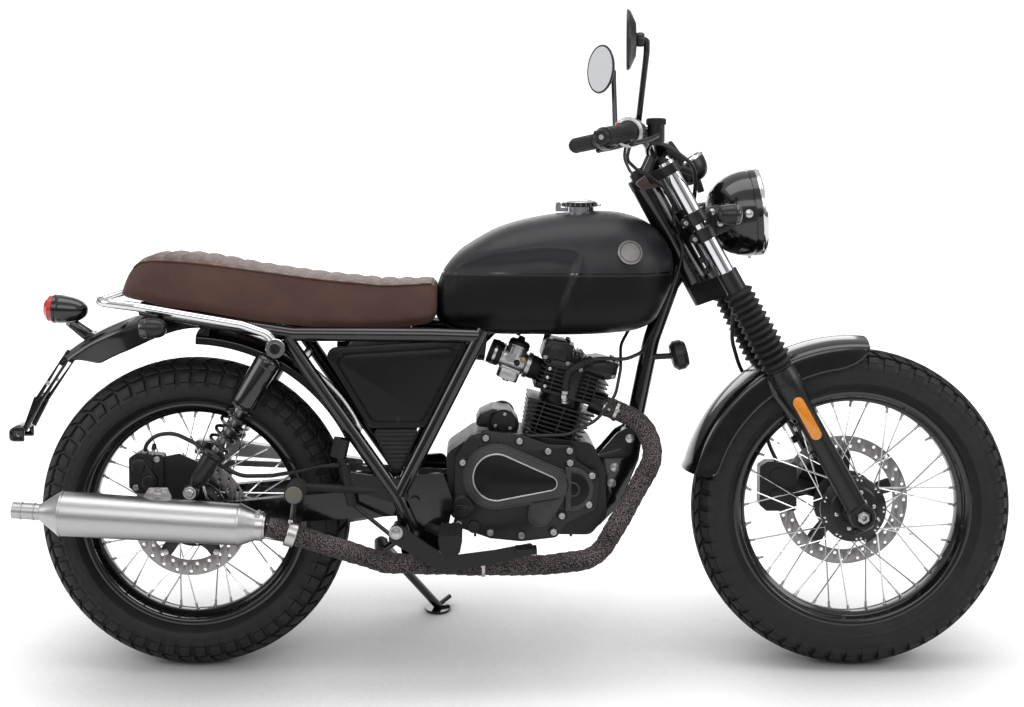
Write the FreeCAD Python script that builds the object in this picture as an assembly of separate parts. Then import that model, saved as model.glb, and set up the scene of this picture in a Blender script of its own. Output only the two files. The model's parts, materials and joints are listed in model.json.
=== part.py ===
# Cafe racer style motorcycle with a 125 class engine, parked on its side stand. Millimetres.
import FreeCAD, Part
import math
import os

V = FreeCAD.Vector

# Upright bike frame: X forward from the rear axle, Y to the rider's left, Z up from the ground.
# Every piece is modelled there and then leaned over onto the side stand as the last step.

# Wheels
WHEELBASE = 1320.0
FRONT_TYRE_R = 320.0
FRONT_TYRE_HALF_W = 50.0
FRONT_BEAD_R = 229.0
FRONT_RIM_HALF_W = 31.0
REAR_TYRE_R = 311.0
REAR_TYRE_HALF_W = 60.0
REAR_BEAD_R = 216.0
REAR_RIM_HALF_W = 40.0
TREAD_CROWN_R = 60.0
TREAD_SHOULDER = 2.0
RIM_FLANGE_H = 11.0
RIM_WELL_DEPTH = 12.0
RIM_WALL = 3.0
RIM_WELL_HALF_W = 9.0
SPOKE_COUNT = 36
SPOKE_R = 1.5
SPOKE_SKEW_DEG = 34.0
HUB_FLANGE_R = 66.0
HUB_SPOKE_R = 60.0
HUB_BARREL_R = 27.0
HUB_FLANGE_Y = 32.0
HUB_FLANGE_W = 5.0
AXLE_R = 8.0
FRONT_AXLE_BORE_R = 5.0
AXLE_FIT = 0.05
HUB_PLAIN_FACE = 48.0
HUB_BOSS_R = 50.0
HUB_NOSE = 8.0
HUB_NOSE_R = 24.0
DISC_T = 4.0
FRONT_DISC_R = 133.0
FRONT_DISC_Y = 58.0
REAR_DISC_R = 115.0
REAR_DISC_Y = 74.0
DISC_BAND = 30.0
DISC_HOLES = 24
DISC_HOLE_R = 3.5
FENDER_GAP = 26.0
FENDER_HALF_W = 64.0
FENDER_DEPTH = 62.0
FENDER_WALL = 3.0
FENDER_BEAD_R = 2.6

# Steering
RAKE_DEG = 29.2
FORK_OFFSET = 50.0
FORK_HALF_W = 95.0
FORK_TUBE_R = 15.5
SLIDER_R = 21.5
SLIDER_COLLAR_R = 28.0
SLIDER_TOP = 330.0
SLIDER_BOTTOM = -30.0
AXLE_LUG_R = 25.0
LOWER_CLAMP_S = 507.0
LOWER_CLAMP_H = 42.0
UPPER_CLAMP_S = 768.0
UPPER_CLAMP_H = 20.0
GAITER_R = 33.0
GAITER_ROOT_R = 25.0
GAITER_RIBS = 12
HEAD_TUBE_R = 27.0
STEM_R = 13.0
STEM_FIT = 0.05
PART_GAP = 0.3
STEER_STOP_DEG = 36.0

# Handlebar and lamp, by height along the fork, distance ahead of the steering axis, and side
BAR_R = 11.0
BAR_BEND_R = 45.0
BAR_CENTRE = (816.0, 53.5, 45.0)
BAR_KNEE = (850.2, 57.8, 112.0)
BAR_ELBOW = (874.1, 25.3, 205.0)
BAR_END = (900.8, -57.2, 375.0)
RISER_Y = 34.0
GRIP_R = 17.0
GRIP_LENGTH = 122.0
LAMP_CENTRE = (621.2, 152.0, 0.0)
LAMP_R = 87.0
LAMP_TILT_DEG = 6.0
LAMP_EAR_T = 8.0
SPEEDOMETER_FOOT = (722.0, 100.7, 18.0)
MIRROR_R = 53.0

# Cables
HOSE_R = 4.0
CABLE_R = 3.2
LEAD_R = 3.6

# Parking lean
LEAN_DEG = 10.0

# Engine
ENGINE_LEAN_DEG = 16.5
CYLINDER_BASE = (712.0, 0.0, 452.0)
CASE_RIGHT = -88.0
CASE_LEFT = 78.0
COVER_FLANGE_T = 18.0
COVER_BOLT_R = 10.0
CYLINDER_H = 100.0
HEAD_H = 108.0
FIN_PITCH = 9.0
FIN_T = 3.0
FIN_LENGTH = 134.0
FIN_WIDTH = 150.0
BORE_CORE_R = 44.0

# Frame and swingarm
SPINE_HEAD_UP = 626.6
DOWNTUBE_HEAD_UP = 612.0
DOWNTUBE_BEND = (490.0, -137.9, 0.0)
DOWNTUBE_FOOT = (878.0, 0.0, 462.0)
PIVOT = (445.0, 353.0)
FRAME_TUBE_R = 14.0
FRAME_HALF_W = 118.0
SWINGARM_INNER = 84.0
SWINGARM_W = 22.0
SHOCK_Y = 140.0
SHOCK_TOP = (179.0, 655.0)
SHOCK_FOOT = (13.0, 376.0)

# Chain
CHAIN_Y = 75.0
CHAIN_HALF_W = 6.0
CHAIN_HALF_H = 6.0
CHAIN_PITCH = 12.7
CHAIN_STEP_IN = 1.8
SPROCKET_TEETH = 42
REAR_SPROCKET_R = 85.0
DRIVE_SPROCKET_R = 30.5
DRIVE_CENTRE = (528.0, 344.0)

# Muffler and header
MUFFLER_FRONT = (163.0, -192.0, 319.0)
MUFFLER_REAR = (-317.0, -196.0, 351.0)
HEADER_R = 20.0

# Plate carrier
PLATE_HOLE_CENTRE = (-283.0, 0.0, 583.0)
PLATE_HOLE_HALF = 30.0
PLATE_HOLE_R = 3.25

# Side stand
STAND_PIVOT = (366.0, 116.0, 214.0)
STAND_FOOT_X = 482.0
STAND_FOOT_Y = 240.0
STAND_FOLDED = (-0.975, 0.06, -0.21)
STAND_R = 9.0
STAND_BOLT_R = 6.0
STAND_EYE_R = 15.0
STAND_EYE_HALF = 7.0

# Fuel tank and cap
KNEE_Y = 117.0
CAP_CENTRE_X = 772.0
CAP_R = 35.0
CAP_HINGE_R = 2.5


def vec(point):
    """A vector from a tuple."""
    return V(*point)


def rod(start, end, radius):
    """A round bar between two points."""
    start = V(*start)
    end = V(*end)
    return Part.makeCylinder(radius, (end - start).Length, start, end - start)


def block(x0, x1, y0, y1, z0, z1):
    """A box by its six limits."""
    return Part.makeBox(x1 - x0, y1 - y0, z1 - z0, V(x0, y0, z0))


def rounded_wire(points, radius, closed):
    """Straight runs joined by tangent arcs; the arc shrinks where a run is short."""
    corners = [vec(p) for p in points]
    count = len(corners)
    edges = []
    first = None
    last = None
    for i in range(count):
        here = corners[i]
        if not closed and i in (0, count - 1):
            entry = here
            leave = here
        else:
            before = corners[i - 1]
            after = corners[(i + 1) % count]
            back = before - here
            ahead = after - here
            turn = math.pi - back.getAngle(ahead)
            reach = min(radius * math.tan(turn / 2), 0.48 * back.Length, 0.48 * ahead.Length)
            arc_r = reach / math.tan(turn / 2)
            back.normalize()
            ahead.normalize()
            entry = here + back * reach
            leave = here + ahead * reach
            middle = (back + ahead).normalize()
            centre = here + middle * math.hypot(reach, arc_r)
            through = centre - middle * arc_r
        if last is not None and (entry - last).Length > 1e-6:
            edges.append(Part.LineSegment(last, entry).toShape())
        if entry is not leave:
            edges.append(Part.Arc(entry, through, leave).toShape())
        if first is None:
            first = entry
        last = leave
    if closed:
        edges.append(Part.LineSegment(last, first).toShape())
    return Part.Wire(edges)


def pipe(points, radius, bend):
    """A round tube swept along straight runs and tangent arcs."""
    path = rounded_wire(points, bend, False)
    start = vec(points[0])
    heading = vec(points[1]) - start
    ring = Part.Wire(Part.makeCircle(radius, start, heading))
    return path.makePipeShell([ring], True, False)


def around(base, offsets):
    """XZ corners given from a base point."""
    return [(base.x + dx, base.z + dz) for dx, dz in offsets]


def slab_xz(points, corner, y0, y1):
    """An outline in the XZ plane with rounded corners, extruded from y0 to y1."""
    outline = rounded_wire([(x, y0, z) for x, z in points], corner, True)
    return Part.Face(outline).extrude(V(0, y1 - y0, 0))


def turned(profile, base, axis):
    """A solid of revolution from (radius, height) corners about an axis through base."""
    corners = [V(r, 0, h) for r, h in profile]
    face = Part.Face(Part.makePolygon(corners + corners[:1]))
    solid = face.revolve(V(0, 0, 0), V(0, 0, 1), 360)
    return placed(solid, base, axis)


def placed(solid, base, axis):
    """A shape made about Z, moved so that Z points along the axis from base."""
    turn = FreeCAD.Rotation(V(0, 0, 1), vec(axis))
    solid.Placement = FreeCAD.Placement(vec(base), turn)
    return solid


def fused(shapes):
    """One solid from several that touch or overlap."""
    return shapes[0].multiFuse(shapes[1:]).removeSplitter()


def mirrored(shape):
    """The other side's copy."""
    return shape.mirror(V(0, 0, 0), V(0, 1, 0))


def both_sides(shape):
    """A piece and its mirror image, apart."""
    return Part.makeCompound([shape, mirrored(shape)])


def bike_axle(front):
    """Centre of a wheel in the upright bike."""
    if front:
        return (WHEELBASE, 0.0, FRONT_TYRE_R)
    return (0.0, 0.0, REAR_TYRE_R)


RAKE = math.radians(RAKE_DEG)
FORK_UP = V(-math.sin(RAKE), 0, math.cos(RAKE))
FORK_AHEAD = V(math.cos(RAKE), 0, math.sin(RAKE))
FRONT_AXLE = vec(bike_axle(True))
STEER_BASE = FRONT_AXLE - FORK_AHEAD * FORK_OFFSET


def fork_point(up, ahead, side):
    """A point by its height along the fork, its distance ahead of the steering axis, and its side."""
    return STEER_BASE + FORK_UP * up + FORK_AHEAD * ahead + V(0, side, 0)


def rim_bed(bead_r, half_w):
    """Corners of the rim's outer surface, from the left flange to the right one."""
    side = [
        (bead_r + RIM_FLANGE_H, half_w - RIM_WALL),
        (bead_r, half_w - 2 * RIM_WALL),
        (bead_r - 2.0, RIM_WELL_HALF_W + 6.0),
        (bead_r - RIM_WELL_DEPTH, RIM_WELL_HALF_W),
    ]
    return side + [(r, -y) for r, y in reversed(side)]


def make_rim(bead_r, half_w, centre):
    """A spoked wheel's drop-centre rim."""
    bed = rim_bed(bead_r, half_w)
    inner = [
        (bead_r + RIM_FLANGE_H, -half_w),
        (bead_r - RIM_WALL, -half_w),
        (bead_r - 2.0 - RIM_WALL, -RIM_WELL_HALF_W - 8.0),
        (bead_r - RIM_WELL_DEPTH - RIM_WALL, -RIM_WELL_HALF_W - 2.0),
    ]
    inner += [(r, -y) for r, y in reversed(inner)]
    return turned(bed + inner, centre, (0, 1, 0))


def make_tyre(radius, half_w, bead_r, rim_half_w, centre):
    """A round-crowned tyre seated on its rim."""
    bed = [V(r, 0, y) for r, y in rim_bed(bead_r, rim_half_w)]
    edge_y = half_w - TREAD_SHOULDER
    crown_centre = radius - TREAD_CROWN_R
    edge_r = crown_centre + math.sqrt(TREAD_CROWN_R ** 2 - edge_y ** 2)
    flange_r = bead_r + RIM_FLANGE_H
    waist_r = (edge_r + flange_r) / 2
    edges = list(Part.makePolygon(bed).Edges)
    low = bed[-1]
    high = bed[0]
    right_edge = V(edge_r, 0, -edge_y)
    left_edge = V(edge_r, 0, edge_y)
    edges.append(Part.Arc(low, V(waist_r, 0, -half_w), right_edge).toShape())
    edges.append(Part.Arc(right_edge, V(radius, 0, 0), left_edge).toShape())
    edges.append(Part.Arc(left_edge, V(waist_r, 0, half_w), high).toShape())
    face = Part.Face(Part.Wire(edges))
    solid = face.revolve(V(0, 0, 0), V(0, 0, 1), 360)
    return placed(solid, centre, (0, 1, 0))


def spoke(index, well_r, half_count_step):
    """One straight spoke about the wheel axis, from its hub flange into the rim."""
    rim_angle = math.radians(index * half_count_step)
    side = 1 if index % 2 else -1
    lead = 1 if (index // 2) % 2 else -1
    hub_angle = rim_angle + lead * math.radians(SPOKE_SKEW_DEG)
    hub_y = side * (HUB_FLANGE_Y + lead * 2.2)
    start = V(HUB_SPOKE_R * math.cos(hub_angle), HUB_SPOKE_R * math.sin(hub_angle), hub_y)
    end_r = well_r + RIM_WALL / 2
    end = V(end_r * math.cos(rim_angle), end_r * math.sin(rim_angle), side * 5.0)
    ring = Part.makeCircle(SPOKE_R, start, end - start)
    corners = [ring.valueAt(k * 2 * math.pi / 6) for k in range(6)]
    face = Part.Face(Part.makePolygon(corners + corners[:1]))
    return face.extrude(end - start)


def make_hub(bead_r, centre, rim, right_face, left_face):
    """Hub barrel, two spoke flanges, a boss to each side's face and the spokes."""
    well_r = bead_r - RIM_WELL_DEPTH - RIM_WALL
    bore = AXLE_R + AXLE_FIT
    inner_y = HUB_FLANGE_Y - HUB_FLANGE_W
    outer_y = HUB_FLANGE_Y + HUB_FLANGE_W
    profile = [
        (bore, -right_face - HUB_NOSE), (HUB_NOSE_R, -right_face - HUB_NOSE), (HUB_NOSE_R, -right_face),
        (HUB_BOSS_R, -right_face), (HUB_BOSS_R, -outer_y - 4), (HUB_FLANGE_R, -outer_y),
        (HUB_FLANGE_R, -inner_y), (HUB_BARREL_R, -inner_y + 6), (HUB_BARREL_R, inner_y - 6),
        (HUB_FLANGE_R, inner_y), (HUB_FLANGE_R, outer_y), (HUB_BOSS_R, outer_y + 4),
        (HUB_BOSS_R, left_face), (HUB_NOSE_R, left_face), (HUB_NOSE_R, left_face + HUB_NOSE),
        (bore, left_face + HUB_NOSE),
    ]
    hub = turned(profile, (0, 0, 0), (0, 0, 1))
    step = 360.0 / SPOKE_COUNT
    spokes = [spoke(i, well_r, step) for i in range(SPOKE_COUNT)]
    solid = hub.multiFuse(spokes)
    return placed(solid, centre, (0, 1, 0)).cut(rim)


def make_disc(radius, centre, disc_y):
    """A brake disc with two staggered rings of holes and its carrier bolted on the hub's face."""
    inner_r = radius - DISC_BAND
    y0 = disc_y - DISC_T / 2
    y1 = disc_y + DISC_T / 2
    cx, _, cz = centre
    band = turned([(inner_r, y0), (radius, y0), (radius, y1), (inner_r, y1)], (cx, 0, cz), (0, 1, 0))
    ring = turned([(24.5, y0), (52.0, y0), (52.0, y1), (24.5, y1)], (cx, 0, cz), (0, 1, 0))
    arms = []
    for k in range(5):
        arm = block(45.0, inner_r + 4.0, y0, y1, -9.0, 9.0)
        arm.rotate(V(0, 0, 0), V(0, 1, 0), k * 72.0)
        arm.translate(V(cx, 0, cz))
        arms.append(arm)
    holes = []
    for k in range(DISC_HOLES):
        for row, half_step in ((0.36, 0.0), (0.70, 0.5)):
            angle = 2 * math.pi * (k + half_step) / DISC_HOLES
            hole_r = inner_r + row * DISC_BAND
            x = cx + hole_r * math.cos(angle)
            z = cz + hole_r * math.sin(angle)
            holes.append(rod((x, y0 - 1, z), (x, y1 + 1, z), DISC_HOLE_R))
    return fused([band, ring] + arms).cut(Part.makeCompound(holes))


def make_fork_tubes():
    """The two chrome stanchions."""
    tube = rod(fork_point(SLIDER_TOP, FORK_OFFSET, FORK_HALF_W),
               fork_point(UPPER_CLAMP_S + UPPER_CLAMP_H + 6, FORK_OFFSET, FORK_HALF_W), FORK_TUBE_R)
    return both_sides(tube)


def make_sliders():
    """Lower fork legs with a wide collar and axle lugs, joined by the hollow front axle."""
    collar_low = SLIDER_TOP - 94
    profile = [
        (0, SLIDER_BOTTOM), (SLIDER_R - 9.5, SLIDER_BOTTOM), (SLIDER_R - 1, SLIDER_BOTTOM + 10),
        (SLIDER_R, SLIDER_BOTTOM + 20), (SLIDER_R, collar_low), (SLIDER_COLLAR_R - 2.5, collar_low + 32),
        (SLIDER_COLLAR_R, collar_low + 60), (SLIDER_COLLAR_R, SLIDER_TOP - 10),
        (SLIDER_COLLAR_R - 1.4, SLIDER_TOP),
        (0, SLIDER_TOP),
    ]
    leg = turned(profile, tuple(fork_point(0, FORK_OFFSET, FORK_HALF_W)), tuple(FORK_UP))
    lug_in = FORK_HALF_W - SLIDER_R - 1.5
    lug_out = FORK_HALF_W + 23.0
    lug = rod((WHEELBASE, lug_in, FRONT_TYRE_R), (WHEELBASE, lug_out, FRONT_TYRE_R), AXLE_LUG_R)
    side = fused([leg, lug])
    end_y = FORK_HALF_W + 30
    axle = rod((WHEELBASE, -end_y, FRONT_TYRE_R), (WHEELBASE, end_y, FRONT_TYRE_R), AXLE_R)
    right_face = -HUB_PLAIN_FACE - HUB_NOSE - PART_GAP
    left_face = FRONT_DISC_Y - DISC_T / 2 + HUB_NOSE + PART_GAP
    spacer = rod((WHEELBASE, -FORK_HALF_W, FRONT_TYRE_R), (WHEELBASE, right_face, FRONT_TYRE_R), 14.0)
    spacer_left = rod((WHEELBASE, FORK_HALF_W, FRONT_TYRE_R), (WHEELBASE, left_face, FRONT_TYRE_R), 14.0)
    bore = rod((WHEELBASE, -end_y - 10, FRONT_TYRE_R), (WHEELBASE, end_y + 10, FRONT_TYRE_R),
               FRONT_AXLE_BORE_R)
    return fused([side, mirrored(side), axle, spacer, spacer_left]).cut(bore)


def make_gaiters():
    """Ribbed rubber boots round the fork tubes."""
    bottom = SLIDER_TOP
    top = LOWER_CLAMP_S
    pitch = (top - bottom) / GAITER_RIBS
    bore = FORK_TUBE_R
    profile = [(bore, 0.0), (GAITER_ROOT_R, 0.0)]
    for k in range(GAITER_RIBS):
        profile.append((GAITER_R, (k + 0.5) * pitch))
        profile.append((GAITER_ROOT_R, (k + 1.0) * pitch))
    profile.append((bore, top - bottom))
    boot = turned(profile, tuple(fork_point(bottom, FORK_OFFSET, FORK_HALF_W)), tuple(FORK_UP))
    return both_sides(boot)


def clamp_plate(low, height, barrel_r):
    """A steering clamp: two barrels round the tubes and a web through the steering axis."""
    foot = fork_point(low, FORK_OFFSET, FORK_HALF_W)
    barrel = rod(foot, foot + FORK_UP * height, barrel_r)
    centre = rod(fork_point(low, 0, 0), fork_point(low + height, 0, 0), STEM_R + 14)
    back = FORK_OFFSET - 16
    front = FORK_OFFSET + 14
    tail = -STEM_R - 10
    corners = [(back, FORK_HALF_W), (front, FORK_HALF_W), (front, -FORK_HALF_W), (back, -FORK_HALF_W),
               (tail, -18), (tail, 18)]
    points = [fork_point(low, ahead, side) for ahead, side in corners]
    web = Part.Face(Part.makePolygon(points + points[:1])).extrude(FORK_UP * height)
    return fused([barrel, mirrored(barrel), centre, web])


def make_clamps(tubes):
    """Upper and lower clamps on the steering stem."""
    lower = clamp_plate(LOWER_CLAMP_S, LOWER_CLAMP_H, 20.5)
    upper = clamp_plate(UPPER_CLAMP_S, UPPER_CLAMP_H, 20.5)
    stem = rod(fork_point(LOWER_CLAMP_S + 10, 0, 0), fork_point(UPPER_CLAMP_S + UPPER_CLAMP_H + 16, 0, 0),
               STEM_R)
    nut = rod(fork_point(UPPER_CLAMP_S + UPPER_CLAMP_H, 0, 0),
              fork_point(UPPER_CLAMP_S + UPPER_CLAMP_H + 12, 0, 0), 17.0)
    return fused([lower, upper, stem, nut]).cut(tubes)


def head_tube():
    """The head tube with its bore for the steering stem."""
    low = LOWER_CLAMP_S + LOWER_CLAMP_H + PART_GAP
    high = UPPER_CLAMP_S - PART_GAP
    outer = rod(fork_point(low, 0, 0), fork_point(high, 0, 0), HEAD_TUBE_R)
    return outer, rod(fork_point(low - 5, 0, 0), fork_point(high + 5, 0, 0), STEM_R + STEM_FIT)


def bar_points():
    """Corners of the handlebar from the right end to the left end."""
    left = [fork_point(*corner) for corner in (BAR_CENTRE, BAR_KNEE, BAR_ELBOW, BAR_END)]
    right = [V(p.x, -p.y, p.z) for p in reversed(left)]
    return right + left


def make_handlebar(clamps):
    """Handlebar tube with its two risers on the upper clamp."""
    tube = pipe(bar_points(), BAR_R, BAR_BEND_R)
    foot = UPPER_CLAMP_S + UPPER_CLAMP_H
    up, ahead, _ = BAR_CENTRE
    riser = rod(fork_point(foot, 16, RISER_Y), fork_point(up, ahead, RISER_Y), 12.5)
    cap = rod(fork_point(up, ahead, RISER_Y - 12), fork_point(up, ahead, RISER_Y + 12), 17.5)
    side = fused([riser, cap])
    return fused([tube, side, mirrored(side)]).cut(clamps)


def grip_ends():
    """Outer and inner end of the left grip."""
    outer = fork_point(*BAR_END)
    inward = (fork_point(*BAR_ELBOW) - outer).normalize()
    return outer, outer + inward * GRIP_LENGTH, inward


def make_grips(bar):
    """Rubber grips with bar-end weights."""
    outer, inner, inward = grip_ends()
    grip = Part.makeCylinder(GRIP_R, GRIP_LENGTH, outer, inward)
    rim = Part.makeCylinder(GRIP_R + 3, 5, inner - inward * 5, inward)
    side = fused([grip, rim]).cut(bar)
    return both_sides(side)


def make_controls(bar):
    """Switch housings, lever perches, levers and the brake cylinder with its reservoir."""
    outer, inner, inward = grip_ends()
    housing = Part.makeCylinder(24, 30, inner + inward * 1, inward)
    perch = Part.makeCylinder(17, 26, inner + inward * 31, inward)
    knuckle = inner + inward * 40 + V(30, 0, -6)
    arm = rod(inner + inward * 44, knuckle, 9)
    tip = outer + V(52, -6, -10)
    lever = pipe([knuckle, knuckle + V(8, 40, -3), tip], 5.5, 60)
    side = fused([housing, perch, arm, lever])
    elbow = fork_point(*BAR_ELBOW)
    post = V(elbow.x + 24, -elbow.y - 41, elbow.z - 25)
    reservoir = Part.makeCylinder(16, 46, post)
    neck = rod(post + V(-14, -4, 14), post + V(0, 0, 10), 9)
    right = fused([mirrored(side), reservoir, neck])
    return Part.makeCompound([side.cut(bar), right.cut(bar)])


def make_mirror(centre, facing, foot):
    """One round mirror on its stem."""
    rim = MIRROR_R
    head = turned([(0, -12), (rim - 23, -9), (rim - 3, 0), (rim, 3), (rim, 6), (0, 6)], centre, facing)
    facing = vec(facing).normalize()
    back = centre - facing * 22
    ball = rod(centre - facing * 8, back, 9)
    stem = pipe([back, back + V(6, 0, -2), back + V(6, 0, -22), foot], 5.5, 12)
    return fused([head, ball, stem])


def make_mirrors(controls, bar):
    """Both mirrors, screwed into the lever perches."""
    elbow = fork_point(*BAR_ELBOW)
    foot = elbow + V(-8, 24, 3)
    right_foot = V(foot.x, -foot.y, foot.z)
    right_head = V(elbow.x - 36, -elbow.y - 167, elbow.z + 154)
    left_head = elbow + V(-28, 125, 150)
    right = make_mirror(right_head, (-1.0, 0.09, 0.0), right_foot)
    left = make_mirror(left_head, (-0.88, -0.46, 0.05), foot)
    return Part.makeCompound([right.cut(controls).cut(bar), left.cut(controls).cut(bar)])


def make_headlight():
    """Headlamp bowl with its rim on two side ears clamped to the fork tubes, and its lens."""
    centre = fork_point(*LAMP_CENTRE)
    tilt = math.radians(LAMP_TILT_DEG)
    facing = (math.cos(tilt), 0.0, math.sin(tilt))
    outside = [(0, -80), (32, -76.5), (59, -63), (77, -40), (86, -11), (LAMP_R, 0), (LAMP_R, 18),
               (LAMP_R + 3, 21),
               (LAMP_R + 3, 24), (LAMP_R - 3, 29)]
    inside = [(LAMP_R - 8, 26), (LAMP_R - 8, 6), (0, 6)]
    bowl = turned(outside + inside, centre, facing)
    lens_r = LAMP_R - 8
    lens = turned([(0, 6), (lens_r, 6), (lens_r, 25), (66, 29.5), (48, 33.6), (24, 37), (0, 38)], centre,
                  facing)
    clamps = []
    for low in (624, 660):
        foot = fork_point(low, FORK_OFFSET, FORK_HALF_W)
        clamps.append(rod(foot, foot + FORK_UP * 22, FORK_TUBE_R + 4.5))
    ear_out = FORK_HALF_W - 3
    ear_in = ear_out - LAMP_EAR_T
    outline = [(-112, 0), (-96, -50), (-66, -40), (-30, -22), (6, -14), (12, 2), (2, 16), (-36, 14),
               (-76, 18)]
    ear = slab_xz(around(centre, outline), 7, ear_in, ear_out)
    bridge = slab_xz(around(centre, [(-110, -2), (-96, -44), (-78, -36), (-86, 10)]), 5, ear_in,
                     FORK_HALF_W + 11)
    slot = rod((centre.x - 52, ear_in - 1, centre.z - 7), (centre.x - 52, ear_out + 1, centre.z - 7), 6)
    bolt = rod((centre.x - 10, LAMP_R - 7, centre.z), (centre.x - 10, ear_out + 4, centre.z), 9)
    side = fused(clamps + [bridge, ear.cut(slot), bolt])
    shell = fused([bowl, side, mirrored(side)])
    return shell, lens


def make_speedometer(clamps):
    """Round speedometer cup and a small warning light box on a bracket."""
    back = fork_point(*SPEEDOMETER_FOOT)
    cup = turned([(0, 0), (10, 0.5), (20, 3), (29, 11), (34, 22), (37, 36), (38.5, 44), (38.5, 48),
                  (34, 49.5),
                  (34, 45), (0, 45)], back, (-0.55, 0.0, 0.84))
    box = slab_xz(around(back, [(-78, 61), (-68, 83), (-38, 43), (-46, 27)]), 4, -76, -20)
    plate = slab_xz(around(back, [(-90, 37), (-80, 49), (-10, 21), (-18, 9)]), 3, -48, 42)
    return fused([cup, box, plate]).cut(clamps)


def fender_web(radius, half_w, skirt_r, at_deg, thick_deg, centre):
    """A closed wall across a mudguard's section."""
    corners = [V(skirt_r, 0, -half_w), V(radius - 22, 0, -half_w), V(radius, 0, 0),
               V(radius - 22, 0, half_w),
               V(skirt_r, 0, half_w)]
    edges = [
        Part.LineSegment(corners[0], corners[1]).toShape(),
        Part.Arc(corners[1], corners[2], corners[3]).toShape(),
        Part.LineSegment(corners[3], corners[4]).toShape(),
        Part.LineSegment(corners[4], corners[0]).toShape(),
    ]
    return swung(Part.Face(Part.Wire(edges)), at_deg, thick_deg, centre)


def swung(face, start_deg, sweep_deg, centre):
    """A radial section swept about a wheel's axis."""
    face.rotate(V(0, 0, 0), V(1, 0, 0), -90)
    face.rotate(V(0, 0, 0), V(0, 1, 0), -start_deg)
    solid = face.revolve(V(0, 0, 0), V(0, -1, 0), sweep_deg)
    solid.translate(vec(centre))
    return solid


def fender_shell(radius, half_w, skirt_r, start_deg, end_deg, centre, wall):
    """A crowned mudguard: an arc section revolved about the axle between two angles."""
    outer = [V(skirt_r, 0, -half_w), V(radius - 22, 0, -half_w), V(radius, 0, 0),
             V(radius - 22, 0, half_w), V(skirt_r, 0, half_w)]
    inner = [V(skirt_r, 0, half_w - wall), V(radius - 23 - wall / 2, 0, half_w - wall),
             V(radius - wall, 0, 0),
             V(radius - 23 - wall / 2, 0, wall - half_w), V(skirt_r, 0, wall - half_w)]
    edges = [
        Part.LineSegment(outer[0], outer[1]).toShape(),
        Part.Arc(outer[1], outer[2], outer[3]).toShape(),
        Part.LineSegment(outer[3], outer[4]).toShape(),
        Part.LineSegment(outer[4], inner[0]).toShape(),
        Part.LineSegment(inner[0], inner[1]).toShape(),
        Part.Arc(inner[1], inner[2], inner[3]).toShape(),
        Part.LineSegment(inner[3], inner[4]).toShape(),
        Part.LineSegment(inner[4], outer[0]).toShape(),
    ]
    return swung(Part.Face(Part.Wire(edges)), start_deg, end_deg - start_deg, centre)


def make_front_fender(sliders):
    """Front mudguard with rolled edges and its two stay plates to the sliders."""
    axle = bike_axle(True)
    outer_r = FRONT_TYRE_R + FENDER_GAP
    skirt_r = outer_r - FENDER_DEPTH
    start = 87.0
    end = 166.0
    shell = fender_shell(outer_r, FENDER_HALF_W, skirt_r, start, end, axle, FENDER_WALL)
    ring = Part.makeCircle(FENDER_BEAD_R, V(skirt_r, 0, FENDER_HALF_W - FENDER_WALL / 2), V(0, 1, 0))
    bead = swung(Part.Face(Part.Wire(ring)), start, end - start, axle)
    stay_top = outer_r - 26.0
    corners = []
    for at_deg in (127.0, 117.0):
        angle = math.radians(at_deg)
        corners.append((WHEELBASE + stay_top * math.cos(angle), FRONT_TYRE_R + stay_top * math.sin(angle)))
    for up, ahead in ((220.0, 65.0), (206.0, 44.0), (222.0, 22.0)):
        foot = fork_point(up, ahead, 0)
        corners.append((foot.x, foot.z))
    stay = slab_xz(corners, 8, FENDER_HALF_W - 4, FORK_HALF_W - SLIDER_R + 2.5)
    hole = rod((corners[4][0] + 10, 50, corners[4][1] + 36), (corners[4][0] + 10, 90, corners[4][1] + 36),
               7)
    stay = stay.cut(hole)
    return fused([shell, bead, mirrored(bead), stay, mirrored(stay)]).cut(sliders)


def make_frame_front(case):
    """Head tube, backbone, downtube, gusset and the engine's front plates with their curved opening."""
    outer, bore = head_tube()
    spine = pipe([fork_point(SPINE_HEAD_UP, 5, 0), (760, 0, 776), (620, 0, 712), (564, 0, 658)], 20.0, 120)
    head = fork_point(DOWNTUBE_HEAD_UP, 0, 0)
    bend = fork_point(*DOWNTUBE_BEND)
    down = pipe([head, bend, DOWNTUBE_FOOT], 17.0, 200)
    gusset = slab_xz(around(head, [(7, 20), (12, -40), (-48, -130), (-118, -40), (-78, -10)]), 6, -5, 5)
    outline = [(846, 472), (868, 484), (898, 474), (890, 420), (854, 330), (810, 284), (776, 300),
               (790, 322),
               (816, 338), (828, 362), (822, 386), (800, 402), (806, 426)]
    plate = slab_xz(outline, 9, 26, 32)
    foot = vec(DOWNTUBE_FOOT)
    boss = rod(foot + V(-6, -32, 0), foot + V(-6, 32, 0), 19)
    frame = fused([outer, spine, down, gusset, plate, mirrored(plate), boss])
    cross = rod((564, -FRAME_HALF_W, 658), (564, FRAME_HALF_W, 658), 12)
    tank_pad = rod((700, -34, 744), (700, 34, 744), 12)
    return fused([frame, cross, tank_pad]).cut(bore).cut(case)


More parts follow.
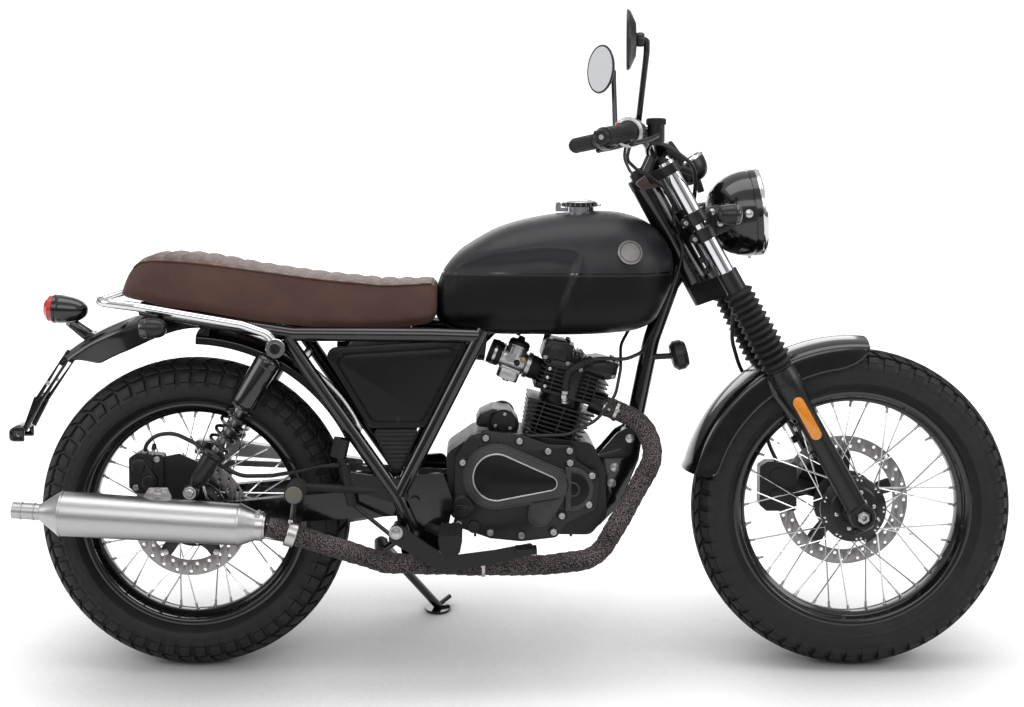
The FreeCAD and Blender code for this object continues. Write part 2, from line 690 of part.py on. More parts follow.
def make_frame_rear(front):
    """Seat rails, the V tubes on both sides, pivot plates and cross tubes."""
    y = FRAME_HALF_W
    rail = pipe([(572, y, 675), (480, y, 678), (208, y, 680), (60, y - 6, 702), (-90, y - 24, 728)],
                FRAME_TUBE_R, 60)
    rear_leg = pipe([(196, y, 672), (242, y, 604), (412, y, 361), (440, y, 300), (440, y, 262)],
                    FRAME_TUBE_R, 60)
    front_leg = rod((578, y, 688), (414, y, 366), FRAME_TUBE_R)
    plate = slab_xz([(400, 400), (500, 408), (520, 350), (500, 250), (420, 240)], 14, y - 10, y)
    lug = rod((SHOCK_TOP[0], y - 8, SHOCK_TOP[1]), (SHOCK_TOP[0], SHOCK_Y - 14, SHOCK_TOP[1]), 15)
    side = fused([rail, rear_leg, front_leg, plate, lug])
    tail = rod((-83, -y + 26, 723), (-83, y - 26, 723), 10)
    seat_bars = [rod((x, -y, z), (x, y, z), 8) for x, z in ((430, 684), (180, 692))]
    low = rod((452, -y + 6, 262), (452, y - 6, 262), FRAME_TUBE_R)
    mid = rod((219, -y, 623), (219, y, 623), 10)
    pivot = rod((PIVOT[0], -y - 12, PIVOT[1]), (PIVOT[0], y + 12, PIVOT[1]), 9)
    pieces = [side, mirrored(side), tail, low, mid, pivot] + seat_bars + stand_bracket()
    return fused(pieces).cut(front)


def make_swingarm(frame_rear):
    """Two box arms on the pivot tube with the rear axle and the shock lugs."""
    y0 = SWINGARM_INNER
    y1 = y0 + SWINGARM_W
    arm = slab_xz([(-40, 296), (-40, 330), (60, 346), (PIVOT[0] - 16, 380), (PIVOT[0] + 14, 376),
                   (PIVOT[0] + 18, 334),
                   (PIVOT[0] - 20, 322), (60, 300), (0, 290)], 10, y0, y1)
    lug = slab_xz([(-8, 330), (4, 392), (24, 392), (44, 330)], 6, y0, y1)
    bolt = rod((SHOCK_FOOT[0], y0, SHOCK_FOOT[1]), (SHOCK_FOOT[0], SHOCK_Y + 16, SHOCK_FOOT[1]), 6)
    side = fused([arm, lug, bolt])
    tube = rod((PIVOT[0], -y0, PIVOT[1]), (PIVOT[0], y0, PIVOT[1]), 16)
    brace = rod((PIVOT[0] - 50, -y0 - 4, PIVOT[1] - 2), (PIVOT[0] - 50, y0 + 4, PIVOT[1] - 2), 18)
    axle = rod((0, -y1 - 16, REAR_TYRE_R), (0, y1 + 16, REAR_TYRE_R), AXLE_R)
    return fused([side, mirrored(side), tube, brace, axle]).cut(frame_rear)


def make_shocks(frame_rear, swingarm):
    """Twin shock absorbers: a long shroud, open coils below it, a spring seat and a lower body."""
    top = V(SHOCK_TOP[0], SHOCK_Y, SHOCK_TOP[1])
    foot = V(SHOCK_FOOT[0], SHOCK_Y, SHOCK_FOOT[1])
    length = (foot - top).Length
    shroud_r = 25.0
    shroud_end = 128.0
    rod_r = 13.0
    wire = 6.0
    coils = 6
    coil_end = length - 92.0
    pitch = (coil_end - shroud_end) / coils
    profile = [(0, 8), (10, 8), (10, 24), (shroud_r - 2, 28), (shroud_r, 31), (shroud_r, shroud_end - 2),
               (shroud_r - 1.5, shroud_end), (rod_r, shroud_end)]
    for k in range(coils):
        low = shroud_end + (k + 0.35) * pitch
        profile += [(rod_r, low), (shroud_r - 1, low + 1), (shroud_r, low + wire / 2),
                    (shroud_r - 1, low + wire - 1),
                    (rod_r, low + wire)]
    profile += [(rod_r, coil_end + 2), (22, coil_end + 2), (22, coil_end + 12), (18.5, coil_end + 14),
                (18.5, length - 26), (15, length - 20), (10, length - 8), (0, length - 8)]
    body = turned(profile, tuple(top), tuple(foot - top))
    eyes = [rod(end + V(0, -13, 0), end + V(0, 13, 0), 15) for end in (top, foot)]
    shock = fused([body] + eyes)
    return Part.makeCompound([side.cut(frame_rear).cut(swingarm) for side in (shock, mirrored(shock))])


def engine_axis_point(height, ahead, side):
    """A point by its height along the cylinder, and its distance ahead and to the side."""
    lean = math.radians(ENGINE_LEAN_DEG)
    up = V(math.sin(lean), 0, math.cos(lean))
    forward = V(math.cos(lean), 0, -math.sin(lean))
    return vec(CYLINDER_BASE) + up * height + forward * ahead + V(0, side, 0)


def leaned(solid):
    """Turns a shape made upright about the origin into the cylinder's leaned directions."""
    solid.rotate(V(0, 0, 0), V(0, 1, 0), ENGINE_LEAN_DEG)
    solid.translate(vec(CYLINDER_BASE))
    return solid


def leaned_box(h0, h1, a0, a1, y0, y1):
    """A box in the cylinder's own leaned directions."""
    return leaned(Part.makeBox(a1 - a0, y1 - y0, h1 - h0, V(a0, y0, h0)))


def fin(low, rear, front, half_w):
    """One thin fin with rounded corners, at a height along the cylinder."""
    corners = [(rear, -half_w, low), (front, -half_w, low), (front, half_w, low), (rear, half_w, low)]
    return leaned(Part.Face(rounded_wire(corners, 12.0, True)).extrude(V(0, 0, FIN_T)))


def make_cylinder():
    """Air cooled cylinder: a round core with fins that shorten towards the base."""
    core = Part.makeCylinder(BORE_CORE_R, CYLINDER_H, engine_axis_point(0, 0, 0),
                             engine_axis_point(1, 0, 0) - engine_axis_point(0, 0, 0))
    pieces = [core, leaned_box(0, 12, -58, 58, -62, 62)]
    count = int((CYLINDER_H - 20) / FIN_PITCH)
    for k in range(count):
        taper = 15.0 * (count - 1 - k) / (count - 1)
        rear = -FIN_LENGTH / 2 - 3 + 0.6 * taper
        front = FIN_LENGTH / 2 - taper
        pieces.append(fin(16 + k * FIN_PITCH, rear, front, FIN_WIDTH / 2))
    return fused(pieces)


def make_head():
    """Cylinder head: fins round the plug's pocket, two rocker boxes with covers, and the exhaust port."""
    base = CYLINDER_H
    pieces = [leaned_box(base, base + HEAD_H - 38, -50, 56, -56, 56)]
    fins = []
    for k in range(6):
        grow = 6.0 if k < 4 else 0.0
        fins.append(fin(base + 6 + k * FIN_PITCH, -62 - grow, 66 + grow, FIN_WIDTH / 2 - 3))
    pocket = leaned_box(base, base + 62, -10, 22, -FIN_WIDTH / 2, -56)
    pieces += [plate.cut(pocket) for plate in fins]
    pieces.append(leaned_box(base + 62, base + 86, -58, 62, -44, 44))
    front_box = [(8, 158), (14, 176), (46, 190), (72, 191), (84, 183), (86, 164), (70, 156)]
    rear_box = [(-68, 160), (-67, 186), (-56, 199), (-26, 202), (-12, 190), (-8, 162)]
    for outline, half_w in ((front_box, 58), (rear_box, 56)):
        pieces.append(leaned(slab_xz(outline, 6, -half_w, half_w)))
        cx = sum(a for a, _ in outline) / len(outline)
        cz = sum(h for _, h in outline) / len(outline)
        cover = [(cx + 0.72 * (a - cx), cz + 0.72 * (h - cz)) for a, h in outline]
        pieces.append(leaned(slab_xz(cover, 5, -half_w - 4, half_w + 4)))
    for ahead, height in ((-58, 199), (-18, 199), (16, 183), (78, 189)):
        for side in (-46, 46):
            foot = engine_axis_point(height - 28, ahead, side)
            pieces.append(rod(foot, engine_axis_point(height + 3, ahead, side), 7))
    plug_foot = engine_axis_point(base + 4, 6, -66)
    pieces.append(rod(plug_foot, engine_axis_point(base + 8, 6, -54), 6))
    pieces.append(rod(plug_foot, plug_foot + V(3, -3, 36), 8.5))
    port = Part.makeCylinder(24, 44, engine_axis_point(base + 8, 44, -40), V(0.93, -0.12, -0.36))
    pieces.append(port)
    return fused(pieces)


def make_case(cylinder):
    """Crankcase, left cover and starter, as one heavy casting."""
    outline = [(512, 320), (560, 282), (790, 280), (822, 318), (818, 410), (792, 462), (650, 478),
               (560, 478), (505, 440)]
    centre = slab_xz(outline, 22, -88, 78)
    left = slab_xz([(540, 320), (600, 296), (770, 296), (800, 330), (800, 400), (740, 452), (600, 450),
                    (545, 410)],
                   30, 78, 112)
    starter = rod((608, -58, 497), (608, 58, 497), 23)
    saddle = leaned_box(-40, 0, -64, 66, -66, 66)
    pocket = belt(DRIVE_CENTRE, DRIVE_SPROCKET_R + 14, (DRIVE_CENTRE[0] - 100, DRIVE_CENTRE[1]),
                  DRIVE_SPROCKET_R + 13.9,
                  CHAIN_Y - CHAIN_HALF_W - 4, CHAIN_Y + CHAIN_HALF_W + 4)
    shaft = rod((DRIVE_CENTRE[0], 50, DRIVE_CENTRE[1]), (DRIVE_CENTRE[0], 100, DRIVE_CENTRE[1]), 11)
    wheel_r = DRIVE_SPROCKET_R - CHAIN_HALF_H - PART_GAP
    wheel = rod((DRIVE_CENTRE[0], CHAIN_Y - 3, DRIVE_CENTRE[1]),
                (DRIVE_CENTRE[0], CHAIN_Y + 3, DRIVE_CENTRE[1]), wheel_r)
    body = fused([centre, left, starter, saddle]).cut(cylinder).cut(pocket)
    return fused([body, shaft, wheel])


def make_cover():
    """Right engine cover: bolted flange, teardrop shell with a raised rim, lower lobe and clutch cap."""
    flange_y = CASE_RIGHT - COVER_FLANGE_T
    outline = [(520, 330), (524, 300), (592, 276), (653, 270), (722, 278), (742, 306), (800, 334),
               (806, 400),
               (758, 432), (760, 460), (706, 462), (650, 482), (583, 488), (552, 478), (524, 440)]
    pieces = [slab_xz(outline, 12, flange_y, CASE_RIGHT)]
    bolts = [(583, 475), (649, 469), (705, 449), (748, 426), (791, 401), (785, 344), (732, 322), (716, 290),
             (653, 283), (592, 289), (530, 306), (538, 427)]
    for x, z in bolts:
        pieces.append(rod((x, flange_y - 2.5, z), (x, CASE_RIGHT, z), COVER_BOLT_R))
    big = (604, 398)
    small = (716, 384)
    for grow, depth in ((0.0, 6.0), (-3.0, 12.0), (-8.0, 15.5)):
        pieces.append(belt(big, 66 + grow, small, 34 + grow, flange_y - depth, flange_y))
    pieces.append(belt((704, 364), 34, (688, 323), 24, flange_y - 10, flange_y))
    rim_y = flange_y - 17.6
    rim = belt((604, 400), 47, (708, 388), 15, rim_y, flange_y)
    pieces.append(rim.cut(belt((604, 400), 44, (708, 388), 12.5, rim_y - 1, rim_y + 1.4)))
    cap = rod((752, flange_y - 8, 375), (752, flange_y, 375), 44)
    pieces.append(cap.common(block(738, 800, flange_y - 9, flange_y + 1, 320, 430)))
    pieces.append(rod((752, flange_y - 12, 375), (752, flange_y, 375), 15))
    pieces.append(rod((542, flange_y - 10, 341), (542, flange_y, 341), 20))
    return fused(pieces)


def make_carburetor(head, case, airbox):
    """Carburettor between the head and the air box."""
    inlet = rod((585, 0, 640), (690, 0, 598), 24)
    bowl = rod((636, 0, 560), (640, 0, 640), 25)
    top = rod((640, 0, 636), (646, 0, 666), 19)
    return fused([inlet, bowl, top]).cut(head).cut(case).cut(airbox)


def header_points():
    """Corners of the exhaust header's run from the port to the muffler."""
    return [(818, -44, 530), (892, -56, 501), (920, -84, 440), (846, -116, 318), (800, -124, 240),
            (700, -130, 230),
            (560, -136, 230), (390, -156, 240), (290, -176, 276), (166, -192, 319)]


def make_header(head, muffler, pegs):
    """Wrapped exhaust header with its clamp."""
    tube = pipe(header_points(), HEADER_R, 60)
    band = rod((222, -186, 300), (200, -189, 307), HEADER_R + 4)
    hanger = rod((211, -185, 314), (222, -166, 384), 6)
    return fused([tube, band, hanger]).cut(head).cut(muffler).cut(pegs)


def make_muffler():
    """Straight through muffler: cones with rolled seams, a slightly tapered drum and an open tail pipe."""
    front = vec(MUFFLER_FRONT)
    rear = vec(MUFFLER_REAR)
    length = (rear - front).Length
    profile = [(0, 0), (24, 0), (25, 4), (39, 46), (40.5, 48), (40.5, 51), (39.5, 53), (42.5, 384),
               (43.4, 386),
               (43.4, 389), (41.2, 391), (17, 424), (15.5, 428), (15.5, length), (12.5, length),
               (12.5, 400), (0, 400)]
    return turned(profile, MUFFLER_FRONT, tuple(rear - front))


def section_wire(x, half_w, low, high, belly):
    """A closed tank or seat section across the bike: flat bottom, rounded shoulders."""
    mid = low + belly * (high - low)
    points = [
        V(x, 0, high), V(x, 0.62 * half_w, high - 0.10 * (high - low)),
        V(x, 0.93 * half_w, high - 0.34 * (high - low)),
        V(x, half_w, mid), V(x, 0.9 * half_w, low + 0.06 * (high - low)), V(x, 0.6 * half_w, low),
        V(x, 0, low),
    ]
    points += [V(x, -p.y, p.z) for p in reversed(points[1:-1])]
    curve = Part.BSplineCurve()
    curve.interpolate(points, PeriodicFlag=True)
    return Part.Wire(curve.toShape())


def make_tank():
    """Fuel tank lofted through cross sections, with a tunnel for the backbone."""
    stations = [
        (486, 62, 704, 764), (504, 84, 688, 806), (545, 100, 676, 848), (610, 114, 672, 884),
        (690, 126, 671, 906),
        (770, 132, 671, 915), (840, 130, 675, 915), (886, 118, 682, 904), (918, 96, 700, 886),
        (942, 70, 745, 862),
        (958, 42, 782, 834),
    ]
    wires = [section_wire(x, half_w, low, high, 0.45) for x, half_w, low, high in stations]
    body = Part.makeLoft(wires, True, False)
    outline = [(520, 600), (520, 900), (690, 900), (742, 858), (766, 819), (757, 746), (728, 660),
               (720, 600)]
    recess = slab_xz(outline, 24, KNEE_Y, 160)
    body = body.cut(recess).cut(mirrored(recess))
    tunnel = slab_xz([(470, 640), (470, 735), (600, 750), (760, 812), (975, 890), (990, 640)], 8, -34, 34)
    neck = rod(fork_point(LOWER_CLAMP_S, 0, 0), fork_point(UPPER_CLAMP_S, 0, 0), HEAD_TUBE_R + 8)
    return body.cut(tunnel).cut(neck)


def make_filler():
    """Filler neck: a cup let into the tank with the two hinge lugs."""
    z = tank_top()
    cup = turned([(0, -40), (30, -40), (30, 10), (22, 10), (22, -36), (0, -36)], (CAP_CENTRE_X, 0, z),
                 (0, 0, 1))
    hinge_x = CAP_CENTRE_X - CAP_R - 8
    lug = block(hinge_x - 5, hinge_x + 18, 7, 13, z + 1, z + 8)
    post = block(hinge_x - 5, hinge_x + 5, 7, 13, z + 1, z + 15)
    eye = rod((hinge_x, 7, z + 15), (hinge_x, 13, z + 15), 5)
    lug = fused([lug, post, eye])
    pin = rod((hinge_x, -13, z + 15), (hinge_x, 13, z + 15), CAP_HINGE_R)
    return fused([cup, lug, mirrored(lug), pin])


def tank_top():
    """Height of the tank's crown under the cap."""
    return 914.0


def make_cap():
    """Flip-up filler cap with its knuckle and latch tab."""
    z = tank_top()
    low = 10 + PART_GAP
    dome = turned([(0, low), (CAP_R, low), (CAP_R, low + 8), (26, low + 14), (0, low + 17)],
                  (CAP_CENTRE_X, 0, z), (0, 0, 1))
    hinge_x = CAP_CENTRE_X - CAP_R - 8
    knuckle = rod((hinge_x, -6, z + 15), (hinge_x, 6, z + 15), CAP_HINGE_R + 3)
    arm = block(hinge_x, hinge_x + 14, -6, 6, z + 13, z + 18)
    tab = block(CAP_CENTRE_X + CAP_R - 4, CAP_CENTRE_X + CAP_R + 8, -5, 5, z + 11, z + 16)
    bore = rod((hinge_x, -7, z + 15), (hinge_x, 7, z + 15), CAP_HINGE_R + AXLE_FIT)
    return fused([dome, knuckle, arm, tab]).cut(bore)


def make_seat(tank):
    """Long flat seat as a plain padded form."""
    stations = [
        (-132, 78, 752, 770), (-112, 96, 746, 812), (-84, 108, 742, 828), (27, 118, 724, 830),
        (144, 122, 702, 808),
        (261, 118, 692, 792), (380, 108, 690, 782), (470, 96, 696, 778), (484, 88, 706, 772),
    ]
    wires = [section_wire(x, half_w, low, high, 0.4) for x, half_w, low, high in stations]
    return Part.makeLoft(wires, True, False).cut(tank)


def make_airbox():
    """Air box between the V tubes."""
    upper = slab_xz([(300, 650), (540, 662), (452, 495), (372, 495)], 10, -92, 92)
    ribbed = slab_xz([(366, 500), (452, 500), (420, 414), (398, 414)], 6, -100, 100)
    grooves = []
    for k in range(5):
        z = 424 + k * 14
        grooves.append(block(380, 440, 94, 104, z, z + 4))
        grooves.append(block(380, 440, -104, -94, z, z + 4))
    snorkel = rod((520, 0, 648), (584, 0, 640), 26)
    return fused([upper, ribbed, snorkel]).cut(Part.makeCompound(grooves))


def make_side_panels(frame_rear):
    """Triangular side covers with an embossed line."""
    plate = slab_xz([(262, 652), (560, 670), (468, 496), (356, 496)], 16, 104, 120)
    crown = slab_xz([(290, 642), (545, 656), (462, 506), (362, 506)], 20, 120, 126)
    peg = rod((410, 92, 560), (410, 104, 560), 8)
    panel = fused([plate, crown, peg]).cut(frame_rear)
    return both_sides(panel)


def make_rear_fender(frame_rear):
    """Tail fender and the inner mudguard ahead of the wheel."""
    tail = fender_shell(412.0, 74.0, 376.0, 84.0, 128.0, bike_axle(False), 3.0)
    inner = fender_shell(372.0, 74.0, 344.0, 26.0, 88.0, bike_axle(False), 3.0)
    web = fender_web(412.0, 74.0, 345.0, 84.0, 1.0, bike_axle(False))
    return fused([tail, inner, web]).cut(frame_rear)


def make_tail_light():
    """Bullet tail lamp on a bracket, and its red lens."""
    axis = (-1.0, 0.0, 0.06)
    base = (-228.0, 0.0, 716.0)
    shell = turned([(0, -4), (14, -2), (24, 12), (28, 30), (28, 52), (0, 52)], base, axis)
    lens = turned([(0, 52), (27, 52), (26, 66), (16, 74), (0, 76)], base, axis)
    bracket = slab_xz([(-262, 694), (-236, 694), (-201, 667.6), (-219, 656.6)], 4, -22, 22)
    return fused([shell, bracket]), lens


def make_plate_bracket(fender):
    """Bent plate carrier with a small reflector."""
    strip = slab_xz([(-238, 634), (-250, 641), (-312, 540), (-340, 480), (-332, 476), (-304, 536)], 3,
                    -42, 42)
    pad = block(-362, -338, -38, 38, 456, 482)
    carrier = fused([strip, pad])
    normal = V(-0.86, 0, 0.51)
    for y in (-PLATE_HOLE_HALF, PLATE_HOLE_HALF):
        centre = vec(PLATE_HOLE_CENTRE) + V(0, y, 0)
        carrier = carrier.cut(Part.makeCylinder(PLATE_HOLE_R, 40, centre - normal * 20, normal))
    return carrier.cut(fender)


def make_rear_indicators():
    """Rear turn signals on stalks from the tail of the frame."""
    lamp = turned([(0, 0), (12, 2), (18, 14), (19, 46), (0, 54)], (-30, 150, 694), (-1, 0, 0))
    stalk = rod((-52, 96, 712), (-52, 150, 696), 6)
    return both_sides(fused([lamp, stalk]))


def make_front_indicators(headlight):
    """Front turn signals on stalks from the headlamp brackets."""
    lamp_centre = fork_point(*LAMP_CENTRE)
    place = lamp_centre + V(-84, 160, 0)
    lamp = turned([(0, 0), (12, 2), (18, 12), (19, 44), (0, 50)], place, (1, 0, 0))
    stalk = rod(lamp_centre + V(-60, FORK_HALF_W - 3, -6), place + V(24, 0, -1), 6)
    return both_sides(fused([lamp, stalk]).cut(headlight))


def make_grab_rail():
    """Chrome rail from the shock mounts round the seat's tail."""
    left = [(178, 130, 655), (164, 130, 680), (112, 130, 698), (-95, 130, 734), (-168, 118, 742)]
    right = [(x, -y, z) for x, y, z in reversed(left)]
    return pipe(left + right, 9.0, 30)


def belt(centre_a, radius_a, centre_b, radius_b, y0, y1):
    """Closed band area round two wheels, as a solid between y0 and y1."""
    ax, az = centre_a
    bx, bz = centre_b
    gap = math.hypot(bx - ax, bz - az)
    heading = math.atan2(bz - az, bx - ax)
    wrap = math.acos((radius_a - radius_b) / gap)
    up = heading + wrap
    down = heading - wrap
    a_up = V(ax + radius_a * math.cos(up), y0, az + radius_a * math.sin(up))
    b_up = V(bx + radius_b * math.cos(up), y0, bz + radius_b * math.sin(up))
    a_down = V(ax + radius_a * math.cos(down), y0, az + radius_a * math.sin(down))
    b_down = V(bx + radius_b * math.cos(down), y0, bz + radius_b * math.sin(down))
    a_far = V(ax - radius_a * math.cos(heading), y0, az - radius_a * math.sin(heading))
    b_far = V(bx + radius_b * math.cos(heading), y0, bz + radius_b * math.sin(heading))
    edges = [
        Part.LineSegment(a_up, b_up).toShape(), Part.Arc(b_up, b_far, b_down).toShape(),
        Part.LineSegment(b_down, a_down).toShape(), Part.Arc(a_down, a_far, a_up).toShape(),
    ]
    return Part.Face(Part.Wire(edges)).extrude(V(0, y1 - y0, 0))


def chain_path():
    """Pin places of the chain: round both sprockets and along the two runs, an even number of equal steps."""
    ax, az = 0.0, REAR_TYRE_R
    bx, bz = DRIVE_CENTRE
    gap = math.hypot(bx - ax, bz - az)
    heading = math.atan2(bz - az, bx - ax)
    wrap = math.acos((REAR_SPROCKET_R - DRIVE_SPROCKET_R) / gap)
    run = gap * math.sin(wrap)
    rear_arc = REAR_SPROCKET_R * (2 * math.pi - 2 * wrap)
    front_arc = DRIVE_SPROCKET_R * 2 * wrap
    total = rear_arc + front_arc + 2 * run
    count = 2 * round(total / CHAIN_PITCH / 2)
    along = V(math.cos(heading + wrap - math.pi / 2), 0, math.sin(heading + wrap - math.pi / 2))
    back = V(-math.cos(heading - wrap + math.pi / 2), 0, -math.sin(heading - wrap + math.pi / 2))
    pins = []
    for k in range(count):
        s = k * total / count
        if s < run:
            start = V(ax + REAR_SPROCKET_R * math.cos(heading + wrap), 0,
                      az + REAR_SPROCKET_R * math.sin(heading + wrap))
            pins.append(start + along * s)
        elif s < run + front_arc:
            angle = heading + wrap - (s - run) / DRIVE_SPROCKET_R
            pins.append(V(bx + DRIVE_SPROCKET_R * math.cos(angle), 0,
                          bz + DRIVE_SPROCKET_R * math.sin(angle)))
        elif s < 2 * run + front_arc:
            start = V(bx + DRIVE_SPROCKET_R * math.cos(heading - wrap), 0,
                      bz + DRIVE_SPROCKET_R * math.sin(heading - wrap))
            pins.append(start + back * (s - run - front_arc))
        else:
            angle = heading - wrap - (s - 2 * run - front_arc) / REAR_SPROCKET_R
            pins.append(V(ax + REAR_SPROCKET_R * math.cos(angle), 0,
                          az + REAR_SPROCKET_R * math.sin(angle)))
    return pins


def chain_link(start, end, half_w):
    """One link: a waisted six-sided outline round two pins."""
    along = (end - start).normalize()
    up = V(-along.z, 0, along.x)
    nose = CHAIN_HALF_H * 0.8
    half_h = CHAIN_HALF_H - 0.6
    corners = [start - along * nose, start + up * half_h, end + up * half_h, end + along * nose,
               end - up * half_h,
               start - up * half_h]
    corners = [corner + V(0, CHAIN_Y - half_w, 0) for corner in corners]
    return Part.Face(Part.makePolygon(corners + corners[:1])).extrude(V(0, 2 * half_w, 0))


def make_chain():
    """Drive chain: wide outer links and narrow inner links in turn, joined into one loop at their pins."""
    pins = chain_path()
    links = []
    for k, pin in enumerate(pins):
        half_w = CHAIN_HALF_W - (CHAIN_STEP_IN if k % 2 else 0.0)
        links.append(chain_link(pin, pins[(k + 1) % len(pins)], half_w))
    return links[0].multiFuse(links[1:])


def make_sprocket():
    """Rear sprocket with short teeth and five round windows."""
    tip = REAR_SPROCKET_R - CHAIN_HALF_H - 0.6
    root = tip - 5.0
    y0 = CHAIN_Y - 3.0
    y1 = CHAIN_Y + 3.0
    cx, _, cz = bike_axle(False)
    corners = []
    for k in range(SPROCKET_TEETH):
        for share, radius in ((0.0, root), (0.30, root), (0.52, tip), (0.78, tip)):
            angle = 2 * math.pi * (k + share) / SPROCKET_TEETH
            corners.append(V(cx + radius * math.cos(angle), y0, cz + radius * math.sin(angle)))
    wheel = Part.Face(Part.makePolygon(corners + corners[:1])).extrude(V(0, y1 - y0, 0))
    holes = [rod((cx, y0 - 1, cz), (cx, y1 + 1, cz), 24.5)]
    for k in range(5):
        angle = 2 * math.pi * k / 5
        x = cx + 55 * math.cos(angle)
        z = cz + 55 * math.sin(angle)
        holes.append(rod((x, y0 - 1, z), (x, y1 + 1, z), 10))
    return wheel.cut(Part.makeCompound(holes))


def make_chain_guard(swingarm):
    """Folded guard over the upper chain run, on two tabs from the swingarm."""
    outer = slab_xz([(-22, 410), (-12, 442), (60, 440), (330, 402), (330, 386)], 4, 66, 94)
    inner = slab_xz([(-32, 400), (-18, 438), (60, 436), (340, 397), (340, 376)], 4, 60, 92)
    tabs = [block(x, x + 16, 90, 94, 330, top) for x, top in ((40, 420), (300, 398))]
    return fused([outer.cut(inner)] + tabs).cut(swingarm)


def make_pegs(frame_rear):
    """Rider and passenger foot pegs with their brackets."""
    rider = slab_xz([(492, 322), (540, 322), (534, 292), (524, 282), (508, 282), (498, 292)], 8, 176, 290)
    root = pipe([(470, 112, 300), (486, 150, 304), (516, 180, 304)], 9, 20)
    passenger = rod((222, 158, 388), (222, 236, 388), 18)
    strut = pipe([(404, 118, 372), (330, 124, 376), (222, 150, 388), (222, 162, 388)], 8, 20)
    side = Part.makeCompound([fused([rider, root]).cut(frame_rear),
                              fused([passenger, strut]).cut(frame_rear)])
    return Part.makeCompound([side, mirrored(side)])


def make_levers(frame_rear, case):
    """Brake pedal on the right and gear lever on the left."""
    arm = slab_xz([(402, 318), (420, 318), (508, 258), (600, 270), (672, 284), (676, 264), (600, 246),
                   (502, 226),
                   (396, 290)], 7, -184, -174)
    pad = block(640, 680, -200, -160, 266, 276)
    shaft = rod((411, -184, 305), (411, -112, 305), 8)
    brake = fused([arm, pad, shaft]).cut(frame_rear)
    gear_shaft = rod((600, 100, 300), (600, 150, 300), 7)
    gear_arm = slab_xz([(592, 312), (608, 312), (704, 286), (704, 268), (592, 290)], 6, 140, 150)
    toe = rod((694, 140, 277), (694, 186, 277), 11)
    gear = fused([gear_shaft, gear_arm, toe]).cut(case)
    return Part.makeCompound([brake, gear])


def caliper(corner, length, height, centre, disc_y, disc_r, half_w):
    """A brake caliper block from its lower rear corner, with two round pistons and a slot for its disc."""
    x0, z0 = corner
    x1 = x0 + length
    z1 = z0 + height
    outline = [(x0, z0 + 12), (x0, z1 - 10), (x0 + 16, z1), (x1, z1 - 4), (x1, z0), (x0 + 14, z0)]
    body = slab_xz(outline, 6, disc_y - half_w, disc_y + half_w)
    mid_x = (x0 + x1) / 2
    caps = []
    for z in (z0 + height * 0.28, z0 + height * 0.70):
        caps.append(rod((mid_x, disc_y - half_w - 3, z), (mid_x, disc_y + half_w + 3, z), height * 0.17))
    slot = rod((centre[0], disc_y - DISC_T / 2 - 1.5, centre[2]),
               (centre[0], disc_y + DISC_T / 2 + 1.5, centre[2]),
               disc_r + 4)
    return fused([body] + caps).cut(slot)


def make_front_caliper(sliders):
    """Front caliper on its bracket behind the left slider."""
    corner = (WHEELBASE - 174, FRONT_TYRE_R - 20)
    body = caliper(corner, 76, 102, bike_axle(True), FRONT_DISC_Y, FRONT_DISC_R, 17)
    outline = around(FRONT_AXLE, [(-120, 76), (-120, -4), (-14, 20), (-54, 92)])
    bracket = slab_xz(outline, 8, FRONT_DISC_Y + 15, FORK_HALF_W - 9)
    return fused([body, bracket]).cut(sliders)


def make_rear_caliper(swingarm):
    """Rear caliper and its carrier plate round the axle."""
    body = caliper((-118, REAR_TYRE_R + 51), 68, 80, bike_axle(False), -REAR_DISC_Y, REAR_DISC_R, 16)
    face = REAR_DISC_Y - DISC_T / 2 + HUB_NOSE + PART_GAP
    carrier = slab_xz([(-70, 430), (-70, 372), (-24, 300), (24, 300), (26, 346), (16, 424), (-20, 440)], 10,
                      -SWINGARM_INNER, -face)
    return fused([body, carrier]).cut(swingarm)


def make_horn(frame_front):
    """Horn in front of the downtube."""
    bend = fork_point(*DOWNTUBE_BEND)
    body = turned([(0, 0), (22, 0), (30, 8), (30, 22), (24, 30), (0, 30)], bend + V(39, -16, -32),
                  (0.97, 0, 0.24))
    bracket = rod(bend + V(-9, -6, -34), bend + V(43, -16, -30), 6)
    return fused([body, bracket]).cut(frame_front)


def make_rear_master(frame_rear, pegs, levers):
    """Rear brake cylinder with its reservoir, bracket and push rod to the pedal's tail."""
    y = -FRAME_HALF_W - 4
    cylinder = rod((306, y, 424), (324, y, 346), 11)
    reservoir = rod((296, y, 440), (304, y, 476), 16)
    neck = rod((306, y, 422), (298, y, 444), 8)
    push = rod((323, y, 348), (399, -176, 300), 4)
    plate = slab_xz([(312, 412), (420, 396), (436, 352), (402, 352), (318, 376)], 8, y - 6, y + 4)
    return fused([cylinder, reservoir, neck, push, plate]).cut(frame_rear).cut(pegs).cut(levers)


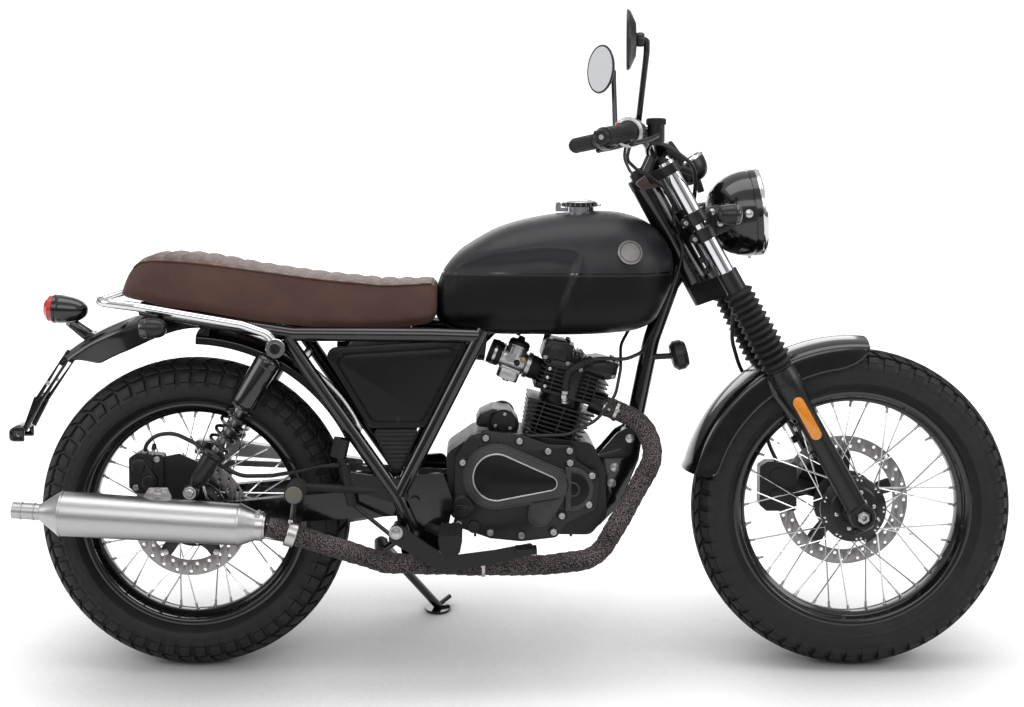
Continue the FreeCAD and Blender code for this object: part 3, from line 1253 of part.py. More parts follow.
def make_bar_cables(controls, caliper_solid):
    """Front brake hose down to the caliper, and the upper ends of the throttle and clutch cables."""
    hose = [(846, 34, -236), (826, 52, -214), (798, 70, -182), (766, 88, -138), (730, 82, -92),
            (690, 60, -58),
            (640, 51, -30), (590, 58, -2), (545, 78, 22), (500, 72, 42), (450, 38, 52), (400, 10, 64),
            (350, 0, 76), (290, -4, 80), (225, -14, 80), (165, -27, 72), (132, -30, 60)]
    throttle = [(848, -253, 1044), (842, -240, 1016), (864, -200, 999), (896, -150, 985), (926, -104, 965),
                (950, -76, 934), (956, -46, 889)]
    clutch = [(888, 227, 1059), (880, 212, 1026), (890, 175, 996), (918, 125, 967), (948, 80, 936),
              (956, 46, 889)]
    pieces = [pipe([fork_point(*corner) for corner in hose], HOSE_R, 90).cut(controls).cut(caliper_solid)]
    pieces.append(pipe(throttle, CABLE_R, 60).cut(controls))
    pieces.append(pipe(clutch, CABLE_R, 60).cut(controls))
    return Part.makeCompound(pieces)


def make_frame_cables(neighbours):
    """Throttle and clutch cables from the head to the engine, the rear brake hose and the plug's lead."""
    throttle = [(962, -44, 870), (975, -42, 839), (966, -36, 796), (944, -28, 752), (866, -27, 732),
                (780, -26, 722),
                (712, -20, 704), (668, -8, 690), (646, 0, 662)]
    clutch = [(962, 44, 870), (975, 42, 839), (972, 40, 796), (966, 36, 746), (922, 22, 706),
              (874, -4, 682),
              (852, -36, 650), (850, -66, 606), (838, -88, 556), (800, -98, 508), (744, -100, 480),
              (664, -100, 478)]
    rear_hose = [(-88, -78, 436), (-86, -88, 456), (-66, -96, 478), (-28, -98, 484), (20, -98, 460),
                 (60, -98, 420),
                 (104, -98, 398), (164, -99, 399), (218, -104, 409), (262, -114, 420), (300, -122, 424)]
    lead = [(747, -69, 590), (754, -76, 608), (776, -80, 624), (812, -78, 628), (860, -64, 624),
            (896, -40, 636),
            (912, -14, 656)]
    pieces = []
    for points, radius in ((throttle, CABLE_R), (clutch, CABLE_R), (rear_hose, HOSE_R), (lead, LEAD_R)):
        cable = pipe(points, radius, 60)
        for solid in neighbours:
            cable = cable.cut(solid)
        pieces.append(cable)
    return Part.makeCompound(pieces)


def ground_point(x, y, above):
    """A point over the parking ground, given in the upright bike."""
    lean = math.radians(LEAN_DEG)
    rise = TREAD_CROWN_R * (1 - math.cos(lean))
    z = (y * math.sin(lean) - rise) / math.cos(lean)
    return V(x, y, z) + ground_up() * above


def ground_up():
    """The parking ground's normal, given in the upright bike."""
    lean = math.radians(LEAN_DEG)
    return V(0, -math.sin(lean), math.cos(lean))


def stand_axes():
    """Side stand: leg direction when out, when folded, and the hinge axis."""
    foot = ground_point(STAND_FOOT_X, STAND_FOOT_Y, STAND_R + PART_GAP)
    out = (foot - vec(STAND_PIVOT)).normalize()
    folded = vec(STAND_FOLDED).normalize()
    return foot, out, folded, out.cross(folded).normalize()


def make_side_stand():
    """Side stand leg with its eye and foot pad."""
    foot, out, _, axis = stand_axes()
    pivot = vec(STAND_PIVOT)
    leg = rod(tuple(pivot + out * (STAND_EYE_R + 1.5)), tuple(foot), STAND_R)
    neck = rod(tuple(pivot + out * STAND_EYE_HALF), tuple(pivot + out * (STAND_EYE_R + 4)),
               STAND_EYE_HALF - 0.5)
    ball = Part.makeSphere(STAND_R, foot)
    pad = Part.makeCylinder(27.0, 6.0, ground_point(STAND_FOOT_X, STAND_FOOT_Y, 0), ground_up())
    eye = Part.makeCylinder(STAND_EYE_R, 2 * STAND_EYE_HALF, pivot - axis * STAND_EYE_HALF, axis)
    bore = Part.makeCylinder(STAND_BOLT_R + AXLE_FIT, 60.0, pivot - axis * 30, axis)
    spur = rod(tuple(foot), tuple(foot + V(26, 26, 14)), 5)
    return fused([leg, neck, ball, pad, eye, spur]).cut(bore)


def stand_bracket():
    """Bolt and cheek that carry the side stand on the frame."""
    _, _, _, axis = stand_axes()
    pivot = vec(STAND_PIVOT)
    inner = pivot - axis * (STAND_EYE_HALF + PART_GAP)
    cheek = Part.makeCylinder(STAND_EYE_R, 16.0, inner - axis * 16, axis)
    bolt = Part.makeCylinder(STAND_BOLT_R, 2 * STAND_EYE_HALF + 12.0, inner - axis * 6, axis)
    head = Part.makeCylinder(10.0, 6.0, pivot + axis * (STAND_EYE_HALF + PART_GAP), axis)
    foot = inner - axis * 12
    web = pipe([tuple(foot), (395, 95, 224), (440, 104, 262)], 8, 20)
    return [cheek, bolt, head, web]


PIECES = {}


def build_pieces():
    """Every node's shape in the upright bike frame."""
    front = bike_axle(True)
    rear = bike_axle(False)
    p = PIECES
    front_face = FRONT_DISC_Y - DISC_T / 2
    rear_face = REAR_DISC_Y - DISC_T / 2
    p["front_rim"] = make_rim(FRONT_BEAD_R, FRONT_RIM_HALF_W, front)
    p["front_tyre"] = make_tyre(FRONT_TYRE_R, FRONT_TYRE_HALF_W, FRONT_BEAD_R, FRONT_RIM_HALF_W, front)
    p["front_hub"] = make_hub(FRONT_BEAD_R, front, p["front_rim"], HUB_PLAIN_FACE, front_face)
    p["front_disc"] = make_disc(FRONT_DISC_R, front, FRONT_DISC_Y)
    p["rear_rim"] = make_rim(REAR_BEAD_R, REAR_RIM_HALF_W, rear)
    p["rear_tyre"] = make_tyre(REAR_TYRE_R, REAR_TYRE_HALF_W, REAR_BEAD_R, REAR_RIM_HALF_W, rear)
    p["rear_hub"] = make_hub(REAR_BEAD_R, rear, p["rear_rim"], rear_face, CHAIN_Y - 3.0)
    p["rear_disc"] = make_disc(REAR_DISC_R, rear, -REAR_DISC_Y)
    p["rear_sprocket"] = make_sprocket()
    p["fork_tubes"] = make_fork_tubes()
    p["fork_sliders"] = make_sliders()
    p["fork_gaiters"] = make_gaiters()
    p["triple_clamps"] = make_clamps(p["fork_tubes"])
    p["handlebar"] = make_handlebar(p["triple_clamps"])
    p["grips"] = make_grips(p["handlebar"])
    p["bar_controls"] = make_controls(p["handlebar"])
    p["mirrors"] = make_mirrors(p["bar_controls"], p["handlebar"])
    shell, lens = make_headlight()
    p["headlight_shell"] = shell.cut(p["fork_tubes"])
    p["headlight_lens"] = lens
    p["speedometer"] = make_speedometer(p["triple_clamps"]).cut(p["handlebar"])
    p["front_fender"] = make_front_fender(p["fork_sliders"])
    p["front_caliper"] = make_front_caliper(p["fork_sliders"])
    p["front_indicators"] = make_front_indicators(p["headlight_shell"])
    p["engine_cylinder"] = make_cylinder()
    p["engine_head"] = make_head()
    p["engine_case"] = make_case(p["engine_cylinder"])
    p["engine_cover"] = make_cover()
    p["frame_front"] = make_frame_front(p["engine_case"])
    p["frame_rear"] = make_frame_rear(p["frame_front"])
    p["swingarm"] = make_swingarm(p["frame_rear"])
    p["shocks"] = make_shocks(p["frame_rear"], p["swingarm"])
    p["airbox"] = make_airbox().cut(p["frame_front"])
    p["carburetor"] = make_carburetor(p["engine_head"], p["engine_case"], p["airbox"]).cut(p["frame_front"])
    p["muffler"] = make_muffler()
    p["fuel_tank"] = make_tank()
    p["filler_neck"] = make_filler()
    well = Part.makeCylinder(30.0, 60.0, V(CAP_CENTRE_X, 0, tank_top() - 40))
    p["fuel_tank"] = p["fuel_tank"].cut(well)
    p["fuel_cap"] = make_cap()
    p["seat"] = make_seat(p["fuel_tank"]).cut(p["frame_rear"])
    p["side_panels"] = make_side_panels(p["frame_rear"])
    p["rear_fender"] = make_rear_fender(p["frame_rear"])
    tail, tail_lens = make_tail_light()
    p["tail_light"] = tail.cut(p["rear_fender"])
    p["tail_lens"] = tail_lens
    p["plate_bracket"] = make_plate_bracket(p["rear_fender"])
    p["rear_indicators"] = make_rear_indicators().cut(p["frame_rear"])
    p["grab_rail"] = make_grab_rail().cut(p["shocks"]).cut(p["frame_rear"])
    p["chain"] = make_chain()
    p["chain_guard"] = make_chain_guard(p["swingarm"])
    p["foot_pegs"] = make_pegs(p["frame_rear"])
    p["exhaust_header"] = make_header(p["engine_head"], p["muffler"], p["foot_pegs"])
    p["foot_levers"] = make_levers(p["frame_rear"], p["engine_case"])
    p["rear_caliper"] = make_rear_caliper(p["swingarm"])
    p["horn"] = make_horn(p["frame_front"])
    p["side_stand"] = make_side_stand()
    p["rear_master"] = make_rear_master(p["frame_rear"], p["foot_pegs"], p["foot_levers"])
    p["bar_cables"] = make_bar_cables(p["bar_controls"], p["front_caliper"])
    ends = [p["carburetor"], p["engine_cover"], p["rear_caliper"], p["rear_master"], p["engine_head"],
            p["frame_front"]]
    p["frame_cables"] = make_frame_cables(ends)


def parked_placement(shapes):
    """Lean to the left until the stand's foot is down, then centre the origin under the whole bike."""
    lean = FreeCAD.Placement(V(0, 0, 0), FreeCAD.Rotation(V(1, 0, 0), -LEAN_DEG))
    box = FreeCAD.BoundBox()
    for shape in shapes:
        leaned = shape.copy()
        leaned.Placement = lean.multiply(shape.Placement)
        box.add(leaned.optimalBoundingBox(False, False))
    shift = V(-(box.XMin + box.XMax) / 2, -(box.YMin + box.YMax) / 2, -box.ZMin)
    return FreeCAD.Placement(shift, lean.Rotation)


def main():
    """Build, lean over and write every piece."""
    os.makedirs("parts", exist_ok=True)
    build_pieces()
    parked = parked_placement(PIECES.values())
    for name, shape in PIECES.items():
        shape.Placement = parked.multiply(shape.Placement)
        shape.exportStep("parts/" + name + ".step")
    return parked


if __name__ == "__main__":
    main()
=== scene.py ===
# Looks of a cafe racer style motorcycle parked on its side stand.
import json
import math

import bmesh
import bpy
from mathutils import Matrix, Vector


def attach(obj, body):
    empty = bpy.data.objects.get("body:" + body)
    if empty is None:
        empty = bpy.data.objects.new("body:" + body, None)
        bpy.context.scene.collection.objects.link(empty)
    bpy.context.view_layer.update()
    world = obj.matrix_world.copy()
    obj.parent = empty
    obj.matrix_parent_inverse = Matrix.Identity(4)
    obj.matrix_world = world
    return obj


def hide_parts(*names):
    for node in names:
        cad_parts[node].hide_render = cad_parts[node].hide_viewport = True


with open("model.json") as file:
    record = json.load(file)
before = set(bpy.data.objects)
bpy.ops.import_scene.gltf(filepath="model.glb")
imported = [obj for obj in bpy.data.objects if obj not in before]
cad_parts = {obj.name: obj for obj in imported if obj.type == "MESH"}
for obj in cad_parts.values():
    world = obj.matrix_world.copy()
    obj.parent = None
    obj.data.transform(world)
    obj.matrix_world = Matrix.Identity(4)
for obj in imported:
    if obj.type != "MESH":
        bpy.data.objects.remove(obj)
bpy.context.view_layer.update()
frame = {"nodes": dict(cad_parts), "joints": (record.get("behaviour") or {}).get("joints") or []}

# The upright bike's own frame in millimetres: X forward from the rear axle, Y to the rider's left, Z up.
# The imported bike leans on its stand, so this frame is read from the wheels' joints.
JOINTS = {joint["name"]: joint for joint in frame["joints"]}
MM = 0.001
REAR_TYRE_R = 311.0
FRONT_TYRE_R = 320.0
WHEELBASE = 1320.0
AXLE_WAY = Vector(JOINTS["rear_wheel_spin"]["axis"]).normalized()
AHEAD = Vector((1, 0, 0))
BIKE_UP = AHEAD.cross(AXLE_WAY).normalized()
BIKE_ORIGIN = Vector(JOINTS["rear_wheel_spin"]["pos_m"]) - BIKE_UP * REAR_TYRE_R * MM
BIKE_TURN = Matrix((AHEAD, AXLE_WAY, BIKE_UP)).transposed()
BIKE = Matrix.Translation(BIKE_ORIGIN) @ (BIKE_TURN * MM).to_4x4()
BIKE[3][3] = 1.0

# Steering, as in the frame
RAKE = math.radians(29.2)
FORK_UP = Vector((-math.sin(RAKE), 0, math.cos(RAKE)))
FORK_AHEAD = Vector((math.cos(RAKE), 0, math.sin(RAKE)))
FORK_OFFSET = 50.0
FORK_HALF_W = 95.0
STEER_BASE = Vector((WHEELBASE, 0, FRONT_TYRE_R)) - FORK_AHEAD * FORK_OFFSET


def fork_point(up, ahead, side):
    """A point by its height along the fork, its distance ahead of the steering axis, and its side."""
    return STEER_BASE + FORK_UP * up + FORK_AHEAD * ahead + Vector((0, side, 0))


# Turns an outline upright: its X runs ahead and its Y up
SIDEWAYS = Matrix(((1, 0, 0, 0), (0, 0, -1, 0), (0, 1, 0, 0), (0, 0, 0, 1)))


# Shapes in bike millimetres


class Form:
    """Points and faces in bike millimetres, gathered before they become one mesh."""

    def __init__(self):
        self.points = []
        self.faces = []
        self.looks = []

    def add(self, points, faces, look=0):
        """Adds a patch; look is its place in the piece's list of materials."""
        start = len(self.points)
        self.points += [Vector(point) for point in points]
        self.faces += [tuple(start + i for i in face) for face in faces]
        self.looks += [look] * len(faces)

    def merge(self, other, matrix=None):
        """Adds a copy of another form, moved if wanted."""
        start = len(self.points)
        self.points += [matrix @ p if matrix else p.copy() for p in other.points]
        self.faces += [tuple(start + i for i in face) for face in other.faces]
        self.looks += other.looks
        return self

    def mirrored(self):
        """The other side's copy."""
        flip = Matrix.Scale(-1, 4, Vector((0, 1, 0)))
        return Form().merge(self, flip)

    def with_mirror(self):
        """This form and its mirror image."""
        return Form().merge(self).merge(self.mirrored())


def frame_along(base, axis, around=(0, 0, 1)):
    """A matrix whose Z runs along the axis from base, with X as near to 'around' as it can be."""
    z = Vector(axis).normalized()
    x = Vector(around) - z * z.dot(Vector(around))
    if x.length < 1e-4:
        x = z.orthogonal()
    x.normalize()
    turn = Matrix((x, z.cross(x), z)).transposed()
    return Matrix.Translation(Vector(base)) @ turn.to_4x4()


def polar(radius, angle):
    """(x, y) of a point by its radius and its angle."""
    return radius * math.cos(angle), radius * math.sin(angle)


def grid_faces(rows, columns, close_rows=False, close_columns=False):
    """Quads of a grid of points stored row by row."""
    faces = []
    for i in range(rows if close_rows else rows - 1):
        for j in range(columns if close_columns else columns - 1):
            a = i * columns + j
            b = i * columns + (j + 1) % columns
            c = (i + 1) % rows * columns + (j + 1) % columns
            d = (i + 1) % rows * columns + j
            faces.append((a, b, c, d))
    return faces


def lathe(form, profile, base, axis, steps, look=0, closed=False):
    """Turns (radius, height) points about an axis."""
    place = frame_along(base, axis)
    points = []
    for k in range(steps):
        angle = 2 * math.pi * k / steps
        for radius, height in profile:
            points.append(place @ Vector((*polar(radius, angle), height)))
    form.add(points, grid_faces(steps, len(profile), True, closed), look)


def turned(form, base, axis, rows):
    """Turned shapes about one axis; a row has a profile and then what else lathe takes."""
    for profile, *rest in rows:
        lathe(form, profile, base, axis, *rest)


def rod(form, start, end, radius, steps, look=0, edge=0.0):
    """A round bar with flat ends, chamfered by 'edge'."""
    start = Vector(start)
    axis = Vector(end) - start
    length = axis.length
    profile = [(0, 0), (radius, 0), (radius, length), (0, length)]
    if edge:
        flat = radius - edge
        profile = [(0, 0), (flat, 0), (radius, edge), (radius, length - edge), (flat, length), (0, length)]
    lathe(form, profile, start, axis, steps, look)


def tube_faces(count, steps):
    """Faces round a row of rings, with both ends closed."""
    faces = grid_faces(count, steps, False, True)
    faces.append(tuple(reversed(range(steps))))
    faces.append(tuple((count - 1) * steps + k for k in range(steps)))
    return faces


def frames_along(path):
    """Each point of a path with two directions across it that keep from twisting."""
    side = None
    for i, here in enumerate(path):
        heading = (path[min(i + 1, len(path) - 1)] - path[max(i - 1, 0)]).normalized()
        if side is None:
            side = heading.orthogonal().normalized()
        side = (side - heading * heading.dot(side)).normalized()
        yield here, side, heading.cross(side)


def tube(form, path, radius, steps, look=0):
    """A round tube along a path; radius is one value or one for each point."""
    path = [Vector(p) for p in path]
    radii = radius if isinstance(radius, (list, tuple)) else [radius] * len(path)
    points = []
    for (here, side, other), thick in zip(frames_along(path), radii):
        for k in range(steps):
            angle = 2 * math.pi * k / steps
            points.append(here + (side * math.cos(angle) + other * math.sin(angle)) * thick)
    form.add(points, tube_faces(len(path), steps), look)


def corner_arc(before, here, after, radius, least_turn):
    """A rounded corner's centre, the arms to the ends of its arc and its turn; None where it is straight."""
    back = before - here
    ahead = after - here
    turn = math.pi - back.angle(ahead)
    if turn < least_turn or radius <= 0:
        return None
    longest = 0.48
    reach = min(radius * math.tan(turn / 2), longest * back.length, longest * ahead.length)
    back.normalize()
    ahead.normalize()
    centre = here + (back + ahead).normalized() * math.hypot(reach, reach / math.tan(turn / 2))
    return centre, here + back * reach - centre, here + ahead * reach - centre, turn


def bent_path(corners, bend, arc_steps):
    """Straight runs joined by arcs."""
    corners = [Vector(c) for c in corners]
    path = [corners[0]]
    for before, here, after in zip(corners, corners[1:], corners[2:]):
        arc = corner_arc(before, here, after, bend, 0.01)
        if arc is None:
            path.append(here)
            continue
        centre, start, end, turn = arc
        axis = start.cross(end)
        path += [centre + Matrix.Rotation(turn * k / arc_steps, 3,
                                          axis) @ start for k in range(arc_steps + 1)]
    path.append(corners[-1])
    return path


def flowing_path(points, per_span):
    """A smooth curve through points, for cables."""
    points = [Vector(p) for p in points]
    ends = [points[0] * 2 - points[1]] + points + [points[-1] * 2 - points[-2]]
    path = []
    for a, b, c, d in zip(ends, ends[1:], ends[2:], ends[3:]):
        for k in range(per_span):
            t = k / per_span
            path.append(0.5 * (2 * b + (c - a) * t + (2 * a - 5 * b + 4 * c - d) * t ** 2
                               + (3 * b - a - 3 * c + d) * t ** 3))
    path.append(points[-1])
    return path


def rounded(outline, radius):
    """A closed 2D outline with its corners rounded."""
    arc_steps = 5
    corners = [Vector((x, y, 0)) for x, y in outline]
    points = []
    for before, here, after in zip(corners[-1:] + corners, corners, corners[1:] + corners[:1]):
        arc = corner_arc(before, here, after, radius, 0.02)
        if arc is None:
            points.append((here.x, here.y))
            continue
        centre, start, end, turn = arc
        side = 1 if start.cross(end).z > 0 else -1
        for k in range(arc_steps + 1):
            p = centre + Matrix.Rotation(side * turn * k / arc_steps, 3, "Z") @ start
            points.append((p.x, p.y))
    return points


def circle(cx, cy, radius, steps=24):
    """A closed 2D circle."""
    return sweep(cx, cy, radius, [2 * math.pi * k / steps for k in range(steps)])


def sweep(cx, cy, radius, angles):
    """2D points about a centre."""
    points = []
    for angle in angles:
        x, y = polar(radius, angle)
        points.append((cx + x, cy + y))
    return points


def round_plate(form, outline, y0, y1, edge, look, holes=()):
    """A plate in the bike's XZ plane between y0 and y1, its outline and holes given point by point."""
    slab(form, [outline] + list(holes), SIDEWAYS, -max(y0, y1), -min(y0, y1), edge, look)


def slab(form, loops, matrix, low, high, edge, look=0):
    """An outline with holes in the local XY plane, filled from low to high, its rims chamfered by 'edge'."""
    data = bpy.data.curves.new("outline", "CURVE")
    data.dimensions = "2D"
    data.fill_mode = "BOTH"
    data.extrude = (high - low) / 2 - edge
    data.bevel_depth = edge
    data.bevel_resolution = 1 if edge else 0
    data.offset = -edge
    for loop in loops:
        spline = data.splines.new("POLY")
        spline.points.add(len(loop) - 1)
        for point, (x, y) in zip(spline.points, loop):
            point.co = (x, y, 0, 1)
        spline.use_cyclic_u = True
    holder = bpy.data.objects.new("outline", data)
    mesh = bpy.data.meshes.new_from_object(holder)
    lift = Matrix.Translation((0, 0, (low + high) / 2))
    form.add([matrix @ lift @ v.co for v in mesh.vertices], [tuple(p.vertices) for p in mesh.polygons], look)
    bpy.data.objects.remove(holder)
    bpy.data.curves.remove(data)
    bpy.data.meshes.remove(mesh)


def side_plate(form, outline, y0, y1, corner, edge, look=0, holes=()):
    """A plate in the bike's XZ plane between y0 and y1 with rounded corners and (x, z, radius) holes."""
    round_plate(form, rounded(outline, corner), y0, y1, edge, look, [circle(*hole) for hole in holes])


def side_plates(form, y0, y1, rows):
    """Plates between y0 and y1; a row has an outline and then what else side_plate takes."""
    for outline, *rest in rows:
        side_plate(form, outline, y0, y1, *rest)


def hex_nut(form, base, axis, radius, low, high, edge, look):
    """A six-sided nut between two heights along an axis."""
    slab(form, [circle(0, 0, radius, 6)], frame_along(base, axis), low, high, edge, look)


def bolt(form, base, axis, radius, height, look=0, kind="hex"):
    """A bolt's head: hex, socket or dome, standing on base along axis."""
    if kind == "hex":
        washer = 0.8
        wide = radius * 1.25
        lathe(form, [(0, 0), (wide, 0), (wide, washer), (radius * 1.1, 1.0), (0, 1.0)], base, axis, 20, look)
        hex_nut(form, base, axis, radius, washer, height + washer, radius * 0.08, look)
        return
    if kind == "socket":
        hollow = radius * 0.55
        floor = height * 0.4
        chamfer = 0.6
        head = [(radius, 0), (radius, height - chamfer), (radius - chamfer, height), (hollow, height),
                (hollow * 0.95, floor), (0, floor)]
    else:
        head = [(radius, 0), (radius, height * 0.3), (radius * 0.8, height * 0.75), (radius * 0.4, height),
                (0, height)]
    lathe(form, [(0, 0)] + head, base, axis, 18, look)


def side_bolts(form, spots, y, radius, height, look, kind="hex"):
    """Bolt heads at (x, z) spots on a face at y, pointing out of the bike's middle."""
    for x, z in spots:
        bolt(form, (x, y, z), (0, math.copysign(1, y), 0), radius, height, look, kind)


def placed(name, data):
    """A new object in the scene."""
    made = bpy.data.objects.new(name, data)
    bpy.context.scene.collection.objects.link(made)
    return made


def form_mesh(name, form):
    """A form as a mesh in the frame's metres."""
    mesh = bpy.data.meshes.new(name)
    mesh.from_pydata([BIKE @ p for p in form.points], [], form.faces)
    return mesh


def shade(mesh, limit_deg):
    """Joins doubled points, turns faces outwards and keeps edges sharper than the limit crisp."""
    bm = bmesh.new()
    bm.from_mesh(mesh)
    bmesh.ops.remove_doubles(bm, verts=bm.verts, dist=1e-6)
    bmesh.ops.dissolve_degenerate(bm, edges=bm.edges, dist=1e-7)
    bmesh.ops.recalc_face_normals(bm, faces=bm.faces)
    limit = math.radians(limit_deg)
    for face in bm.faces:
        face.smooth = True
    for edge in bm.edges:
        edge.smooth = len(edge.link_faces) != 2 or edge.calc_face_angle(0.0) < limit
    bm.to_mesh(mesh)
    bm.free()


def make_piece(name, form, body, looks, sharp):
    """One visible piece from a form, riding on a body."""
    mesh = form_mesh(name, form)
    for look in looks:
        mesh.materials.append(MATERIALS[look])
    mesh.polygons.foreach_set("material_index", form.looks)
    shade(mesh, sharp)
    piece = placed(name, mesh)
    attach(piece, body)
    return piece


# Materials


def new_material(name, color, roughness, metallic=0.0, coat=0.0, specular=0.5):
    """A Principled material and the tools to add to it."""
    material = bpy.data.materials.new(name)
    material.use_nodes = True
    tree = material.node_tree
    shader = tree.nodes["Principled BSDF"]
    values = {"Base Color": (*color, 1.0), "Roughness": roughness, "Metallic": metallic, "Coat Weight": coat,
              "Coat Roughness": 0.08, "Specular IOR Level": specular}
    for socket, value in values.items():
        shader.inputs[socket].default_value = value
    return material, tree, shader


def fill(tree, socket, value):
    """Sets an input, or links it where the value is another node's output."""
    if isinstance(value, bpy.types.NodeSocket):
        tree.links.new(value, socket)
    else:
        socket.default_value = value


def node(tree, kind, **values):
    """A node with its settings and inputs filled in."""
    made = tree.nodes.new(kind)
    for key, value in values.items():
        if key in made.inputs:
            fill(tree, made.inputs[key], value)
        else:
            setattr(made, key, value)
    return made


def reckon(tree, operation, a, b):
    """The result of one operation on two values."""
    made = node(tree, "ShaderNodeMath", operation=operation)
    fill(tree, made.inputs[0], a)
    fill(tree, made.inputs[1], b)
    return made.outputs[0]


def mapped(tree, value, source, target, kind="LINEAR"):
    """A value turned from one range to another; the ends may be other nodes' outputs."""
    made = node(tree, "ShaderNodeMapRange", interpolation_type=kind)
    for socket, end in zip(("From Min", "From Max", "To Min", "To Max"), (*source, *target)):
        fill(tree, made.inputs[socket], end)
    fill(tree, made.inputs["Value"], value)
    return made.outputs["Result"]


def object_space(tree, scale=(1, 1, 1), turn=(0, 0, 0)):
    """Object coordinates, stretched and turned."""
    coordinates = tree.nodes.new("ShaderNodeTexCoord").outputs["Object"]
    return node(tree, "ShaderNodeMapping", Vector=coordinates, Scale=scale, Rotation=turn).outputs["Vector"]


def noise(tree, vector, scale, detail=4.0, rough=0.55):
    """A noise texture's value."""
    texture = node(tree, "ShaderNodeTexNoise", Vector=vector, Scale=scale, Detail=detail, Roughness=rough)
    return texture.outputs["Fac"]


def cells(tree, vector, scale, **settings):
    """A cell texture's distance."""
    return node(tree, "ShaderNodeTexVoronoi", Vector=vector, Scale=scale, **settings).outputs["Distance"]


def ramp(tree, value, stops):
    """A colour ramp over a value, from (position, colour) stops."""
    made = node(tree, "ShaderNodeValToRGB", Fac=value)
    line = made.color_ramp
    while len(line.elements) < len(stops):
        line.elements.new(0.5)
    for element, (position, color) in zip(line.elements, stops):
        element.position = position
        element.color = (*color, 1.0)
    return made.outputs["Color"]


def spread(tree, value, low, high):
    """A value mapped from 0.3..0.7 to low..high."""
    return mapped(tree, value, (0.3, 0.7), (low, high))


def bump(tree, shader, height, strength, distance):
    """Adds a bump from a height value, after any bump that is there already."""
    normal = shader.inputs["Normal"]
    made = node(tree, "ShaderNodeBump", Height=height, Strength=strength, Distance=distance)
    if normal.links:
        tree.links.new(normal.links[0].from_socket, made.inputs["Normal"])
    tree.links.new(made.outputs["Normal"], normal)


def toned(color, factor):
    """A darker or lighter colour."""
    return tuple(min(1.0, c * factor) for c in color)


def set_glow(shader, color, strength):
    """Emission on a surface: on the mirror, the reflectors and the unlit lenses it is a painted glow, as they
    are no lamps; on the floor it is the white backdrop.
    """
    shader.inputs["Emission Color"].default_value = (*color, 1.0)
    shader.inputs["Emission Strength"].default_value = strength


def finish_material(name, color, roughness, metallic=0.0, coat=0.0, grain=None, mottle=0.12,
                    rough_mottle=0.05,
                    mottle_scale=18.0, specular=0.5):
    """A surface with slight colour and gloss variation and perhaps a grain (scale, strength, distance)."""
    material, tree, shader = new_material(name, color, roughness, metallic, coat, specular)
    space = object_space(tree)
    patches = noise(tree, space, mottle_scale, 6.0)
    stops = [(0.32, toned(color, 1 - mottle)), (0.68, toned(color, 1 + mottle))]
    fill(tree, shader.inputs["Base Color"], ramp(tree, patches, stops))
    smears = noise(tree, space, mottle_scale * 2.7, 5.0)
    low = max(0.02, roughness - rough_mottle)
    fill(tree, shader.inputs["Roughness"], spread(tree, smears, low, roughness + rough_mottle))
    if grain:
        scale, strength, distance = grain
        bump(tree, shader, noise(tree, space, scale, 3.0), strength, distance)
    return material


def brushed_material(name, color, roughness, direction, scale):
    """Metal with fine lines: the stretch is small along the lines and large across them."""
    material, tree, shader = new_material(name, color, roughness, 1.0)
    lines = noise(tree, object_space(tree, direction), scale, 8.0, 0.7)
    fill(tree, shader.inputs["Base Color"], ramp(tree, lines, [(0.3, toned(color, 0.86)), (0.7, color)]))
    fill(tree, shader.inputs["Roughness"], spread(tree, lines, roughness - 0.06, roughness + 0.08))
    bump(tree, shader, lines, 0.08, 0.0002)
    return material


def leather_material(name, color):
    """Brown seat leather: pebbled grain, darker in the creases and worn in soft patches."""
    material, tree, shader = new_material(name, color, 0.5, specular=0.20)
    space = object_space(tree)
    stops = [(0.3, toned(color, 0.80)), (0.7, toned(color, 1.18))]
    fill(tree, shader.inputs["Base Color"], ramp(tree, noise(tree, space, 9.0, 6.0), stops))
    fill(tree, shader.inputs["Roughness"], spread(tree, noise(tree, space, 60.0), 0.42, 0.58))
    shader.inputs["Sheen Weight"].default_value = 0.05
    shader.inputs["Sheen Roughness"].default_value = 0.5
    bump(tree, shader, cells(tree, space, 420.0, feature="DISTANCE_TO_EDGE"), 0.5, 0.0012)
    bump(tree, shader, noise(tree, space, 60.0), 0.12, 0.001)
    return material


def glass_material(name, color, roughness):
    """Clear lamp glass."""
    material, tree, shader = new_material(name, color, roughness)
    shader.inputs["Transmission Weight"].default_value = 1.0
    shader.inputs["IOR"].default_value = 1.45
    bump(tree, shader, noise(tree, object_space(tree), 40.0), 0.05, 0.0005)
    return material


def reflector_material(name, color):
    """Moulded reflector plastic with a grid of small prisms and a faint painted glow standing in for its
    shine, though it is no lamp.
    """
    material, tree, shader = new_material(name, color, 0.18, 0.0, 0.6)
    prisms = cells(tree, object_space(tree), 260.0)
    fill(tree, shader.inputs["Base Color"], ramp(tree, prisms, [(0.1, color), (0.6, toned(color, 0.72))]))
    # Painted glow: reflectors and unlit lenses are made to shine a little, as though lit.
    set_glow(shader, color, 0.12)
    bump(tree, shader, prisms, 0.25, 0.0008)
    return material


def mirror_material(name):
    """Silvered glass that looks up into the pale studio, with a painted glow standing in for its bright
    reflection.
    """
    material, tree, shader = new_material(name, (0.86, 0.88, 0.89), 0.05, 1.0)
    # Painted reflection: this glow brightens the mirror though it is no lamp.
    set_glow(shader, (0.93, 0.96, 1.0), 0.50)
    bump(tree, shader, noise(tree, object_space(tree), 12.0), 0.02, 0.0003)
    return material


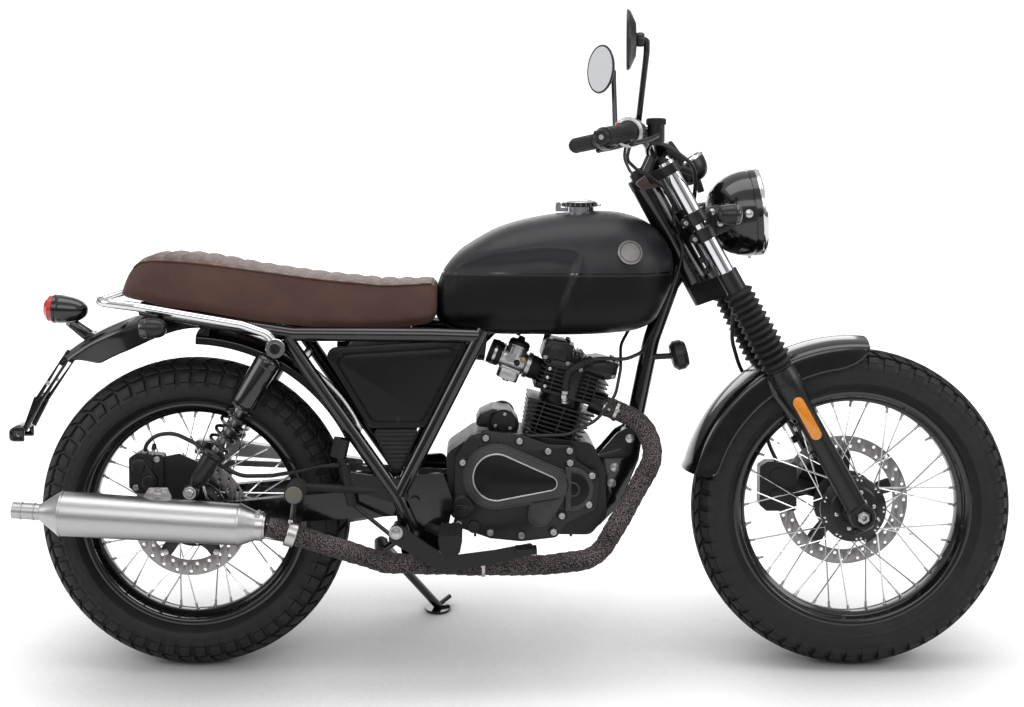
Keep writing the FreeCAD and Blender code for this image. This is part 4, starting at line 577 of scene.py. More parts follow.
def wrap_material(name):
    """Woven exhaust wrap: bright knots of thread over dark gaps, the raised knots painted lighter as
    highlight and the low gaps painted darker as shade over the threads' own brown-grey; sootier in broad
    patches.
    """
    material, tree, shader = new_material(name, (0.09, 0.08, 0.075), 0.8, specular=0.3)
    weave = object_space(tree, (1.0, 1.0, 0.62), (0.0, 0.7, 0.0))
    knots = cells(tree, weave, 470.0, Randomness=0.6)
    soot = spread(tree, noise(tree, object_space(tree), 16.0, 5.0), -0.07, 0.07)
    # Painted highlight on the raised knots and painted shade in the low gaps, plus the soot's own tone.
    stops = [(0.12, (0.34, 0.30, 0.29)), (0.34, (0.12, 0.10, 0.097)), (0.56, (0.012, 0.010, 0.010))]
    fill(tree, shader.inputs["Base Color"], ramp(tree, reckon(tree, "ADD", knots, soot), stops))
    bump(tree, shader, knots, -0.8, 0.0012)
    return material


FINISHES = {
    "gloss_black": ((0.0045, 0.0045, 0.005), 0.16, {"coat": 0.35, "mottle": 0.2, "rough_mottle": 0.04,
                                                    "specular": 0.4}),
    "satin_black": ((0.0070, 0.0070, 0.0078), 0.32, {"grain": (1400.0, 0.10, 0.0003), "specular": 0.35}),
    "cast_black": ((0.0070, 0.0070, 0.0078), 0.34, {"grain": (700.0, 0.35, 0.0006), "mottle": 0.3,
                                                    "specular": 0.34}),
    "cover_black": ((0.030, 0.030, 0.032), 0.40, {"grain": (900.0, 0.25, 0.0005), "mottle": 0.2,
                                                  "specular": 0.4}),
    "panel_black": ((0.0035, 0.0035, 0.004), 0.34, {"grain": (1200.0, 0.1, 0.0003), "specular": 0.2}),
    "tank_dark": ((0.0185, 0.019, 0.021), 0.42,
                  {"coat": 0.03, "grain": (2600.0, 0.05, 0.0002), "mottle": 0.06,
                                                 "rough_mottle": 0.03, "specular": 0.24}),
    "tank_black": ((0.004, 0.004, 0.0043), 0.42, {"grain": (2600.0, 0.05, 0.0002), "mottle": 0.06,
                                                  "rough_mottle": 0.03, "specular": 0.16}),
    "chrome": ((0.60, 0.60, 0.62), 0.09, {"metallic": 1.0, "mottle": 0.04, "rough_mottle": 0.03}),
    "steel": ((0.42, 0.41, 0.40), 0.30, {"metallic": 1.0}),
    "dark_steel": ((0.16, 0.155, 0.15), 0.34, {"metallic": 1.0, "mottle": 0.2}),
    "cast_alloy": ((0.42, 0.42, 0.43), 0.38,
                   {"metallic": 1.0, "mottle": 0.15, "grain": (600.0, 0.35, 0.0006)}),
    "brass": ((0.55, 0.38, 0.12), 0.3, {"metallic": 1.0, "mottle": 0.15}),
    "plastic": ((0.0085, 0.0085, 0.009), 0.42, {"grain": (1100.0, 0.2, 0.0004), "specular": 0.35}),
    "rubber": ((0.0075, 0.0075, 0.008), 0.56,
               {"grain": (800.0, 0.2, 0.0004), "mottle": 0.25, "specular": 0.3}),
    "cable": ((0.0075, 0.0075, 0.008), 0.34, {"grain": (1500.0, 0.1, 0.0002), "specular": 0.4}),
    "tyre": ((0.0115, 0.011, 0.012), 0.60,
             {"grain": (900.0, 0.25, 0.0004), "mottle": 0.3, "mottle_scale": 25.0,
                                            "specular": 0.32}),
    "thread": ((0.50, 0.40, 0.29), 0.7, {"grain": (1500.0, 0.5, 0.0004)}),
    "smoke": ((0.012, 0.009, 0.006), 0.12, {"coat": 0.6, "mottle": 0.2}),
    "rust_brown": ((0.045, 0.014, 0.014), 0.45, {"grain": (900.0, 0.2, 0.0004)}),
    "dial_white": ((0.75, 0.76, 0.78), 0.5, {}),
    "olive_metal": ((0.12, 0.12, 0.095), 0.42, {"grain": (900.0, 0.2, 0.0004)}),
}
MATERIALS = {look: finish_material(look, color, roughness, **extras)
             for look, (color, roughness, extras) in FINISHES.items()}
MATERIALS.update({
    "muffler_metal": brushed_material("muffler_metal", (0.43, 0.425, 0.425), 0.34, (1.2, 60.0, 60.0), 14.0),
    "disc_metal": brushed_material("disc_metal", (0.27, 0.262, 0.258), 0.32, (1.0, 1.0, 1.0), 120.0),
    "leather": leather_material("seat_leather_brown", (0.082, 0.041, 0.031)),
    "glass": glass_material("lamp_glass_clear", (0.97, 0.98, 1.0), 0.02),
    "mirror": mirror_material("mirror_silver"),
    "amber": reflector_material("amber_reflector", (0.90, 0.30, 0.01)),
    "red": reflector_material("red_lens_plastic", (0.62, 0.012, 0.012)),
    "wrap": wrap_material("exhaust_wrap"),
})

CAD_LOOKS = {
    "gloss_black": "frame_front frame_rear swingarm side_stand handlebar",
    "satin_black": "mirrors triple_clamps foot_levers",
    "cast_black": "engine_case front_caliper rear_caliper rear_master",
    "steel": "chain_guard",
    "chrome": "fork_tubes filler_neck grab_rail",
    "dark_steel": "rear_sprocket chain",
    "plastic": "airbox horn",
    "rubber": "foot_pegs",
    "cable": "bar_cables frame_cables",
    "red": "tail_lens",
}


def dress_cad():
    """Gives every node that stays visible its material."""
    for look, names in CAD_LOOKS.items():
        for name in names.split():
            mesh = frame["nodes"][name].data
            mesh.materials.clear()
            mesh.materials.append(MATERIALS[look])


def edge_angle(wheel):
    """The angle across the crown, in degrees, where the tread ends."""
    return math.degrees(math.asin((wheel["half_w"] - SHOULDER_IN) / CROWN_R))


def wheel_point(wheel, radius, angle, y):
    """A point about a wheel's axle."""
    x, z = polar(radius, angle)
    return wheel["axle"].x + x, y, wheel["axle"].z + z


# Wheels

WHEELS = {
    "front": {"axle": Vector((WHEELBASE, 0, FRONT_TYRE_R)), "tyre_r": FRONT_TYRE_R, "half_w": 50.0,
              "bead_r": 229.0,
              "rim_half": 31.0, "body": "front_wheel", "pitch_count": 58},
    "rear": {"axle": Vector((0, 0, REAR_TYRE_R)), "tyre_r": REAR_TYRE_R, "half_w": 60.0, "bead_r": 216.0,
             "rim_half": 40.0, "body": "rear_wheel", "pitch_count": 56},
}
CROWN_R = 60.0
SHOULDER_IN = 2.0
TREAD_DEPTH = 6.0
FLANGE_H = 11.0
SPOKES = 36
WHEEL_WAY = Vector((0, 1, 0))
# (share of the height from the flange, bulge) down a sidewall
WALL_RIBS = [(0.93, -1.6), (0.88, -0.9), (0.86, -0.1), (0.80, -0.1), (0.78, -0.9), (0.6, -0.3), (0.45, 0.0),
             (0.30, -0.9), (0.28, -0.2), (0.24, -0.2), (0.22, -1.4), (0.1, -4.0)]
# (inner and outer edge as shares of the crown, skew, offset and length as shares of a pitch)
TREAD_LANES = [(0.02, 0.29, 0.62, 0.00, 0.84), (0.35, 0.62, -0.50, 0.34, 0.80), (0.68, 1.0, 0.10, 0.08, 0.66)]
HUB_FACES = {"front": (48.0, 56.0), "rear": (72.0, 72.0)}
DISCS = {"front": (133.0, 58.0), "rear": (115.0, -74.0)}


def crown_point(wheel, across_deg, height):
    """(radius, side) of a point over the tyre's crown, by its angle across the crown arc."""
    angle = math.radians(across_deg)
    centre = wheel["tyre_r"] - CROWN_R
    return centre + (CROWN_R + height) * math.cos(angle), (CROWN_R + height) * math.sin(angle)


def tread_block(form, wheel, lane, around0, around1, skew):
    """One tread block: a curved pad between two angles across the crown and two angles round the wheel."""
    inner, outer = lane
    across_steps = 4
    around_steps = 3
    rows = []
    for level, shrink in ((-TREAD_DEPTH, 0.0), (-0.8, 0.10), (0.0, 0.22)):
        for i in range(across_steps + 1):
            share = i / across_steps
            across = inner + (outer - inner) * (shrink * 0.5 + share * (1 - shrink))
            lean = skew * (share - 0.5) * (around1 - around0)
            radius, side = crown_point(wheel, across, level)
            for j in range(around_steps + 1):
                reach = shrink * 0.25 + (j / around_steps) * (1 - shrink * 0.5)
                rows.append(wheel_point(wheel, radius, around0 + (around1 - around0) * reach + lean, side))
    width = around_steps + 1
    depth = across_steps + 1
    size = width * depth
    rim = list(range(width)) + [i * width + width - 1 for i in range(1, depth)]
    rim += [(depth - 1) * width + j for j in range(width - 2, -1, -1)]
    rim += [i * width for i in range(depth - 2, 0, -1)]
    faces = []
    for start in (0, size):
        for a, b in zip(rim, rim[1:] + rim[:1]):
            faces.append((start + a, start + b, start + size + b, start + size + a))
    faces += [tuple(2 * size + k for k in face) for face in grid_faces(depth, width)]
    form.add(rows, faces)


def tyre_carcass(form, wheel):
    """The tyre's body under the blocks, with a ribbed sidewall."""
    edge_deg = edge_angle(wheel)
    crown = [crown_point(wheel, edge_deg * (k / 12 * 0.94), -TREAD_DEPTH) for k in range(13)]
    flange_r = wheel["bead_r"] + FLANGE_H
    span = crown_point(wheel, edge_deg, 0.0)[0] - flange_r
    half = wheel["half_w"]
    rim_half = wheel["rim_half"]
    wall = []
    for share, bulge in WALL_RIBS:
        pinch = (abs(share - 0.5) * 2) ** 2.4 * (half - rim_half - 2) * (0.9 if share < 0.5 else 0.16)
        wall.append((flange_r + span * share, half - pinch + bulge))
    side = crown + wall + [(flange_r - 1.0, rim_half - 2.5), (wheel["bead_r"] - 2.0, rim_half - 8.0)]
    profile = [(r, -y) for r, y in reversed(side)] + side[1:]
    lathe(form, profile, wheel["axle"], WHEEL_WAY, 168)


def shoulder_bars(form, wheel, index, step):
    """The shallow bar that carries a shoulder block down the sidewall."""
    outer_r, outer_y = crown_point(wheel, edge_angle(wheel), 0.0)
    half = wheel["half_w"]
    skin = [(outer_r - 17, half - 0.5), (outer_r - 8, half), (outer_r - 0.5, outer_y - 0.2),
            (outer_r - 4, outer_y - 7)]
    buried = [(outer_r - 18, half - 6), (outer_r - 4, outer_y - 12)]
    faces = grid_faces(4, 3)
    faces += [(0, 3, 12), (3, 6, 15, 12), (6, 9, 15), (2, 14, 5), (5, 14, 17, 8), (8, 17, 11)]
    faces += [(0, 12, 13, 1), (1, 13, 14, 2), (9, 10, 16, 15), (10, 11, 17, 16)]
    for side in (-1, 1):
        start = index * step + (0.5 * step if side > 0 else 0.0)
        a0 = start + step * 0.10
        a1 = start + step * 0.74
        form.add([wheel_point(wheel, radius, angle, side * y) for radius, y in skin + buried
                  for angle in (a0, (a0 + a1) / 2, a1)], faces)


def make_tyre(which):
    """Block pattern tyre: zigzag centre lugs, slanted mid lugs and square shoulder lugs."""
    wheel = WHEELS[which]
    form = Form()
    tyre_carcass(form, wheel)
    edge_deg = edge_angle(wheel)
    step = 2 * math.pi / wheel["pitch_count"]
    for k in range(wheel["pitch_count"]):
        for inner, outer, skew, offset, length in TREAD_LANES:
            for side in (-1, 1):
                start = k * step + step * offset + (0.5 * step if side > 0 else 0.0)
                lane = (side * inner * edge_deg, side * outer * edge_deg)
                tread_block(form, wheel, lane, start, start + step * length, skew)
        shoulder_bars(form, wheel, k, step)
    piece = make_piece(which + "_tyre_tread", form, wheel["body"], ["tyre"], 32.0)
    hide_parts(which + "_tyre")


def make_rim(which):
    """Drop centre rim with rolled flanges, and a nipple at each spoke."""
    wheel = WHEELS[which]
    bead = wheel["bead_r"]
    half = wheel["rim_half"]
    lip = bead + FLANGE_H
    well = bead - 15.4
    form = Form()
    side = [(bead - 12.0, 9.0), (bead - 4.0, 13.0), (bead, 16.0), (bead, half - 6.0),
            (lip - 2.5, half - 3.4), (lip - 0.6, half - 2.8), (lip, half - 1.5), (lip - 0.6, half - 0.4),
            (lip - 2.5, half), (bead + 2.0, half - 0.4), (bead - 1.0, half - 1.6), (bead - 3.0, half - 4.0),
            (bead - 4.4, 20.0), (bead - 8.0, 15.0), (bead - 14.6, 11.6), (well, 8.0)]
    profile = side + [(r, -y) for r, y in reversed(side)]
    lathe(form, profile, wheel["axle"], WHEEL_WAY, 180, closed=True)
    for index in range(SPOKES):
        start, end = spoke_ends(which, index, well)
        nipple = [(0, -3), (4.4, -2), (4.4, 1), (2.7, 2.5), (2.5, 12), (0, 12)]
        lathe(form, nipple, end, (start - end).normalized(), 10, 1)
    piece = make_piece(which + "_rim_visual", form, wheel["body"], ["gloss_black", "steel"],
                       30.0)
    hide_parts(which + "_rim")


def spoke_ends(which, index, end_r):
    """Both ends of one crossed spoke, at the hub flange and at the rim."""
    hub_r = 60.0
    skew = math.radians(34.0)
    flange_y = 32.0
    rim_y = 5.0
    rim_angle = 2 * math.pi * index / SPOKES
    side = 1 if index % 2 else -1
    lead = 1 if (index // 2) % 2 else -1
    place = frame_along(WHEELS[which]["axle"], WHEEL_WAY)
    start = place @ Vector((*polar(hub_r, rim_angle + lead * skew), side * (flange_y + lead * 2.2)))
    end = place @ Vector((*polar(end_r, rim_angle), side * rim_y))
    return start, end


def make_spokes(which):
    """Round spokes with bent heads at the hub."""
    wheel = WHEELS[which]
    form = Form()
    for index in range(SPOKES):
        start, end = spoke_ends(which, index, wheel["bead_r"] - 16.0)
        tube(form, [start, start.lerp(end, 0.5), end], 1.6, 8)
        side = 1 if start.y > 0 else -1
        head = [(0, -3), (2.6, -3), (3.2, 0), (2.4, 1.6), (0, 2.2)]
        lathe(form, head, (start.x, side * 38.0, start.z), (0, side, 0), 10)
    make_piece(which + "_spokes", form, wheel["body"], ["chrome"], 40.0)


def hub_side(face):
    """One side of a hub's profile, from the end face in to the middle."""
    return [(8.3, face + 8), (22, face + 8), (24, face + 6), (24, face), (46, face), (50, face - 3), (50, 42),
            (62, 38), (66, 36), (66, 28), (62, 26.5), (30, 20), (27, 14)]


def make_hub(which):
    """Black hub with two flanges, and bolts and spoke holes on both faces."""
    wheel = WHEELS[which]
    right_face, left_face = HUB_FACES[which]
    form = Form()
    profile = [(r, -y) for r, y in hub_side(right_face)] + hub_side(left_face)[::-1]
    lathe(form, profile, wheel["axle"], WHEEL_WAY, 96)
    for side, face in ((-1, right_face), (1, left_face)):
        for k in range(6):
            x, z = polar(38, math.radians(60 * k + 12))
            bolt(form, wheel["axle"] + Vector((x, side * face, z)), (0, side, 0), 5.0, 4.5, 1, "dome")
        for k in range(SPOKES // 2):
            x, z = polar(60, math.radians(20 * k))
            hole = wheel["axle"] + Vector((x, side * 36.0, z))
            lathe(form, [(0, 0), (3.6, 0), (3.4, 0.8), (0, 0.8)], hole, (0, side, 0), 10)
    piece = make_piece(which + "_hub_visual", form, wheel["body"], ["satin_black", "steel"],
                       32.0)
    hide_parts(which + "_hub")


def make_disc(which):
    """Drilled brake disc on a dark carrier with five arms."""
    wheel = WHEELS[which]
    axle = wheel["axle"]
    radius, centre_y = DISCS[which]
    band = 30.0
    inner = radius - band
    side = 1 if centre_y > 0 else -1
    form = Form()
    place = frame_along((axle.x, centre_y, axle.z), WHEEL_WAY)
    holes = []
    count = 24
    for k in range(count):
        for row, share in enumerate((0.24, 0.72)):
            x, y = polar(radius - band * share, 2 * math.pi * (k + 0.5 * row) / count)
            holes.append(circle(x, y, 3.3, 12))
    slab(form, [circle(0, 0, radius, 120), circle(0, 0, inner, 96)] + holes, place, -2.0, 2.0, 0.3, 0)
    arms = []
    for k in range(5):
        for turn, reach in ((-14, 50.0), (-9, inner - 6), (-7, inner + 5), (7, inner + 5), (9, inner - 6),
                            (14, 50.0)):
            arms.append(polar(reach, math.radians(72 * k + turn)))
    slab(form, [arms, circle(0, 0, 24.6, 40)], place, -1.6, 1.6, 0.4, 1)
    for k in range(5):
        rivet = place @ Vector((*polar(inner, math.radians(72 * k)), side * 2.0))
        lathe(form, [(0, 0), (6, 0), (6, 0.7), (4, 1.2), (0, 1.2)], rivet, (0, side, 0), 16, 2)
    piece = make_piece(which + "_disc_visual", form, wheel["body"], ["disc_metal", "satin_black", "steel"],
                       30.0)
    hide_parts(which + "_disc")


def end_cap(form, ring, shrink, push, tip):
    """Closes a ring at a piece's front or rear end with a low dome."""
    count = len(ring)
    middle = sum(ring, Vector()) / count
    small = [middle + (p - middle) * shrink + Vector((push, 0, 0)) for p in ring]
    faces = grid_faces(2, count, False, True)
    faces += [(count + k, count + (k + 1) % count, 2 * count) for k in range(count)]
    form.add(ring + small + [middle + Vector((tip, 0, 0))], faces)


# Tank, seat and bodywork


def eased(value, low, high):
    """0 below low, 1 above high, smooth between; low may be the larger one."""
    share = max(0.0, min(1.0, (value - low) / (high - low)))
    return share * share * (3 - 2 * share)


def between(stations, x):
    """Smoothly interpolated values at x from (x, value, value, ...) stations."""
    count = len(stations)
    i = 0
    while i < count - 2 and stations[i + 1][0] < x:
        i += 1
    a = stations[max(i - 1, 0)]
    b = stations[i]
    c = stations[i + 1]
    d = stations[min(i + 2, count - 1)]
    t = (x - b[0]) / (c[0] - b[0])
    values = []
    for k in range(1, len(b)):
        slope_b = (c[k] - a[k]) / (c[0] - a[0]) * (c[0] - b[0]) if c[0] != a[0] else 0.0
        slope_c = (d[k] - b[k]) / (d[0] - b[0]) * (c[0] - b[0]) if d[0] != b[0] else 0.0
        values.append((2 * t ** 3 - 3 * t ** 2 + 1) * b[k] + (t ** 3 - 2 * t ** 2 + t) * slope_b
                      + (-2 * t ** 3 + 3 * t ** 2) * c[k] + (t ** 3 - t ** 2) * slope_c)
    return values


def super_section(half_w, low, high, waist, square_top, square_low, steps):
    """A closed section: rounded like a superellipse above and below its widest line."""
    points = []
    middle = low + waist * (high - low)
    for k in range(steps):
        angle = 2 * math.pi * k / steps - math.pi / 2
        c = math.cos(angle)
        s = math.sin(angle)
        if s >= 0:
            y = half_w * math.copysign(abs(c) ** (2 / square_top), c)
            z = middle + (high - middle) * abs(s) ** (2 / square_top)
        else:
            y = half_w * math.copysign(abs(c) ** (2 / square_low), c)
            z = middle - (middle - low) * abs(s) ** (2 / square_low)
        points.append((y, z))
    return points


TANK_STATIONS = [
    (486, 60, 706, 762), (492, 72, 696, 784), (504, 84, 688, 806), (524, 94, 681, 830), (545, 101, 676, 848),
    (610, 114, 672, 884), (690, 126, 671, 906), (770, 132, 671, 915), (840, 130, 675, 915),
                 (886, 119, 682, 904),
    (918, 98, 700, 886), (938, 76, 735, 866), (951, 54, 765, 845), (958, 30, 790, 826),
]
TANK_LINE_Z = 796.0


def tank_skin(x, y, z):
    """A tank point with the knee recess pressed in."""
    if abs(y) < 40:
        return Vector((x, y, z))
    edge = 727 + 39 * eased(z, 680, 830)
    across = eased(x, edge + 6, edge - 18) * eased(x, 494, 530)
    top = 846 - 0.12 * abs(x - 700)
    front_sweep = eased(z, top + 8, top - 26)
    foot = eased(z, 676, 700)
    depth = 14.0 * across * front_sweep * foot * eased(abs(y), 60, 96)
    ridge = 2.6 * math.exp(-((x - edge - 12) / 13.0) ** 2) * eased(z, 858, 815) * foot * eased(abs(y), 60, 96)
    return Vector((x, y - math.copysign(depth - ridge, y), z))


def make_tank():
    """Two tone fuel tank with knee recesses and a tunnel for the backbone."""
    steps = 120
    first = TANK_STATIONS[0][0]
    last = TANK_STATIONS[-1][0]
    places = []
    x = first
    while x < last:
        places.append(x)
        x += 5.0 if 540 < x < 690 or 800 < x < 920 else 2.5
    places.append(last)
    points = []
    for x in places:
        half_w, low, high = between(TANK_STATIONS, x)
        points += [tank_skin(x, y, z) for y, z in super_section(half_w, low, high, 0.44, 2.35, 3.4, steps)]
    form = Form()
    form.add(points, grid_faces(len(places), steps, False, True))
    end_cap(form, points[:steps], 0.6, -1.5, -1.95)
    end_cap(form, points[-steps:], 0.6, 1.5, 1.95)
    piece = make_piece("tank_shell", form, "frame", ["tank_dark", "tank_black", "gloss_black"],
                       50.0)
    two_tone(piece)
    cut_tunnel(piece)
    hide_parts("fuel_tank")


def two_tone(piece):
    """Cuts the paint line into the tank: dark grey above, a black and a grey pinstripe, black below."""
    bm = bmesh.new()
    bm.from_mesh(piece.data)
    inverse = BIKE.inverted()
    levels = (TANK_LINE_Z + 2.0, TANK_LINE_Z - 1.5, TANK_LINE_Z - 5.0)
    for level in levels:
        whole = list(bm.verts) + list(bm.edges) + list(bm.faces)
        bmesh.ops.bisect_plane(bm, geom=whole, plane_co=BIKE @ Vector((0, 0, level)), plane_no=BIKE_UP)
    looks = (0, 2, 0, 1)
    for face in bm.faces:
        z = (inverse @ face.calc_center_median()).z
        face.material_index = looks[sum(z <= level for level in levels)]
    bm.to_mesh(piece.data)
    bm.free()


def solid_cut(piece, cutter_form):
    """Subtracts a closed form from a piece's mesh."""
    mesh = form_mesh("cutter", cutter_form)
    shade(mesh, 30.0)
    cutter = placed("cutter", mesh)
    cut = piece.modifiers.new("cut", "BOOLEAN")
    cut.operation = "DIFFERENCE"
    cut.solver = "EXACT"
    cut.object = cutter
    bpy.context.view_layer.update()
    result = bpy.data.meshes.new_from_object(piece.evaluated_get(bpy.context.evaluated_depsgraph_get()))
    piece.modifiers.remove(cut)
    piece.data = result
    bpy.data.objects.remove(cutter)


def cut_tunnel(piece):
    """The slot under the tank that straddles the frame's backbone."""
    form = Form()
    outline = [(470, 640), (470, 735), (600, 750), (760, 812), (975, 890), (990, 640)]
    side_plate(form, outline, -34.0, 34.0, 8.0, 0.0)
    solid_cut(piece, form)


SEAT_STATIONS = [
    (-132, 70, 752, 762, 760), (-126, 84, 750, 780, 772), (-112, 97, 746, 806, 797),
                 (-97, 104, 743, 822, 812),
    (-84, 108, 741, 828, 818), (-50, 113, 732, 834, 820), (27, 118, 722, 830, 815), (144, 121, 703, 808, 800),
    (261, 119, 691, 792, 784), (340, 113, 688, 784, 776), (380, 110, 688, 781, 772),
                 (440, 102, 692, 780, 773),
    (470, 97, 697, 780, 775), (480, 92, 702, 778, 773), (486, 86, 712, 770, 768),
]
SEAT_RIBS = 16
SEAT_RIB_START = -84.0
SEAT_RIB_END = 478.0
SEAT_SIDE_STEPS = 18
SEAT_TOP_STEPS = 14


def seat_section(x):
    """Half section from the bottom's middle out, up the side to the seam, and over the top."""
    half_w, low, high, seam = between(SEAT_STATIONS, x)
    points = []
    floor_w = half_w - 5
    for k in range(6):
        points.append((floor_w * k / 5, low + 1.5 * (k / 5) ** 2, "floor"))
    for k in range(1, SEAT_SIDE_STEPS + 1):
        t = k / SEAT_SIDE_STEPS
        z = low + 1.5 + (seam - low - 1.5) * t
        tuck = 7.0 * eased(t, 0.0, 0.22) * (1 - 0.5 * t) - 0.5 * t
        bulge = 2.6 * math.sin(math.pi * min(1.0, t * 1.02)) ** 0.8
        points.append((floor_w + tuck + bulge - 6.0 * t ** 2, z, "side"))
    edge_w = points[-1][0]
    for k in range(1, SEAT_TOP_STEPS + 1):
        t = k / SEAT_TOP_STEPS
        points.append((edge_w * (1 - t), seam + seat_crown(high - seam, t), "top"))
    return points, edge_w, seam


def seat_crown(rise, t):
    """Height over the seam at a share t of the way from the edge to the middle."""
    return rise * (1 - (1 - t) ** 2.6)


def rib_height(x, y_share):
    """Height of the sewn ribs over the seat's top at x: full between two channels, low at a channel."""
    if not SEAT_RIB_START < x < SEAT_RIB_END:
        return 0.0
    pitch = (SEAT_RIB_END - SEAT_RIB_START) / SEAT_RIBS
    phase = (x - SEAT_RIB_START) / pitch % 1.0
    swell = abs(math.sin(math.pi * phase)) ** 0.55
    return (swell * 5.2 - 3.2) * eased(y_share, 1.0, 0.90)


def make_seat():
    """Brown ribbed bench seat with piping, a seam along both sides and pale stitches in each channel."""
    form = Form()
    first = SEAT_STATIONS[0][0]
    last = SEAT_STATIONS[-1][0]
    count = 300
    rows = []
    seam_line = []
    for i in range(count + 1):
        x = first + (last - first) * i / count
        half, edge_w, seam = seat_section(x)
        row = []
        for y, z, zone in half:
            lift = rib_height(x, y / edge_w) if zone == "top" else 0.0
            wrinkle = 0.35 * math.sin(x / 17.0 + z / 9.0) * math.sin(x / 41.0) if zone == "side" else 0.0
            row.append(Vector((x, y + wrinkle, z + lift)))
        rows.append(row)
        seam_line.append(Vector((x, edge_w + 0.4, seam + 0.4)))
    for side in (1, -1):
        flat = [Vector((p.x, p.y * side, p.z)) for row in rows for p in row]
        form.add(flat, grid_faces(len(rows), len(rows[0])))
    for row, out in ((rows[0], -1), (rows[-1], 1)):
        loop = row + [Vector((p.x, -p.y, p.z)) for p in reversed(row[1:-1])]
        end_cap(form, loop, 0.7, out * 2.2, out * 2.8)
    for side in (1, -1):
        tube(form, [Vector((p.x, p.y * side, p.z)) for p in seam_line[14:-4]], 1.7, 8)
    seat_stitches(form, seam_line)
    piece = make_piece("seat_leather", form, "frame", ["leather", "thread"], 60.0)
    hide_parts("seat")


def seat_stitches(form, seam_line):
    """Short thread stitches down each channel and along the side seam."""
    pitch = (SEAT_RIB_END - SEAT_RIB_START) / SEAT_RIBS
    sewn = 0.93
    count = 34
    for k in range(1, SEAT_RIBS):
        x = SEAT_RIB_START + k * pitch
        high, seam = between(SEAT_STATIONS, x)[2:]
        edge_w = seat_section(x)[1] * sewn
        for j in range(-count, count, 2):
            stitch = []
            for share in (j / count, (j + 1.4) / count):
                y = edge_w * max(-1.0, min(1.0, share))
                t = 1 - abs(y) / (edge_w / sewn)
                z = seam + seat_crown(high - seam, t) - 3.0 * eased(1 - t, 1.0, 0.9) + 0.3
                stitch.append((x, y, z))
            tube(form, stitch, 0.75, 5, 1)
    for side in (1, -1):
        for ends in zip(seam_line[16:-6:2], seam_line[17:-5:2]):
            tube(form, [Vector((p.x, (p.y - 3.2) * side, p.z + 2.6)) for p in ends], 0.55, 5, 1)


def make_badge():
    """Bare round badges on both sides of the tank."""
    form = Form()
    for side in (-1, 1):
        turned(form, (862, side * 121.5, 838), (0.10, side, 0.36), (
            ([(0, 0), (23.5, 0), (24.5, 0.8), (23.5, 1.8), (21.0, 2.0), (0, 2.0)], 48),
            ([(20.0, 2.0), (20.4, 2.3), (19.2, 2.3), (18.8, 2.0)], 48, 1)))
    make_piece("tank_badge", form, "frame", ["dark_steel", "gloss_black"], 30.0)


# Fork and cockpit

SLIDER_TOP = 330.0
GAITER_TOP = 507.0
LAMP_CENTRE = Vector((1106.0, 0.0, 912.0))
LAMP_TILT = math.radians(6.0)
LAMP_WAY = Vector((math.cos(LAMP_TILT), 0.0, math.sin(LAMP_TILT)))
BAR_END = Vector((787.0, 375.0, 1054.0))
BAR_ELBOW = Vector((872.0, 205.0, 1071.0))
GRIP_LENGTH = 122.0
# Mudguards: sheet, share of the half width under the crown and under the skirt, and the crown's turn
GUARD_WALL = 2.4
GUARD_CROWN = 0.72
GUARD_SKIRT = 0.28
GUARD_TURN = math.radians(82)


def make_sliders():
    """Fork legs with a wide collar, axle lugs, bosses, dust seals and the axle with its nuts."""
    form = Form()
    axle = WHEELS["front"]["axle"]
    leg = [(0, -30), (12, -30), (17, -27), (20.5, -20), (21.5, -10), (21.5, 236), (22.2, 246), (25.5, 268),
           (27.5, 284), (28.2, 296), (28.2, 320), (26.8, 325), (26.8, 330), (0, 330)]
    seal = [(16, 330), (25, 330), (25.5, 333), (23, 338), (17, 340), (16, 340)]
    band = [(28.0, 300), (29.4, 301), (29.4, 305), (28.0, 306)]
    end = 118.0
    lug = [(0, 72), (22, 72), (24.5, 75), (25, 80), (25, end - 3), (23.5, end), (17.5, end), (16.5, end - 5),
           (0, end - 5)]
    stub = [(5, end + 2), (8, end + 2), (8, end + 7), (7, end + 8), (5, end + 8)]
    for side in (-1, 1):
        out = (0, side, 0)
        turned(form, fork_point(0, FORK_OFFSET, side * FORK_HALF_W), FORK_UP,
               ((leg, 56), (seal, 40, 1), (band, 56)))
        lathe(form, lug, axle, out, 48)
        hex_nut(form, axle, out, 12.5, end - 5, end + 3, 1.0, 2)
        lathe(form, stub, axle, out, 24, 2)
        pinch = fork_point(-24, FORK_OFFSET - 10, side * FORK_HALF_W)
        rod(form, pinch - FORK_AHEAD * 18, pinch + FORK_AHEAD * 34, 8, 20, 0, 1.5)
        bolt(form, pinch + FORK_AHEAD * 34, FORK_AHEAD, 5.0, 4.5, 2, "socket")
        for up in (150.0, 212.0):
            boss = fork_point(up, FORK_OFFSET - 18, side * (FORK_HALF_W - 2))
            rod(form, boss, boss - FORK_AHEAD * 10, 8, 16, 0, 1.0)
            bolt(form, boss - FORK_AHEAD * 10, -FORK_AHEAD, 6.0, 4.0, 2)
        bolt(form, fork_point(18, FORK_OFFSET + 20, side * FORK_HALF_W), FORK_AHEAD, 5.0, 3.0, 2, "socket")
    for near, far in ((-73, -56.5), (64.5, 73)):
        rod(form, axle + Vector((0, near, 0)), axle + Vector((0, far, 0)), 14, 28, 2, 1.0)
    piece = make_piece("fork_slider_legs", form, "steering", ["satin_black", "rubber", "steel"],
                       32.0)
    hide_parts("fork_sliders")


def stadium(length, width):
    """A 2D rectangle with fully rounded ends, long along X."""
    arc_steps = 12
    radius = width / 2
    points = []
    for sign, start in ((1, -90), (-1, 90)):
        for k in range(arc_steps + 1):
            angle = math.radians(start + 180 * k / arc_steps)
            points.append((sign * (length / 2 - radius) + radius * math.cos(angle), radius * math.sin(angle)))
    return points


